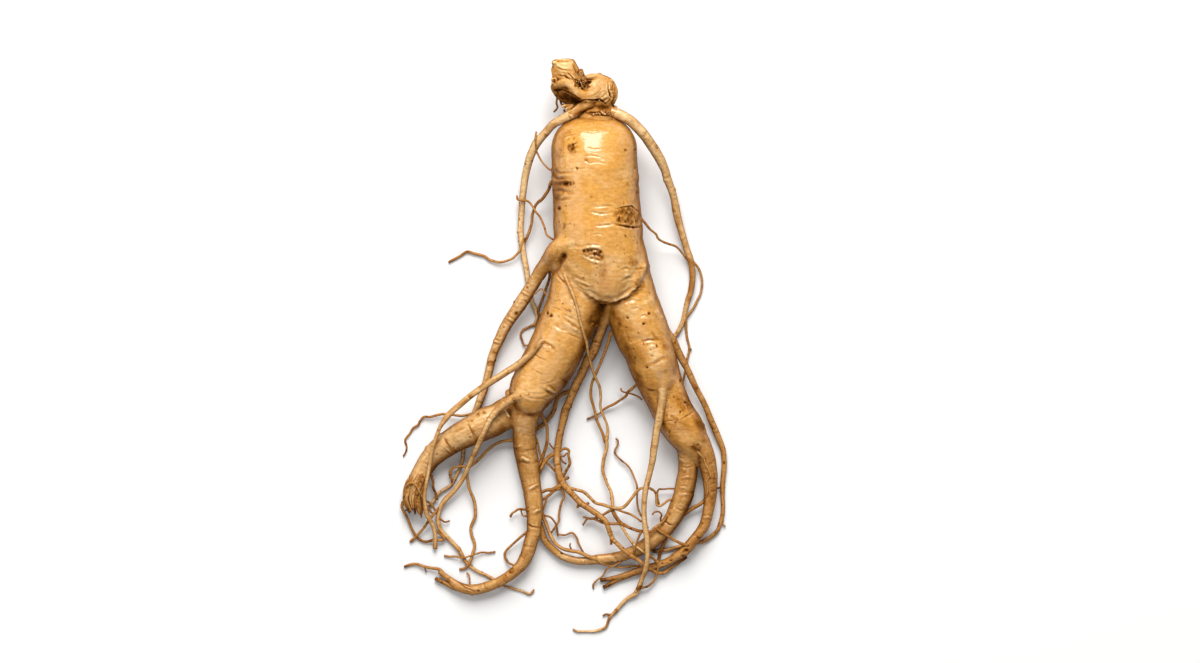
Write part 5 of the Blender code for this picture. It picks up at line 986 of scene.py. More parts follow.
def to_sheet(pos):
    """Millimetre positions back to sheet x and y."""
    shrink = 1.0 - pos[:, 2] / EYE_HEIGHT
    sx = (pos[:, 0] / UNIT + ORIGIN[0] - SHEET_CENTRE[0]) / shrink + SHEET_CENTRE[0]
    sy = SHEET_CENTRE[1] - (pos[:, 1] / UNIT + SHEET_CENTRE[1] - ORIGIN[1]) / shrink
    return sx, sy


def smoothstep(low, high, value):
    t = np.clip((value - low) / (high - low), 0.0, 1.0)
    return t * t * (3.0 - 2.0 * t)


def _hash(ix, iy, iz, seed):
    with np.errstate(over="ignore"):
        n = (ix.astype(np.uint32) * np.uint32(73856093)
             ^ iy.astype(np.uint32) * np.uint32(19349663)
             ^ iz.astype(np.uint32) * np.uint32(83492791)
             ^ np.uint32((seed * 2654435761) & 0xFFFFFFFF))
        n ^= n >> np.uint32(15)
        n *= np.uint32(0x2C1B3C6D)
        n ^= n >> np.uint32(12)
        n *= np.uint32(0x297A2D39)
        n ^= n >> np.uint32(15)
    return n.astype(np.float64) / 4294967295.0 * 2.0 - 1.0


def noise(pos, size, seed=1, octaves=1, stretch=(1.0, 1.0, 1.0)):
    """Smooth value noise in -1..1 with features about size millimetres wide."""
    total = np.zeros(len(pos))
    weight, norm = 1.0, 0.0
    for octave in range(octaves):
        q = pos / (np.asarray(stretch) * size / 2.0 ** octave) + 1000.0 + 17.3 * octave
        cell = np.floor(q)
        f = q - cell
        f = f * f * (3.0 - 2.0 * f)
        c = cell.astype(np.int64)
        out = 0.0
        for dx in (0, 1):
            wx = f[:, 0] if dx else 1.0 - f[:, 0]
            for dy in (0, 1):
                wy = f[:, 1] if dy else 1.0 - f[:, 1]
                for dz in (0, 1):
                    wz = f[:, 2] if dz else 1.0 - f[:, 2]
                    out = out + wx * wy * wz * _hash(
                        c[:, 0] + dx, c[:, 1] + dy, c[:, 2] + dz, seed + 31 * octave)
        total += out * weight
        norm += weight
        weight *= 0.5
    return total / norm


def resample(table, step):
    """A smooth line through a table: positions, radii (mm) and arc length."""
    points = [tuple(float(v) for v in row) for row in table]
    padded = [points[0]] + points + [points[-1]]
    rows = []
    for i in range(1, len(padded) - 2):
        a, b, c, d = (np.array(q) for q in padded[i - 1:i + 3])
        count = max(1, int(math.ceil(np.linalg.norm(c[:3] - b[:3]) * UNIT / step)))
        for k in range(count):
            t = k / count
            rows.append(0.5 * (2 * b + (c - a) * t + (2 * a - 5 * b + 4 * c - d) * t * t
                               + (3 * b - a - 3 * c + d) * t ** 3))
    rows.append(np.array(points[-1]))
    rows = np.array(rows)
    centre = place(rows)
    radius = np.maximum(rows[:, 3], 0.3) * UNIT
    arc = np.concatenate([[0.0], np.cumsum(np.linalg.norm(np.diff(centre, axis=0), axis=1))])
    return centre, radius, arc


# ---------------------------------------------------------------- distance field
class Field:
    """A dense signed distance field of the body, in millimetres."""

    def __init__(self, low, high, size):
        self.low = np.array(low, dtype=np.float64)
        self.size = size
        self.shape = tuple(int(math.ceil((h - l) / size)) + 1 for l, h in zip(low, high))
        self.grid = np.full(self.shape, BAND, dtype=np.float32)

    def axes(self, low, high):
        first = [max(0, int(math.floor((low[k] - self.low[k]) / self.size))) for k in range(3)]
        last = [min(self.shape[k], int(math.ceil((high[k] - self.low[k]) / self.size)) + 1)
                for k in range(3)]
        if any(l <= f for f, l in zip(first, last)):
            return None, None
        box = tuple(slice(f, l) for f, l in zip(first, last))
        grid = [(self.low[k] + self.size * np.arange(first[k], last[k])).astype(np.float32)
                for k in range(3)]
        return box, grid

    def limb(self, table, blend, depth=1.0, fade=None, step=2.0, blend_end=None, planes=()):
        """Adds a limb, blended at its base over blend mm; fade = (start, end) ends it early.

        planes = ((sheet point, normal), ...) cuts the limb flat before it is added.
        """
        centre, radius, arc = resample(table, step)
        if fade:
            keep = arc <= fade[1] + step
            centre, radius, arc = centre[keep], radius[keep], arc[keep]
            radius = radius * (1.0 - smoothstep(fade[0], fade[1], arc)) + 0.02
        centre = centre / np.array([1.0, 1.0, depth])
        reach = radius.max() + BAND
        low, high = centre.min(axis=0) - reach, centre.max(axis=0) + reach
        low[2] *= depth
        high[2] *= depth
        box, grid = self.axes(low, high)
        if box is None:
            return
        dist = np.full(tuple(s.stop - s.start for s in box), BAND, dtype=np.float32)
        soft = np.full(dist.shape, 0.01, dtype=np.float32)
        gz = grid[2] / depth
        for i in range(len(centre) - 1):
            a, b = centre[i], centre[i + 1]
            ra, rb = radius[i], radius[i + 1]
            r = max(ra, rb) + BAND
            lo, hi = np.minimum(a, b) - r, np.maximum(a, b) + r
            s = []
            for k, g in enumerate((grid[0], grid[1], gz)):
                s.append(slice(int(np.searchsorted(g, lo[k])), int(np.searchsorted(g, hi[k]))))
            if any(q.stop <= q.start for q in s):
                continue
            x = grid[0][s[0]][:, None, None] - a[0]
            y = grid[1][s[1]][None, :, None] - a[1]
            z = gz[s[2]][None, None, :] - a[2]
            d = (b - a).astype(np.float32)
            t = (x * d[0] + y * d[1] + z * d[2]) / max(float(d @ d), 1e-9)
            t = np.clip(t, 0.0, 1.0)
            here = np.sqrt((x - t * d[0]) ** 2 + (y - t * d[1]) ** 2 + (z - t * d[2]) ** 2)
            here -= ra + t * (rb - ra)
            part = dist[s[0], s[1], s[2]]
            near = here < part
            part[near] = here[near]
            along = arc[i] + t * (arc[i + 1] - arc[i])
            if blend_end is None:
                k = np.broadcast_to(np.float32(blend), here.shape)
            else:
                k = blend * (1.0 - smoothstep(0.0, blend_end, along)) + 0.01
            soft[s[0], s[1], s[2]][near] = k[near]
        for point, normal in planes:
            p = place([point])[0]
            w = np.array(normal, dtype=np.float64)
            w /= np.linalg.norm(w)
            flat = ((grid[0][:, None, None] - p[0]) * w[0] + (grid[1][None, :, None] - p[1]) * w[1]
                    + (grid[2][None, None, :] - p[2]) * w[2]).astype(np.float32)
            k = 0.45
            h = np.maximum(k - np.abs(dist - flat), 0.0) / k
            dist = np.maximum(dist, flat) + h * h * k * 0.25
        old = self.grid[box]
        h = np.maximum(soft - np.abs(old - dist), 0.0) / soft
        self.grid[box] = np.minimum(old, dist) - h * h * soft * 0.25

    def blob(self, point, radius, blend, cut=False):
        """Adds, or cuts away, a ball at a sheet point; radius in drawing units or 3 of them."""
        centre = place([point])[0]
        r = np.array(radius if hasattr(radius, "__len__") else (radius,) * 3) * UNIT
        box, grid = self.axes(centre - r - BAND, centre + r + BAND)
        x = (grid[0][:, None, None] - centre[0]) / r[0]
        y = (grid[1][None, :, None] - centre[1]) / r[1]
        z = (grid[2][None, None, :] - centre[2]) / r[2]
        dist = (np.sqrt(x * x + y * y + z * z) - 1.0) * float(r.min())
        old = self.grid[box]
        if cut:
            dist = -dist
            h = np.maximum(blend - np.abs(old - dist), 0.0) / blend
            self.grid[box] = np.maximum(old, dist) + h * h * blend * 0.25
        else:
            h = np.maximum(blend - np.abs(old - dist), 0.0) / blend
            self.grid[box] = np.minimum(old, dist) - h * h * blend * 0.25

    def surface(self):
        """Cuts the field at the table and returns its points and quads."""
        z = self.low[2] + self.size * np.arange(self.shape[2], dtype=np.float32)
        flat = 0.02 - z[None, None, :]
        body = np.maximum(self.grid, flat)
        limit = 3.0 * self.size
        np.clip(body, -limit, limit, out=body)
        volume = openvdb.FloatGrid(limit)
        volume.copyFromArray(body, tolerance=1e-6)
        volume.transform = openvdb.createLinearTransform(voxelSize=self.size)
        points, quads = volume.convertToQuads(isovalue=0.0)
        return np.asarray(points, dtype=np.float64) + self.low, np.asarray(quads)


# ---------------------------------------------------------------- marks
def stroke_distance(px, py, line):
    """Distance of sheet points from a polyline, and how far along it they are, 0..1."""
    best = np.full(px.shape, 1e9)
    where = np.zeros(px.shape)
    pieces = len(line) - 1
    for i in range(pieces):
        ax, ay = line[i]
        bx, by = line[i + 1]
        dx, dy = bx - ax, by - ay
        t = np.clip(((px - ax) * dx + (py - ay) * dy) / max(dx * dx + dy * dy, 1e-9), 0, 1)
        d = np.hypot(px - ax - t * dx, py - ay - t * dy)
        near = d < best
        best[near] = d[near]
        where[near] = ((i + t) / pieces)[near]
    return best, where


def stroke_side(px, py, line):
    """+1 on the side that is lower on the sheet as the line runs to the right, else -1."""
    best = np.full(px.shape, 1e9)
    side = np.ones(px.shape)
    for (ax, ay), (bx, by) in zip(line[:-1], line[1:]):
        dx, dy = bx - ax, by - ay
        t = np.clip(((px - ax) * dx + (py - ay) * dy) / max(dx * dx + dy * dy, 1e-9), 0, 1)
        d = np.hypot(px - ax - t * dx, py - ay - t * dy)
        near = d < best
        best[near] = d[near]
        side[near] = np.where((px - ax) * -dy + (py - ay) * dx >= 0, 1.0, -1.0)[near]
    return side


def apply_marks(marks, px, py, up, pos, lift, brown, pale, rough):
    """Adds the listed marks: lift in mm along the normal, and the skin's stains."""
    # Brown marks also paint shade in creases, crevices and under overhangs, and pale marks also paint highlights on
    # ridges, lips and lumps.
    for mark in marks:
        kind = mark[0]
        if kind == "pit":        # x, y, radius, depth mm (negative = bump), brown
            _, x, y, r, depth, stain = mark
            near = np.nonzero((np.abs(px - x) < 3 * r) & (np.abs(py - y) < 3 * r))[0]
            if not len(near):
                continue
            d = np.hypot(px[near] - x, py[near] - y) / r
            d = d * (1.0 + 0.25 * noise(pos[near], 0.9, 91))
            w = np.exp(-d * d) * up[near]
            lift[near] -= depth * w
            if depth > 0:
                lift[near] += 0.3 * depth * np.exp(-((d - 1.5) / 0.45) ** 2) * up[near]
            if stain >= 0:
                brown[near] = np.maximum(brown[near], stain * w)
            else:
                pale[near] = np.maximum(pale[near], -stain * w)
        elif kind == "cut":      # points, width, depth mm (negative = ridge), brown, pale lip
            _, line, width, depth, stain, lip = mark
            xs = [q[0] for q in line]
            ys = [q[1] for q in line]
            m = 4 * width
            near = np.nonzero((px > min(xs) - m) & (px < max(xs) + m)
                              & (py > min(ys) - m) & (py < max(ys) + m))[0]
            if not len(near):
                continue
            d, along = stroke_distance(px[near], py[near], line)
            d = np.abs(d + 0.35 * width * noise(pos[near], 1.3, 57))
            taper = np.clip(np.sin(np.pi * np.clip(along, 0.02, 0.98)), 0, 1) ** 0.5
            core = np.exp(-(d / width) ** 2) * taper * up[near]
            lift[near] -= depth * core
            side = np.exp(-((d - 1.9 * width) / (0.8 * width)) ** 2) * taper * up[near]
            if depth > 0:
                lift[near] += 0.4 * depth * side
                pale[near] = np.maximum(pale[near], lip * side)
            else:
                pale[near] = np.maximum(pale[near], lip * core)
            if stain > 0:
                brown[near] = np.maximum(brown[near], stain * (core if depth > 0 else side))
        elif kind == "step":     # points, reach, depth mm, brown: the skin sinks past the line
            _, line, reach, depth, stain = mark
            xs = [q[0] for q in line]
            ys = [q[1] for q in line]
            m = 1.3 * reach + 4
            near = np.nonzero((px > min(xs) - m) & (px < max(xs) + m)
                              & (py > min(ys) - m) & (py < max(ys) + m))[0]
            if not len(near):
                continue
            d, along = stroke_distance(px[near], py[near], line)
            sign = stroke_side(px[near], py[near], line)
            off = d * sign + 1.1 * noise(pos[near], 2.4, 61) + 0.5 * noise(pos[near], 1.0, 62)
            taper = np.clip(np.sin(np.pi * np.clip(along, 0.0, 1.0)), 0, 1) ** 0.6
            taper = taper * (1.0 - smoothstep(reach, 1.3 * reach, d)) * up[near]
            drop = smoothstep(-0.9, 1.3, off) * (1.0 - smoothstep(1.5, reach, off))
            lift[near] -= depth * drop * taper
            rim = np.exp(-((off + 1.6) / 1.5) ** 2) * taper
            lift[near] += 0.35 * depth * rim * (0.7 + 0.6 * noise(pos[near], 1.5, 63))
            # the brown just past the line is painted shade under the step's overhang
            brown[near] = np.maximum(brown[near], stain * taper
                                     * np.exp(-((off - 1.6) / 1.9) ** 2))
            # the pale rim is a painted highlight along the step's lip
            pale[near] = np.maximum(pale[near], 0.8 * rim)
        elif kind == "rough":    # x, y, rx, ry, turn degrees, height mm, brown, grain mm
            _, x, y, rx, ry, turn, height, stain, grain = mark
            ca, sa = math.cos(math.radians(turn)), math.sin(math.radians(turn))
            u = ((px - x) * ca + (py - y) * sa) / rx
            v = (-(px - x) * sa + (py - y) * ca) / ry
            d = np.hypot(u, v)
            near = np.nonzero(d < 1.5)[0]
            if not len(near):
                continue
            w = (1.0 - smoothstep(0.75, 1.2, d[near] + 0.25 * noise(pos[near], 1.6, 23))) * up[near]
            n = noise(pos[near], grain, 77, 3)
            lift[near] += height * n * w
            brown[near] = np.maximum(brown[near], stain * w * (0.55 - 0.75 * n))
            rough[near] = np.maximum(rough[near], w * 0.8)
        elif kind == "stain":    # x, y, rx, ry, turn, brown (negative = pale)
            _, x, y, rx, ry, turn, stain = mark
            ca, sa = math.cos(math.radians(turn)), math.sin(math.radians(turn))
            u = ((px - x) * ca + (py - y) * sa) / rx
            v = (-(px - x) * sa + (py - y) * ca) / ry
            near = np.nonzero((np.abs(u) < 2.6) & (np.abs(v) < 2.6))[0]
            if not len(near):
                continue
            w = np.exp(-(u[near] ** 2 + v[near] ** 2)) * (0.75 + 0.5 * noise(pos[near], 2.0, 29, 2))
            w = w * up[near]
            if stain >= 0:
                brown[near] = np.maximum(brown[near], np.clip(stain * w, 0, 1))
            else:
                pale[near] = np.maximum(pale[near], np.clip(-stain * w, 0, 1))
        elif kind == "swell":    # x, y, rx, ry, turn, height mm (broad push, no colour)
            _, x, y, rx, ry, turn, height = mark
            ca, sa = math.cos(math.radians(turn)), math.sin(math.radians(turn))
            u = ((px - x) * ca + (py - y) * sa) / rx
            v = (-(px - x) * sa + (py - y) * ca) / ry
            near = np.nonzero((np.abs(u) < 2.6) & (np.abs(v) < 2.6))[0]
            if len(near):
                lift[near] += height * np.exp(-(u[near] ** 2 + v[near] ** 2)) * up[near]


def write_mesh(name, points, faces, skin, tone=None, smooth=True):
    """A mesh object in metres with the painted skin attribute."""
    mesh = bpy.data.meshes.new(name)
    count, sides = faces.shape
    mesh.vertices.add(len(points))
    mesh.vertices.foreach_set("co", (points * MM).astype(np.float32).ravel())
    mesh.loops.add(count * sides)
    mesh.loops.foreach_set("vertex_index", faces.astype(np.int32).ravel())
    mesh.polygons.add(count)
    mesh.polygons.foreach_set("loop_start", np.arange(0, count * sides, sides, dtype=np.int32))
    mesh.update(calc_edges=True)
    mesh.validate()
    if skin is not None:
        layer = mesh.attributes.new("skin", "FLOAT_COLOR", "POINT")
        layer.data.foreach_set("color", skin.astype(np.float32).ravel())
        shade = mesh.attributes.new("tone", "FLOAT", "POINT")
        shade.data.foreach_set("value", (np.zeros(len(points)) if tone is None else tone).astype(
            np.float32))
    if smooth:
        mesh.shade_smooth()
    obj = bpy.data.objects.new(name, mesh)
    bpy.context.scene.collection.objects.link(obj)
    return obj


def skin_array(brown, pale, rough, side=None):
    out = np.ones((len(brown), 4))
    # alpha: painted shade on the steep sides
    out[:, 3] = 0.0 if side is None else np.clip(side, 0, 1)
    out[:, 0] = np.clip(brown, 0, 1)
    out[:, 1] = np.clip(pale, 0, 1)
    out[:, 2] = np.clip(rough, 0, 1)
    return out


def vertex_normals(points, faces):
    """Area-weighted vertex normals of a quad or triangle mesh."""
    a, b = points[faces[:, 0]], points[faces[:, 1]]
    c, d = points[faces[:, 2]], points[faces[:, -1]]
    n = np.cross(c - a, (d - b) if faces.shape[1] == 4 else (c - b))
    out = np.zeros_like(points)
    for k in range(faces.shape[1]):
        for axis in range(3):
            out[:, axis] += np.bincount(faces[:, k], weights=n[:, axis], minlength=len(points))
    return out / np.maximum(np.linalg.norm(out, axis=1), 1e-12)[:, None]


# ---------------------------------------------------------------- swept limbs
def frames(centre):
    """Tangents and upward-turned side vectors of a line."""
    t = np.gradient(centre, axis=0)
    t /= np.maximum(np.linalg.norm(t, axis=1), 1e-9)[:, None]
    up = np.array([0.0, 0.0, 1.0])
    n = up - t * (t @ up)[:, None]
    size = np.linalg.norm(n, axis=1)
    for i in range(len(n)):      # near-vertical stretches keep the last good direction
        if size[i] < 0.25 and i:
            n[i] = n[i - 1] - t[i] * (t[i] @ n[i - 1])
        n[i] /= max(np.linalg.norm(n[i]), 1e-9)
    return t, n, np.cross(t, n)


def sweep(table, sides, step, seed, style, marks=()):
    """A limb along a table. Returns points, quads and the skin's stains with its painted shade."""
    centre, radius, arc = resample(table, step)
    rng = np.random.default_rng(seed)
    length = arc[-1]
    t, n, b = frames(centre)
    wob = style.get("wobble", 0.04)
    drift = noise(np.stack([arc, arc * 0 + seed * 3.1, arc * 0], 1), 4.0, seed, 2)
    drift2 = noise(np.stack([arc, arc * 0 + seed * 5.7, arc * 0], 1), 5.0, seed + 5, 2)
    sway = style.get("sway", 0.10)
    centre = centre + (b * drift2[:, None] + 0.3 * n * drift[:, None]) * (radius * sway)[:, None]
    # round ends: extra stations that close each end
    rows = len(arc)
    angle = np.linspace(0, 2 * np.pi, sides, endpoint=False)
    ca, sa = np.cos(angle), np.sin(angle)
    direction = n[:, None, :] * ca[None, :, None] + b[:, None, :] * sa[None, :, None]
    s_grid = np.repeat(arc[:, None], sides, axis=1)
    a_grid = np.repeat(angle[None, :], rows, axis=0)
    r_grid = np.repeat(radius[:, None], sides, axis=1)
    flatp = (centre[:, None, :] + direction * r_grid[:, :, None]).reshape(-1, 3)
    cyl = np.stack([s_grid.ravel(), (ca[None, :] * r_grid).ravel(), (sa[None, :] * r_grid).ravel()], 1)
    cyl = cyl + seed * 13.7
    lift = (r_grid.ravel() * wob) * (0.6 * noise(cyl, max(3.0 * radius.mean(), 1.2), seed, 2)
                                     + 0.9 * drift.repeat(sides))
    brown = np.zeros(len(lift)) + style.get("brown", 0.1)
    pale = np.zeros(len(lift)) + style.get("pale", 0.0)
    rough = np.zeros(len(lift)) + style.get("rough", 0.2)
    # uneven staining along and round the limb
    blot = noise(cyl, 3.4, seed + 2, 3, (2.2, 1.0, 1.0))
    brown += style.get("blot", 0.25) * smoothstep(0.05, 0.7, blot)
    pale += 0.35 * smoothstep(0.1, 0.8, -blot)
    # fine streaks along the limb and hair-thin wrinkles round it
    streak = noise(cyl, 0.55, seed + 21, 2, (8.0, 1.0, 1.0))
    brown += style.get("streak", 0.26) * smoothstep(0.0, 0.6, streak)
    pale += 0.45 * smoothstep(0.1, 0.7, -streak)
    thick = np.minimum(1.0, r_grid.ravel() / 2.2)
    fine = noise(cyl, 0.75, seed + 31, 2, (1.0, 6.0, 6.0))
    lift += style.get("fine", 0.035) * fine * thick
    brown += style.get("finebrown", 0.12) * smoothstep(0.15, 0.7, -fine)
    lift += 0.05 * thick * noise(cyl, 1.5, seed + 33, 2, (1.6, 1.0, 1.0))
    # ring wrinkles
    gap = style.get("gap", 2.2)
    s = rng.uniform(0.3, 1.0) * gap
    depth0 = style.get("ring", 0.10)
    sv, av = s_grid.ravel(), a_grid.ravel()
    rv = r_grid.ravel()
    while s < length:
        mid = rng.uniform(0, 2 * np.pi)
        spread = rng.uniform(0.5, 1.5)
        tilt = rng.uniform(-0.35, 0.35)
        phase = rng.uniform(0, 2 * np.pi)
        depth = depth0 * rng.uniform(0.4, 1.5)
        width = rng.uniform(0.16, 0.32) * (1.0 + 0.25 * np.interp(s, arc, radius))
        kind = rng.random()
        lo, hi = np.searchsorted(arc, s - 2.5), np.searchsorted(arc, s + 2.5)
        idx = np.arange(lo * sides, hi * sides)
        if len(idx):
            da = np.abs((av[idx] - mid + np.pi) % (2 * np.pi) - np.pi)
            mask = 1.0 - smoothstep(spread, spread + 0.5, da)
            off = (sv[idx] - s - tilt * rv[idx] * np.cos(av[idx] - phase)
                   - 0.25 * noise(cyl[idx], 1.4, seed + 9))
            rad = np.interp(s, arc, radius)
            grow = min(1.0, rad / 2.0) ** 0.6
            if kind < 0.72:      # a groove with a soft lip
                groove = np.exp(-(off / width) ** 2) * mask
                lip = np.exp(-((off - 1.8 * width) / (0.9 * width)) ** 2) * mask
                lift[idx] += (-depth * groove + 0.55 * depth * lip) * grow
                brown[idx] += style.get("ringbrown", 0.35) * groove
                pale[idx] += 0.25 * lip
            else:                # a raised pale scar, as a lost rootlet leaves
                mask = 1.0 - smoothstep(0.45 * spread, 0.45 * spread + 0.25, da)
                scar = np.exp(-(off / (0.8 * width)) ** 2) * mask
                lift[idx] += 1.2 * depth * scar * grow
                pale[idx] += 0.5 * scar
                edge = np.exp(-((np.abs(off) - 1.7 * width) / (0.5 * width)) ** 2) * mask
                brown[idx] += 0.4 * edge
        s += gap * rng.uniform(0.35, 1.7)
    # small nubs of lost rootlets and dark specks
    for _ in range(int(length / style.get("nubs", 9.0))):
        s0, a0 = rng.uniform(1.0, max(1.1, length - 1.0)), rng.uniform(0, 2 * np.pi)
        rad = np.interp(s0, arc, radius)
        size = rng.uniform(0.35, 0.6) * min(1.0, 0.55 + rad / 4)
        lo, hi = np.searchsorted(arc, s0 - 2), np.searchsorted(arc, s0 + 2)
        idx = np.arange(lo * sides, hi * sides)
        if len(idx):
            da = ((av[idx] - a0 + np.pi) % (2 * np.pi) - np.pi) * rv[idx]
            d2 = (da ** 2 + (sv[idx] - s0) ** 2) / size ** 2
            lift[idx] += 0.5 * size * np.exp(-d2 ** 2)
            brown[idx] += 0.55 * np.exp(-((np.sqrt(d2) - 1.2) / 0.4) ** 2)
    for _ in range(int(length / style.get("specks", 3.0))):
        s0, a0 = rng.uniform(0, length), rng.uniform(0, 2 * np.pi)
        size = rng.uniform(0.18, 0.4)
        lo, hi = np.searchsorted(arc, s0 - 1), np.searchsorted(arc, s0 + 1)
        idx = np.arange(lo * sides, hi * sides)
        if len(idx):
            da = ((av[idx] - a0 + np.pi) % (2 * np.pi) - np.pi) * rv[idx]
            w = np.exp(-(da ** 2 + (sv[idx] - s0) ** 2) / size ** 2)
            brown[idx] += 0.7 * w
            lift[idx] -= 0.05 * w
    upward = smoothstep(-0.15, 0.3, direction.reshape(-1, 3)[:, 2])
    if marks:
        px, py = to_sheet(flatp)
        apply_marks(marks, px, py, upward, flatp, lift, brown, pale, rough)
    # the skin darkens towards the underside and the lower sides
    brown += style.get("under", 0.25) * (1.0 - smoothstep(-0.9, 0.2, direction.reshape(-1, 3)[:, 2]))
    if "shade" in style:     # one side is darker, painted shade: direction across the sheet, amount
        sx, sy, amount = style["shade"]
        turn = direction.reshape(-1, 3) @ (np.array([sx, sy, -0.25]) / math.hypot(sx, sy))
        brown += amount * smoothstep(0.15, 0.95, turn)
    # ends
    head = style.get("head", 0.0)
    if head:
        brown += head * np.exp(-sv / 2.5)
    tail = style.get("tail", 0.3)
    brown += tail * np.exp(-(length - sv) / 3.0)
    pts = flatp + direction.reshape(-1, 3) * lift[:, None]
    pts[:, 2] = np.maximum(pts[:, 2], 0.03)
    pts = pts.reshape(rows, sides, 3)
    # close the ends with shrinking rings and a point
    rings, caps_b = [], []

    def cap(i, outward, blunt):
        c = centre[i]
        out = []
        for f, o in ((0.86, 0.30), (0.55, 0.48), (0.25, 0.55)):
            ring = c + (pts[i] - c) * f + outward * radius[i] * o * blunt
            out.append(ring)
        return out, c + outward * radius[i] * 0.57 * blunt

    blunt = style.get("blunt", 1.0)
    first, tip0 = cap(0, -t[0], 1.0)
    last, tip1 = cap(-1, t[-1], blunt)
    stack = np.concatenate([np.array(first[::-1]), pts, np.array(last)], axis=0)
    grid_rows = len(stack)

    def pad(values, extra0, extra1):
        v = values.reshape(rows, sides)
        return np.concatenate([np.repeat(v[:1], 3, 0) + extra0, v, np.repeat(v[-1:], 3, 0) + extra1]).ravel()

    brown = pad(brown, 0.1, style.get("cut", 0.45))
    pale = pad(pale, 0.0, 0.0)
    rough = pad(rough, 0.1, 0.4)
    index = np.arange(grid_rows * sides).reshape(grid_rows, sides)
    nxt = np.roll(index, -1, axis=1)
    quads = np.stack([index[:-1], nxt[:-1], nxt[1:], index[1:]], axis=-1).reshape(-1, 4)
    base = grid_rows * sides
    verts = np.concatenate([stack.reshape(-1, 3), [tip0, tip1]])
    tris0 = np.stack([np.full(sides, base), nxt[0], index[0], index[0]], 1)
    tris1 = np.stack([np.full(sides, base + 1), index[-1], nxt[-1], nxt[-1]], 1)
    brown = np.append(brown, [brown[0], brown[-1]])
    pale = np.append(pale, [0, 0])
    rough = np.append(rough, [0.4, 0.6])
    return verts, quads, np.concatenate([tris0, tris1])[:, :3], brown, pale, rough


def bundle(name, limbs):
    """Joins swept limbs into one mesh object."""
    points, quads, tris, brown, pale, rough = [], [], [], [], [], []
    base = 0
    for p, q, t, br, pa, ro in limbs:
        points.append(p)
        quads.append(q + base)
        tris.append(t + base)
        brown.append(br)
        pale.append(pa)
        rough.append(ro)
        base += len(p)
    points = np.concatenate(points)
    quads = np.concatenate(quads)
    tris = np.concatenate(tris)
    faces = np.concatenate([quads[:, [0, 1, 2]], quads[:, [0, 2, 3]], tris])
    normal = vertex_normals(points, faces)
    # the alpha darkens the steep sides of the limbs and rootlets: painted shade
    side = 1.0 - smoothstep(0.04, 0.98, normal[:, 2])
    return write_mesh(name, points, faces, skin_array(
        np.concatenate(brown), np.concatenate(pale), np.concatenate(rough), side),
        np.ones(len(points)))


# ---------------------------------------------------------------- the body
FILLETS = [
    # table, blend mm at the base, mm over which the blend fades, fade (start, end) mm
    (FOREARM_SKIN, 1.0, 12.0, (13.0, 20.0)), (LEFT_SHIN_SKIN, 0.9, 14.0, (15.0, 22.0)),
    (INNER_CALF, 1.3, 12.0, (10.0, 17.0)), (OUTER_CALF, 1.5, 12.0, (10.0, 17.0)),
    (FLANK_ARM, 3.4, 15.0, (13.0, 19.0)), (CENTRE_TAIL, 1.2, 12.0, (9.0, 14.0)),
    (LEFT_ARM, 1.6, 14.0, (10.0, 15.0)), (RIGHT_ARM, 1.8, 10.0, (8.0, 13.0)),
    (THIGH_ROOT_RIGHT, 2.0, 8.0, (5.0, 9.0)), (KNEE_ROOT_RIGHT, 3.2, 9.0, (8.0, 13.0)),
    (THIGH_ROOT_LEFT, 1.6, 5.0, (4.0, 8.0)), (KNEE_ROOT_LEFT, 2.2, 7.0, (5.0, 9.0)),
]

# The trunk as rounded lengths: a broad shoulder, then the barrel down to the belly.
SHOULDERS = [(582.6, 147.4, 36.6, 30.4), (605.2, 147.6, 36.6, 30.4)]
BARREL = [
    (594, 159, 36.8, 41.4), (594.6, 172, 36.8, 43.2), (595.2, 185, 36.8, 43.2),
    (596, 200, 36.8, 43.2), (597, 215, 37.0, 43.6), (598, 230, 37.4, 44.4),
    (599, 244, 37.6, 43.6), (601.4, 254, 38.0, 42.0), (604, 263, 39.6, 38.6),
    (606, 273, 43.6, 31.2), (608, 281, 48.0, 23.2),
]
HIP_LEFT = [(573, 252, 36, 19), (574, 268, 35, 22), (571, 286, 34, 20)]
HIP_RIGHT = [(624, 256, 36, 18.6), (628.4, 272, 35.4, 19.6), (632.6, 288, 34, 18.8)]
# The ridge that the flank arm raises on the front of the trunk.
FLANK_SHOULDER = [(581, 241, 57, 7), (571, 243, 57.4, 9), (562, 246.4, 54, 10),
                  (554.4, 252.4, 47, 9.4), (547.8, 261, 36.4, 8.2), (541.2, 271, 27.2, 7.2),
                  (534.8, 281.6, 22.8, 6.7), (528, 292.6, 19.2, 6.4), (522, 302, 17, 6.2)]
# The soft ridges on both sides of the belly's dip, and the lumps along its lower rim.
BELLY_LEFT = [(566, 257, 50.4, 6.2), (574, 266, 55.4, 6.8), (582, 276, 57.6, 6.8),
              (589, 286, 57, 6.2), (595, 294, 53, 5.2), (601, 299.4, 49, 4.4)]
BELLY_RIGHT = [(640, 267, 48.6, 6), (636, 277, 53.4, 6.4), (630, 287, 54.2, 6.2),
               (622, 295.6, 51.4, 5.2), (613, 300.4, 48, 4.4)]
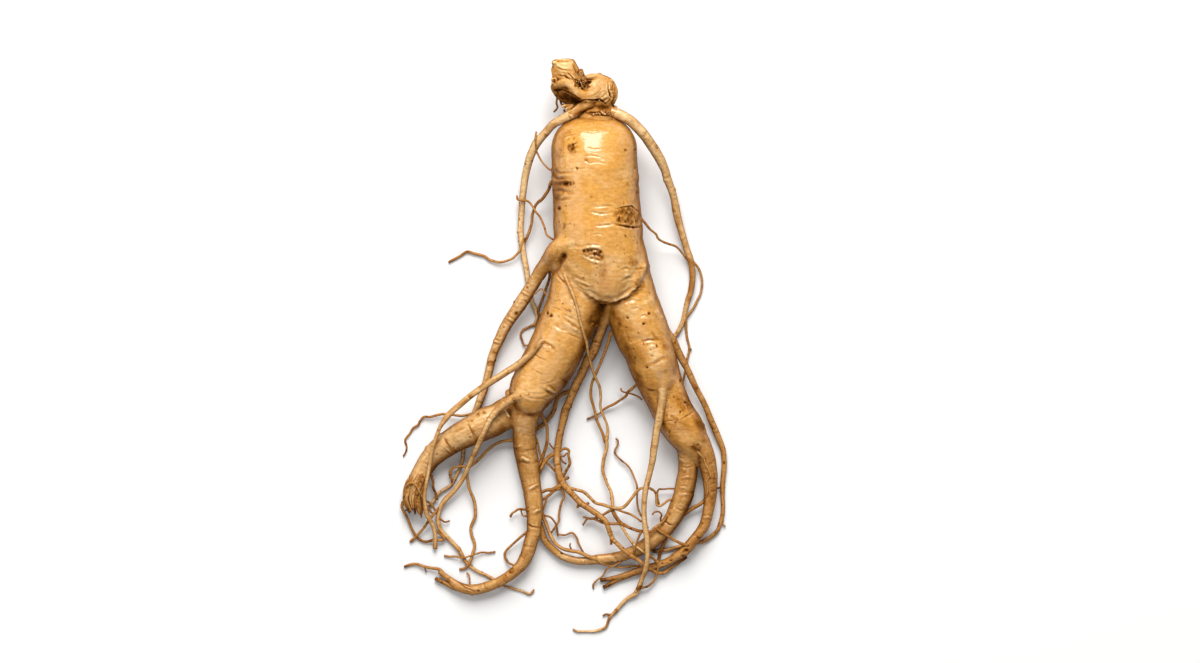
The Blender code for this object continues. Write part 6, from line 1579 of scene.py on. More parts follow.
# Flesh that carries the belly over onto both hips above the rim.
BELLY_FILL_LEFT = [(566, 258, 44, 6.4), (572, 268, 46, 8.2), (578, 278, 47, 8.4),
                   (585, 287.6, 45.4, 7.2), (591, 293, 43, 5)]
BELLY_FILL_RIGHT = [(636.4, 256, 42.4, 5), (637, 264, 43.4, 6.2), (637.8, 273, 44, 6.6),
                    (638, 281, 42.6, 4.8)]
RIM = [(589.6, 296.4, 47), (595.6, 299.4, 46.4), (601.8, 301.6, 45.6), (608.4, 302.4, 45),
       (615, 301.2, 46), (621.2, 298.6, 46.6), (627, 295.2, 47.6), (633.4, 291.4, 48),
       (639.4, 287.4, 47)]
CROTCH = [(611, 290, 46, 7.6), (611, 301, 43, 7.2), (608.6, 310, 36, 6.2), (605.4, 319, 28, 5.6),
          (602, 328, 22.6, 4.8), (599.4, 335, 20.4, 3.4)]
CROTCH_FILL = [(592, 286, 40, 7), (598, 296, 38, 7.0), (601, 305, 31, 6.6), (599.6, 314, 25, 5.6),
               (596, 323, 21, 4.2)]
# The swelling that the thin root leaves on the right thigh.
KNEE_SWELL = [(650, 350, 30, 22), (656.6, 364, 33, 17.8), (661, 373, 36.6, 13), (663.6, 381, 40.4, 8.8),
              (663, 388, 42, 6.3), (662.4, 395, 42.2, 4.6)]

# The crown, as short limbs: table, blend mm.
CROWN_NECK = [(598, 128, 36, 16), (600, 117, 38, 14.6), (601, 109, 39, 13.2), (601, 102, 40, 12.6),
              (600, 96, 41, 12)]
CROWN_KNOB = [(584, 97, 42, 7.5), (590, 93.5, 44, 10), (596.5, 89.5, 44.5, 12.4),
              (602, 88.5, 43.5, 13.2), (604.5, 93, 43, 12.2), (604, 99, 42, 10.2)]
CROWN_STUB = [(586, 96, 40, 10), (579, 89, 40.5, 12.6), (572, 82, 41, 14.6),
              (567, 75, 42, 14.4), (564.6, 68, 43, 13.2), (563.4, 61, 43.6, 11.4),
              (563, 54, 44, 11)]
STUB_FACETS = (
    ((563, 60.6, 44), (-0.05, 0.97, 0.22)), ((563, 67.6, 55.0), (-0.06, 0.58, 0.81)),
    ((563, 68.4, 55.4), (-0.05, -0.14, 0.99)),
    ((557.4, 74, 50.6), (-0.60, -0.12, 0.78)), ((577, 73, 50.0), (0.76, 0.16, 0.62)),
    ((551.6, 70, 40), (-0.95, 0.1, 0.1)), ((577.4, 66, 44), (0.86, 0.46, 0.1)),
)
CROWN_FOLDS = [
    # the twisted band
    ([(554.6, 87, 41, 3.2), (557.4, 85, 46, 4.0), (562, 83.2, 51.4, 4.5), (567.5, 82.8, 55, 4.7),
      (571.8, 85.8, 56, 5), (575, 90.4, 55, 5.4), (580, 94.6, 53.4, 5.8), (587, 96.4, 51.4, 6.2),
      (594, 94.6, 50.4, 7), (601, 91, 50, 7.4)], 0.5),
    # the thin rim behind the hollow
    ([(583.5, 79.5, 45, 2.6), (588, 77.4, 48, 2.8), (593, 76.6, 49.5, 3.2), (599, 77.4, 50, 3.6),
      (604, 80.5, 50, 4.2), (608, 85.5, 49, 4.6)], 0.5),
    # the scar that ends the knob
    ([(612, 84, 44, 3.4), (614.4, 90, 45, 3.4), (614.2, 96, 45, 3.4), (612, 102, 44, 3.2)], 0.35),
    ([(609.4, 85, 49, 2.6), (611.6, 91, 50.4, 2.6), (611, 97.6, 50, 2.6), (608.4, 102, 48.6, 2.4)],
     0.3),
    # the broken top of the old stem
    ([(553.8, 62.6, 43, 2.2), (558, 61, 47, 2.0), (564, 60.6, 49, 1.9), (570, 61, 47.6, 2.2)], 0.3),
    ([(552.4, 68.6, 44, 1.8), (553.2, 72.4, 45, 1.9), (553.6, 76, 45, 1.9)], 0.3),
    ([(552.4, 79.4, 46, 1.9), (555.6, 79, 48.6, 1.7), (558.6, 80.6, 49.6, 1.4)], 0.2),
    ([(552.6, 82.8, 45.6, 1.5), (555.8, 82.8, 48.6, 1.5), (558.4, 82, 50, 1.2)], 0.2),
    # dry scales on the knob
    ([(599, 99.6, 53.4, 1.5), (602, 98, 54.2, 1.7), (605, 95.8, 54.6, 1.5)], 0.2),
    ([(603, 102.4, 51.6, 1.2), (606, 100.6, 52.4, 1.5), (608.6, 98.4, 52.4, 1.2)], 0.2),
    ([(606.4, 80, 50, 3.0), (609.6, 82.4, 49.4, 3.0), (610.8, 85, 48.6, 2.6)], 0.3),
    # dry flakes under the crown, over the left arm
    ([(562.6, 106.6, 44, 1.3), (567, 105.4, 45.6, 1.5), (572.6, 105, 46, 1.4)], 0.2),
    ([(565.6, 109.4, 45, 1.2), (569.4, 107.6, 46.4, 1.5), (574, 106.4, 46.4, 1.2)], 0.2),
    # where the left arm leaves the neck
    ([(603, 105, 40, 6.4), (595, 102.8, 44.6, 6), (587.4, 103.2, 47.4, 5.7), (580.4, 107.2, 48, 5.3),
      (573, 112.8, 47, 4.9), (567, 116.4, 45.6, 4.3), (561, 119.8, 43.6, 3.4)], 0.45),
]
CROWN_BUMPS = [
    # sheet point and height, radii, blend mm
    ((599.4, 75.0, 45), (2.6, 2.2, 3.4), 0.25), ((593, 76, 44), (3.4, 2.4, 3.6), 0.3),
    ((603.2, 77.0, 45), (2.4, 2.2, 3.4), 0.25), ((608.6, 80.6, 45), (3.4, 3.4, 3.6), 0.3),
    ((553.0, 69.2, 42), (2.0, 2.4, 3), 0.3), ((580.8, 71.4, 43), (1.8, 2.2, 2.4), 0.3),
    ((555.6, 61.4, 44), (2.6, 1.8, 3), 0.3), ((615.6, 107.6, 40), (2, 2, 2.6), 0.4),
    ((572.6, 66.6, 47), (2.4, 3, 2.6), 0.5),
    ((554.6, 62.6, 46), (3.0, 2.6, 5), 0.6), ((571.4, 62.4, 46), (3.0, 2.6, 5), 0.6),
    ((611.0, 80.6, 48), (2.6, 2.4, 3), 0.3),
    # dry crumbs in the hollow
    ((576.6, 82.0, 51.5), (1.2, 1.0, 2.6), 0.15), ((578.4, 85.6, 51), (1.3, 0.9, 2.6), 0.15),
    ((580.6, 82.8, 50.5), (1.0, 1.3, 2.6), 0.15), ((582.2, 86.4, 51), (1.2, 0.9, 2.4), 0.15),
    ((584.0, 83.6, 50.5), (1.2, 1.0, 2.6), 0.15), ((579.2, 79.8, 51.5), (1.1, 1.0, 2.4), 0.15),
    ((585.4, 80.8, 51), (1.1, 0.9, 2.4), 0.15),
]


def build_body():
    field = Field((-36.0, -57.0, -1.6), (64.0, 101.5, 35.5), VOXEL)
    field.limb(SHOULDERS, 1.0, depth=TRUNK_DEPTH)
    field.limb(BARREL, 3.0, depth=TRUNK_DEPTH)
    field.limb(LEFT_THIGH_SKIN, 4.4, blend_end=19.0)
    field.limb(RIGHT_THIGH_SKIN, 4.4, blend_end=19.0)
    field.limb(HIP_LEFT, 3.0)
    field.limb(HIP_RIGHT, 3.0)
    field.limb(CROTCH_FILL, 1.2)
    field.limb(CROTCH, 0.6)
    field.limb(KNEE_SWELL, 1.8)
    field.limb(KNEE_INNER, 3.2, blend_end=17.0)
    field.limb(KNEE_OUTER, 3.2, blend_end=17.0)
    field.limb(BELLY_FILL_LEFT, 2.6)
    field.limb(BELLY_FILL_RIGHT, 2.4)
    field.limb(BELLY_LEFT, 1.7)
    field.limb(BELLY_RIGHT, 1.7)
    for x, y, z in RIM:
        field.blob((x, y, z + (7.0 if x < 628 else 3.0)), (3.8, 2.8, 5.4), 0.45)
    field.limb(FLANK_SHOULDER, 1.6, fade=(28.0, 38.0))
    for table, blend, reach, fade in FILLETS:
        field.limb(table, blend, fade=fade, blend_end=reach)
    for point, radius, blend in BODY_NUBS:
        field.blob(point, radius, blend)
    return field.surface()


def build_crown():
    field = Field((-8.5, 90.0, 3.0), (26.0, 124.0, 29.0), CROWN_VOXEL)
    field.limb(CROWN_NECK, 0.8)
    field.limb([(590, 120, 37, 13), (589, 112, 38, 11), (592, 105, 38, 8)], 0.8)
    field.limb(CROWN_LOBE, 0.5)
    field.limb(CROWN_STUB, 0.7, planes=STUB_FACETS)
    field.limb(CROWN_KNOB, 0.5)
    field.blob((581.5, 84.6, 58.5), (7.6, 4.8, 10), 0.5, cut=True)
    for table, blend in CROWN_FOLDS:
        field.limb(table, blend, step=1.0)
    for point, radius, blend in CROWN_BUMPS:
        field.blob(point, radius, blend)
    for x, y in ((587, 83.6), (588.6, 82.8), (590.2, 82.0)):
        field.blob((x, y, 56), (1.5, 0.8, 7), 0.15, cut=True)
    # the collar of dry scales where the neck sinks into the trunk
    rng = np.random.default_rng(5)
    for x in np.linspace(586, 613, 22):
        y = 113.6 + 0.006 * (x - 600) ** 2 + rng.uniform(-1.6, 1.2)
        z = 38.6 + math.sqrt(max(14.2 ** 2 - (x - 600.5) ** 2, 4.0)) + rng.uniform(-0.4, 0.6)
        field.blob((x, y, z), (rng.uniform(0.8, 1.7), rng.uniform(0.7, 1.3), 1.5), 0.15)
    return field.surface()


def relax(points, quads, rounds=2, keep=0.5):
    """Evens out the field's stair steps."""
    edges = np.concatenate([quads[:, [0, 1]], quads[:, [1, 2]], quads[:, [2, 3]], quads[:, [3, 0]]])
    count = np.bincount(edges[:, 0], minlength=len(points)) + np.bincount(
        edges[:, 1], minlength=len(points))
    for _ in range(rounds):
        total = np.zeros_like(points)
        for axis in range(3):
            total[:, axis] = (np.bincount(edges[:, 0], weights=points[edges[:, 1], axis],
                                          minlength=len(points))
                              + np.bincount(edges[:, 1], weights=points[edges[:, 0], axis],
                                            minlength=len(points)))
        mean = total / np.maximum(count, 1)[:, None]
        points = points + (mean - points) * keep
    return points


def hollows(points, quads, normal, rounds):
    """How far each point lies under (+) or over (-) its neighbourhood, in mm."""
    smooth = relax(points, quads, rounds, 0.6)
    return np.einsum("ij,ij->i", smooth - points, normal)


def turned(points, degrees):
    c, s = math.cos(math.radians(degrees)), math.sin(math.radians(degrees))
    return np.stack([points[:, 0] * c + points[:, 1] * s, -points[:, 0] * s + points[:, 1] * c,
                     points[:, 2]], 1)


def outward(points, quads):
    normal = vertex_normals(points, quads)
    if normal[np.argmax(points[:, 2]), 2] < 0:
        quads = quads[:, ::-1]
        normal = -normal
    return quads, normal


def carve_crown(points, quads):
    """The stringy, dry skin of the crown, with painted shade in its hollows and painted highlights on its ridges."""
    points = relax(points, quads, 2, 0.5)
    quads, normal = outward(points, quads)
    px, py = to_sheet(points)
    up = smoothstep(-0.2, 0.25, normal[:, 2])
    n = len(points)
    warp = np.stack([noise(points, 4.5, 8), noise(points, 4.5, 9), noise(points, 4.5, 10)], 1)
    bent = points + 0.9 * warp
    along = noise(turned(bent, 118.0), 0.75, 21, 3, (5.0, 1.0, 2.0))
    across = noise(turned(bent, 32.0), 0.75, 22, 3, (5.0, 1.0, 2.0))
    stub = 1.0 - smoothstep(572, 584, px + 0.6 * (py - 80))
    string = along * stub + across * (1.0 - stub)
    lift = (0.06 + 0.04 * stub) * string + 0.15 * noise(points, 2.6, 6, 2)
    brown = np.full(n, 0.08) + 0.15 * smoothstep(0.05, 0.7, -string)
    pale = 0.4 * smoothstep(0.1, 0.7, string)
    rough = np.full(n, 0.05)
    neck = smoothstep(103, 109, py) * (1.0 - smoothstep(44, 50, points[:, 2] / UNIT))
    lift += 0.16 * noise(points, 0.9, 31, 3) * neck
    # darker on the neck below the crown: painted shade
    brown += 0.15 * neck
    apply_marks(CROWN_MARKS, px, py, up, points, lift, brown, pale, rough)
    points = points + normal * lift[:, None]
    normal = vertex_normals(points, quads)
    sunk = hollows(points, quads, normal, 10)
    # darker in the hollows and on faces turned down, paler on the ridges: painted shade and painted highlights
    brown += 0.55 * smoothstep(0.01, 0.16, sunk)
    pale += 0.95 * smoothstep(0.02, 0.16, -sunk)
    wide = hollows(points, quads, normal, 45)
    brown += 1.0 * smoothstep(0.03, 0.55, wide)
    pale += 0.8 * smoothstep(0.05, 0.5, -wide)
    brown += 0.40 * (1.0 - smoothstep(-0.1, 0.65, normal[:, 2]))
    brown -= 0.55 * smoothstep(0.03, 0.3, -sunk)
    # the alpha darkens the steep sides: painted shade
    side = 1.0 - smoothstep(0.05, 0.75, normal[:, 2])
    return points, quads, brown, pale, rough, side


def carve_body(points, quads):
    """Small relief, stains, painted shade and painted highlights of the trunk and the thighs."""
    points = relax(points, quads, 3, 0.5)
    quads, normal = outward(points, quads)
    px, py = to_sheet(points)
    up = smoothstep(-0.05, 0.3, normal[:, 2])
    n = len(points)
    lift = np.zeros(n)
    brown = np.full(n, 0.03)
    pale = np.zeros(n)
    rough = np.full(n, 0.06)
    trunk = smoothstep(115, 119, py) * (1.0 - smoothstep(280, 300, py))
    legs = smoothstep(285, 300, py)
    # broad unevenness
    lift += 0.42 * noise(points, 13.0, 3, 2)
    lift += 0.15 * noise(points, 3.6, 5, 2)
    lift += 0.035 * noise(points, 1.2, 71, 2)
    # transverse wrinkles of the trunk: strongest at the flanks
    bent = points + 1.2 * np.stack([0 * px, noise(points, 7.0, 18), 0 * px], 1)
    wrinkle = noise(bent, 1.3, 11, 3, (6.0, 1.0, 3.0))
    side_x = np.abs(px - 597) / 46.0
    band = (np.exp(-((py - 180) / 24) ** 2) * (0.45 + 1.3 * smoothstep(0.4, 0.95, side_x))
            + 0.75 * np.exp(-((py - 222) / 15) ** 2)
            + 0.75 * np.exp(-((py - 256) / 12) ** 2)
            + 0.15)
    lift += 0.13 * wrinkle * band * trunk
    brown += 0.42 * smoothstep(0.15, 0.7, -wrinkle) * np.clip(band - 0.4, 0, 1) * trunk * (
        0.25 + 0.75 * smoothstep(0.5, 0.95, side_x))
    # on the thighs the wrinkles run across, the fine streaks along
    left = 1.0 - smoothstep(598, 612, px)
    lift += 0.10 * noise(turned(bent, -28.0), 3.0, 73, 2, (2.2, 1.0, 2.0)) * legs
    legwr = (noise(turned(bent, -28.0), 1.3, 13, 3, (4.0, 1.0, 3.0)) * left
             + noise(turned(bent, 22.0), 1.3, 14, 3, (4.0, 1.0, 3.0)) * (1 - left))
    lift += 0.075 * legwr * legs
    streak = (noise(turned(points, 62.0), 0.8, 15, 2, (7.0, 1.0, 1.0)) * left
              + noise(turned(points, -66.0), 0.8, 16, 2, (7.0, 1.0, 1.0)) * (1 - left))
    brown += 0.16 * smoothstep(0.2, 0.8, streak) * legs
    # painted shade on the steep sides and below, with blotchy soil stain
    blotch = noise(points, 5.0, 33, 3)
    steep = 1.0 - smoothstep(-0.1, 0.6, normal[:, 2])
    brown += 0.20 * steep * (0.8 + 0.9 * blotch)
    brown += 0.30 * smoothstep(0.1, 0.75, blotch) * smoothstep(0.0, 0.6, noise(points, 14.0, 34, 2)
                                                               + 0.5 * steep)
    pale += 0.40 * smoothstep(0.05, 0.7, -noise(points, 6.0, 41, 3))
    # small dark freckles
    freckle = noise(points, 0.9, 55, 1)
    spots = smoothstep(0.60, 0.82, freckle) * smoothstep(-0.2, 0.5, noise(points, 9.0, 57, 2))
    brown += 0.5 * spots * (1.0 + 0.6 * legs)
    lift -= 0.05 * spots
    apply_marks(BODY_MARKS, px, py, up, points, lift, brown, pale, rough)
    lift[points[:, 2] < 0.12] = 0.0
    points = points + normal * lift[:, None]
    points[:, 2] = np.maximum(points[:, 2], 0.02)
    normal = vertex_normals(points, quads)
    sunk = hollows(points, quads, normal, 8)
    # darker in small and wide hollows: painted shade; paler on small ridges: painted highlights
    brown += 0.30 * smoothstep(0.06, 0.30, sunk)
    pale += 0.45 * smoothstep(0.04, 0.24, -sunk)
    wide = hollows(points, quads, normal, 40)
    brown += 0.45 * smoothstep(0.25, 1.3, wide)
    # the alpha darkens the steep sides: painted shade
    side = 1.0 - smoothstep(0.10, 0.95, normal[:, 2])
    return points, quads, brown, pale, rough, side, limb_tone(points)


def limb_tone(points):
    """1 where the trunk's skin has turned into a limb's skin, 0 on the trunk itself."""
    tone = np.zeros(len(points))
    runs = [(table, fade) for table, _, _, fade in FILLETS]
    runs += [(KNEE_INNER, (14.0, 20.0)), (KNEE_OUTER, (14.0, 22.0))]
    for table, fade in runs:
        centre, radius, arc = resample(table, 1.5)
        keep = arc < fade[1] + 3
        centre, radius, arc = centre[keep], radius[keep], arc[keep]
        reach = radius.max() + 4.0
        near = np.nonzero(np.all((points > centre.min(0) - reach)
                                 & (points < centre.max(0) + reach), axis=1))[0]
        if not len(near):
            continue
        gap = np.linalg.norm(points[near][:, None, :] - centre[None, :, :], axis=2)
        k = np.argmin(gap / radius[None, :], axis=1)
        close = 1.0 - smoothstep(1.05, 1.6, gap[np.arange(len(near)), k] / radius[k])
        tone[near] = np.maximum(tone[near], close * smoothstep(0.25 * fade[0], fade[0], arc[k]))
    return tone


def fibres(count, seed, low, high, aim, length, radius, shade, stray=0.55):
    """Loose fibres in a torn place: sheet points and heights between low and high."""
    rng = np.random.default_rng(seed)
    made = []
    for k in range(count):
        at = rng.uniform(low, high)
        way = np.array(aim, dtype=float) + rng.normal(0.0, stray, 3)
        way /= np.linalg.norm(way)
        reach = rng.uniform(*length)
        bend = rng.normal(0.0, 0.45 * stray * reach, 3)
        rows = [tuple(at + way * reach * t + bend * t * t) for t in (0.0, 0.4, 0.75, 1.0)]
        r = rng.uniform(*radius)
        table = [(x, y, z, r * f) for (x, y, z), f in zip(rows, (1.0, 1.0, 0.8, 0.45))]
        made.append(sweep(table, 6, 0.25, seed + k, {
            "brown": rng.uniform(*shade), "ring": 0.0, "nubs": 99.0, "specks": 6.0, "tail": 0.1,
            "wobble": 0.15, "sway": 0.3, "under": 0.1}))
    return made


def torn_end():
    """The strands that stand round the forearm's broken end, open to the far side."""
    rng = np.random.default_rng(77)
    made = []
    for k in range(34):
        turn = math.radians(-115 + 230 * k / 33.0 + rng.uniform(-5, 5))
        first = rng.uniform(474, 484)
        last = rng.uniform(497, 512) + 7.0 * max(0.0, math.sin(turn))
        out = rng.uniform(8.2, 9.8)
        thick = rng.uniform(1.0, 1.9)
        rows = []
        for t in np.linspace(0.0, 1.0, 6):
            y = first + (last - first) * t
            axis_x = np.interp(y, [474, 479, 490, 500, 520], [421, 418.5, 414.4, 412.4, 416.5])
            r = out * (1.0 - 0.34 * t * t) + 0.8 * math.sin(5.0 * t + k)
            x = axis_x + r * math.sin(turn) + 0.6 * math.sin(3.1 * t + 2.0 * k)
            z = max(2.0, 10.4 + r * math.cos(turn) - 0.6 * t)
            rows.append((x, y, z, thick * (0.5 + 0.9 * math.sin(math.pi * min(1.0, 0.25 + 0.7 * t)))))
        dark = rng.random() < 0.25
        made.append(sweep(rows, 8, 0.3, 700 + k, {
            "brown": rng.uniform(0.12, 0.3) if dark else rng.uniform(0.0, 0.12),
            "pale": 0.0 if dark else rng.uniform(0.1, 0.5), "ring": 0.02, "nubs": 99.0,
            "specks": 4.0, "tail": 0.25, "wobble": 0.12, "sway": 0.25, "under": 0.1}))
    return made


# ---------------------------------------------------------------- material
def mix_colour(nodes, links, factor, one, two):
    node = nodes.new("ShaderNodeMix")
    node.data_type = "RGBA"
    for socket, value in ((node.inputs["Factor"], factor), (node.inputs[6], one),
                          (node.inputs[7], two)):
        if isinstance(value, bpy.types.NodeSocket):
            links.new(value, socket)
        else:
            socket.default_value = value
    return node.outputs[2]


def maths(nodes, links, operation, one, two=0.0, clamp=False):
    node = nodes.new("ShaderNodeMath")
    node.operation = operation
    node.use_clamp = clamp
    for socket, value in ((node.inputs[0], one), (node.inputs[1], two)):
        if isinstance(value, bpy.types.NodeSocket):
            links.new(value, socket)
        else:
            socket.default_value = value
    return node.outputs[0]


def shader_noise(nodes, links, coords, scale, detail=3.0, stretch=(1, 1, 1), rough=0.55):
    mapping = nodes.new("ShaderNodeMapping")
    mapping.inputs["Scale"].default_value = stretch
    links.new(coords, mapping.inputs["Vector"])
    node = nodes.new("ShaderNodeTexNoise")
    node.inputs["Scale"].default_value = scale
    node.inputs["Detail"].default_value = detail
    node.inputs["Roughness"].default_value = rough
    links.new(mapping.outputs["Vector"], node.inputs["Vector"])
    return node.outputs["Fac"]


def ramp(nodes, links, value, low, high):
    node = nodes.new("ShaderNodeMapRange")
    node.interpolation_type = "SMOOTHSTEP"
    node.inputs["From Min"].default_value = low
    node.inputs["From Max"].default_value = high
    links.new(value, node.inputs["Value"])
    return node.outputs["Result"]


def skin_material(name, brown, gloss, wrinkle, film, relief):
    light, dark = LIGHT, DARK
    material = bpy.data.materials.new(name)
    material.use_nodes = True
    nodes, links = material.node_tree.nodes, material.node_tree.links
    shader = nodes["Principled BSDF"]
    coords = nodes.new("ShaderNodeTexCoord").outputs["Object"]
    painted = nodes.new("ShaderNodeAttribute")
    painted.attribute_name = "skin"
    split = nodes.new("ShaderNodeSeparateColor")
    links.new(painted.outputs["Color"], split.inputs["Color"])
    # red: brown stains with painted shade; green: pale dry skin with painted highlights; blue: roughness; alpha:
    # painted shade on the steep sides
    stain, pale_and_highlight, coarse = split.outputs[0], split.outputs[1], split.outputs[2]
    flank = painted.outputs["Alpha"]

    patches = ramp(nodes, links, shader_noise(nodes, links, coords, 120.0, 4.0), 0.35, 0.68)
    grain = shader_noise(nodes, links, coords, 900.0, 4.0, (0.5, 1.0, 0.8))
    fine = shader_noise(nodes, links, coords, 2600.0, 3.0, (0.6, 1.0, 1.0))
    speck = ramp(nodes, links, shader_noise(nodes, links, coords, 1700.0, 1.0), 0.66, 0.76)

    shade = nodes.new("ShaderNodeAttribute")
    shade.attribute_name = "tone"
    shade = shade.outputs["Fac"]
    base = mix_colour(nodes, links, patches, mix_colour(nodes, links, shade, TAN, TAN_LIMB),
                      mix_colour(nodes, links, shade, GOLD, GOLD_LIMB))
    pale = maths(nodes, links, "MULTIPLY", ramp(nodes, links, grain, 0.5, 0.8), 0.35)
    pale = maths(nodes, links, "ADD", pale, pale_and_highlight, clamp=True)
    base = mix_colour(nodes, links, pale, base, light)
    stain_and_shade = maths(nodes, links, "MULTIPLY", ramp(nodes, links, grain, 0.62, 0.36), 0.16)
    stain_and_shade = maths(nodes, links, "ADD", stain_and_shade, maths(nodes, links, "MULTIPLY", speck, 0.22))
    mottle = maths(nodes, links, "ADD", maths(nodes, links, "MULTIPLY", grain, 0.9), 0.55)
    stain_and_shade = maths(nodes, links, "ADD", stain_and_shade, maths(nodes, links, "MULTIPLY", stain, mottle),
                 clamp=True)
    base = mix_colour(nodes, links, ramp(nodes, links, stain_and_shade, 0.0, 0.45), base,
                      mix_colour(nodes, links, shade, AMBER, AMBER_LIMB))
    # the steep sides take the painted side shade colour
    base = mix_colour(nodes, links, maths(nodes, links, "MULTIPLY", flank, 0.92), base,
                      mix_colour(nodes, links, stain_and_shade, SHADED_SIDE, brown))
    base = mix_colour(nodes, links, ramp(nodes, links, stain_and_shade, 0.32, 0.82), base, brown)
    base = mix_colour(nodes, links, ramp(nodes, links, stain_and_shade, 0.72, 1.0), base, dark)
    links.new(base, shader.inputs["Base Color"])

    level = maths(nodes, links, "ADD", gloss + 0.15,
                  maths(nodes, links, "MULTIPLY", coarse, 0.35))
    level = maths(nodes, links, "ADD", level, maths(nodes, links, "MULTIPLY", fine, 0.12))
    level = maths(nodes, links, "ADD", level, maths(nodes, links, "MULTIPLY", flank, 0.15))
    level = maths(nodes, links, "ADD", level, maths(nodes, links, "MULTIPLY", stain, 0.08),
                  clamp=True)
    links.new(level, shader.inputs["Roughness"])

    height = maths(nodes, links, "MULTIPLY", grain, 0.6)
    height = maths(nodes, links, "ADD", height, maths(nodes, links, "MULTIPLY", fine, 0.25))
    lines = shader_noise(nodes, links, coords, 420.0, 3.0, wrinkle, 0.5)
    height = maths(nodes, links, "ADD", height, maths(nodes, links, "MULTIPLY", lines, 1.0))
    bump = nodes.new("ShaderNodeBump")
    bump.inputs["Strength"].default_value = relief
    bump.inputs["Distance"].default_value = 0.00032
    links.new(height, bump.inputs["Height"])
    links.new(bump.outputs["Normal"], shader.inputs["Normal"])

    shader.inputs["Subsurface Weight"].default_value = 0.10
    shader.inputs["Subsurface Radius"].default_value = (1.0, 0.45, 0.2)
    shader.inputs["Subsurface Scale"].default_value = 0.0016
    shader.inputs["Specular IOR Level"].default_value = 0.0
    shader.inputs["Specular Tint"].default_value = (1.0, 0.90, 0.74, 1.0)
    # the waxy outer skin: a thin, dense film that shines more head-on than at the edges
    clean = maths(nodes, links, "MULTIPLY_ADD", ramp(nodes, links, stain_and_shade, 0.25, 0.85), -0.9 * film)
    clean.node.inputs[2].default_value = film
    links.new(clean, shader.inputs["Coat Weight"])
    shader.inputs["Coat IOR"].default_value = 3.6
    shader.inputs["Coat Roughness"].default_value = gloss
    return material


def slim(obj, most):
    """Keeps a mesh under a number of triangles."""
    count = len(obj.data.polygons)
    print(obj.name, "triangles", count)
    if count <= most:
        return
    thin = obj.modifiers.new("thin", "DECIMATE")
    thin.ratio = most / count
    graph = bpy.context.evaluated_depsgraph_get()
    mesh = bpy.data.meshes.new_from_object(obj.evaluated_get(graph))
    obj.modifiers.clear()
    obj.data = mesh
    mesh.shade_smooth()


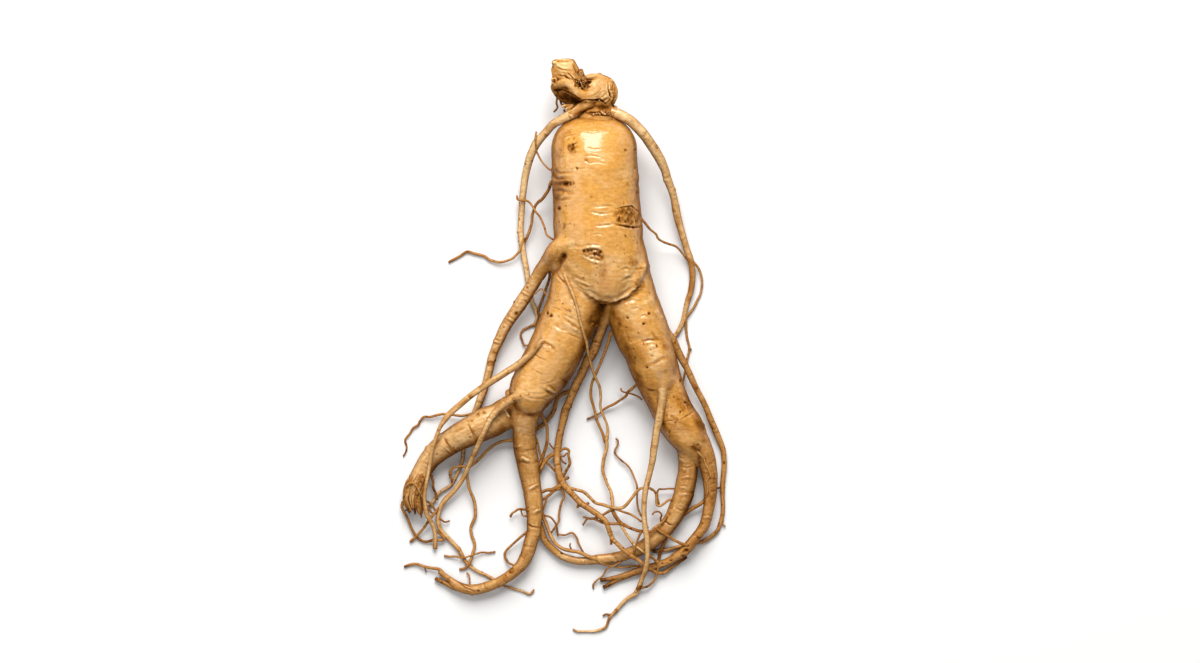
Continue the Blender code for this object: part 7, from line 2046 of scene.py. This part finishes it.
def main():
    for name in ("Cube", "Light", "Camera"):
        if name in bpy.data.objects:
            bpy.data.objects.remove(bpy.data.objects[name], do_unlink=True)
    skin = skin_material("root_skin_body", BROWN, 0.16, (0.12, 1.0, 0.5), 0.18, 0.55)
    skin_dry = skin_material("root_skin_crown", BROWN, 0.26, (0.5, 0.8, 0.6), 0.04, 0.6)
    skin_long = skin_material("root_skin_limbs", BROWN, 0.28, (0.35, 1.0, 0.6), 0.08, 0.65)
    skin_hair = skin_material("root_skin_rootlets", BROWN_HAIR, 0.36, (0.6, 1.0, 0.8), 0.04, 0.6)

    points, quads = build_body()
    points, quads, brown, pale, rough, side, tone = carve_body(points, quads)
    body = write_mesh("root_body", points, np.concatenate([quads[:, [0, 1, 2]], quads[:, [0, 2, 3]]]),
                      skin_array(brown, pale, rough, side), tone)
    slim(body, 192000)
    body.data.materials.append(skin)

    points, quads = build_crown()
    points, quads, brown, pale, rough, side = carve_crown(points, quads)
    crown = write_mesh("root_crown", points,
                       np.concatenate([quads[:, [0, 1, 2]], quads[:, [0, 2, 3]]]),
                       skin_array(brown, pale, rough, side), 0.7 * np.ones(len(points)))
    slim(crown, 150000)
    crown.data.materials.append(skin_dry)

    thick, slender = [], []
    for seed, (name, (table, sides, step, style)) in enumerate(LIMB_STYLES.items()):
        table = table[style.get("skip", 0):]
        limb = sweep(table, sides, step, seed + 3, style, LIMB_MARKS.get(name, ()))
        (thick if sides > 40 else slender).append(limb)
    legs = bundle("root_legs", thick)
    legs.data.materials.append(skin_long)
    arms = bundle("root_arms_and_tails", slender)
    arms.data.materials.append(skin_long)

    thin = []
    for seed, (name, (table, shade)) in enumerate(STRANDS.items()):
        thin.append(sweep(table, 12, 0.32, seed + 40, {
            "brown": 0.45 * shade, "ring": 0.04, "gap": 2.6, "nubs": 14.0, "specks": 9.0,
            "pale": 0.4 * max(0.0, 0.5 - shade), "streak": 0.15, "blot": 0.18,
            "wobble": 0.09, "sway": 0.22, "tail": 0.35, "under": 0.2, "ringbrown": 0.15}))
    for seed, (name, (r0, r1, shade, points_)) in enumerate(HAIRS.items()):
        count = len(points_)
        table = [(x, y, z, r0 + (r1 - r0) * i / (count - 1)) for i, (x, y, z) in enumerate(points_)]
        thin.append(sweep(table, 8, 0.30, seed + 80, {
            "brown": 0.45 * shade, "ring": 0.03, "gap": 2.4, "nubs": 16.0, "specks": 9.0,
            "wobble": 0.14, "sway": 0.32, "tail": 0.2, "under": 0.15, "ringbrown": 0.3}))
    # torn fibres in the crown's hollow and at the broken end of the forearm
    thin += fibres(34, 301, (573, 78.5, 50), (588, 88, 53.5), (0.3, 0.2, 0.35), (3.0, 6.5),
                   (0.35, 0.75), (0.0, 0.55))
    thin += fibres(10, 351, (594, 110.5, 51), (612, 114.5, 53), (0.8, 0.5, 0.2), (2.0, 4.5),
                   (0.4, 0.8), (0.1, 0.5))
    thin += torn_end()
    thin += fibres(22, 451, (406.0, 494, 6), (418, 508, 15), (0.2, 1.0, -0.05), (4.0, 9.0),
                   (0.5, 1.1), (0.2, 0.9), 0.22)
    rootlets = bundle("root_rootlets", thin)
    rootlets.data.materials.append(skin_hair)

    for piece in (body, crown, legs, arms, rootlets):
        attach(piece, "root")
        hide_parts("ginseng_root")
        print(piece.name, len(piece.data.polygons), "faces")

    # -------------------------------------------------------- floor, light, camera
    mesh = bpy.data.meshes.new("floor")
    mesh.from_pydata([(-3, -3, 0), (3, -3, 0), (3, 3, 0), (-3, 3, 0)], [], [(0, 1, 2, 3)])
    floor = bpy.data.objects.new("floor", mesh)
    bpy.context.scene.collection.objects.link(floor)
    paint = bpy.data.materials.new("floor_paint")
    paint.use_nodes = True
    shader = paint.node_tree.nodes["Principled BSDF"]
    shader.inputs["Base Color"].default_value = (0.93, 0.93, 0.93, 1.0)
    shader.inputs["Roughness"].default_value = 0.8
    shader.inputs["Specular IOR Level"].default_value = 0.1
    mesh.materials.append(paint)

    world = bpy.data.worlds.new("studio")
    bpy.context.scene.world = world
    world.use_nodes = True
    world.node_tree.nodes["Background"].inputs["Color"].default_value = (1.0, 0.99, 0.975, 1.0)
    world.node_tree.nodes["Background"].inputs["Strength"].default_value = WORLD_LIGHT

    for name, at, aim, size_x, size_y, power, tint in LIGHTS:
        data = bpy.data.lights.new(name, "AREA")
        data.shape = "RECTANGLE"
        data.size = size_x
        data.size_y = size_y
        data.energy = power
        data.color = tint
        lamp = bpy.data.objects.new(name, data)
        lamp.location = at
        lamp.rotation_euler = (Vector(aim) - Vector(at)).to_track_quat("-Z", "Y").to_euler()
        bpy.context.scene.collection.objects.link(lamp)

    data = bpy.data.cameras.new("camera")
    data.lens = 200.0
    data.sensor_width = 36.0
    data.clip_start = 0.05
    camera = bpy.data.objects.new("camera", data)
    camera.location = ((600.0 - ORIGIN[0]) * UNIT * MM, (ORIGIN[1] - 331.5) * UNIT * MM,
                       EYE_HEIGHT * MM)
    camera.rotation_euler = (0.0, 0.0, 0.0)
    bpy.context.scene.collection.objects.link(camera)
    bpy.context.scene.camera = camera
    bpy.context.scene.view_settings.view_transform = "Standard"
    bpy.context.scene.view_settings.look = "None"


main()
bpy.context.view_layer.update()
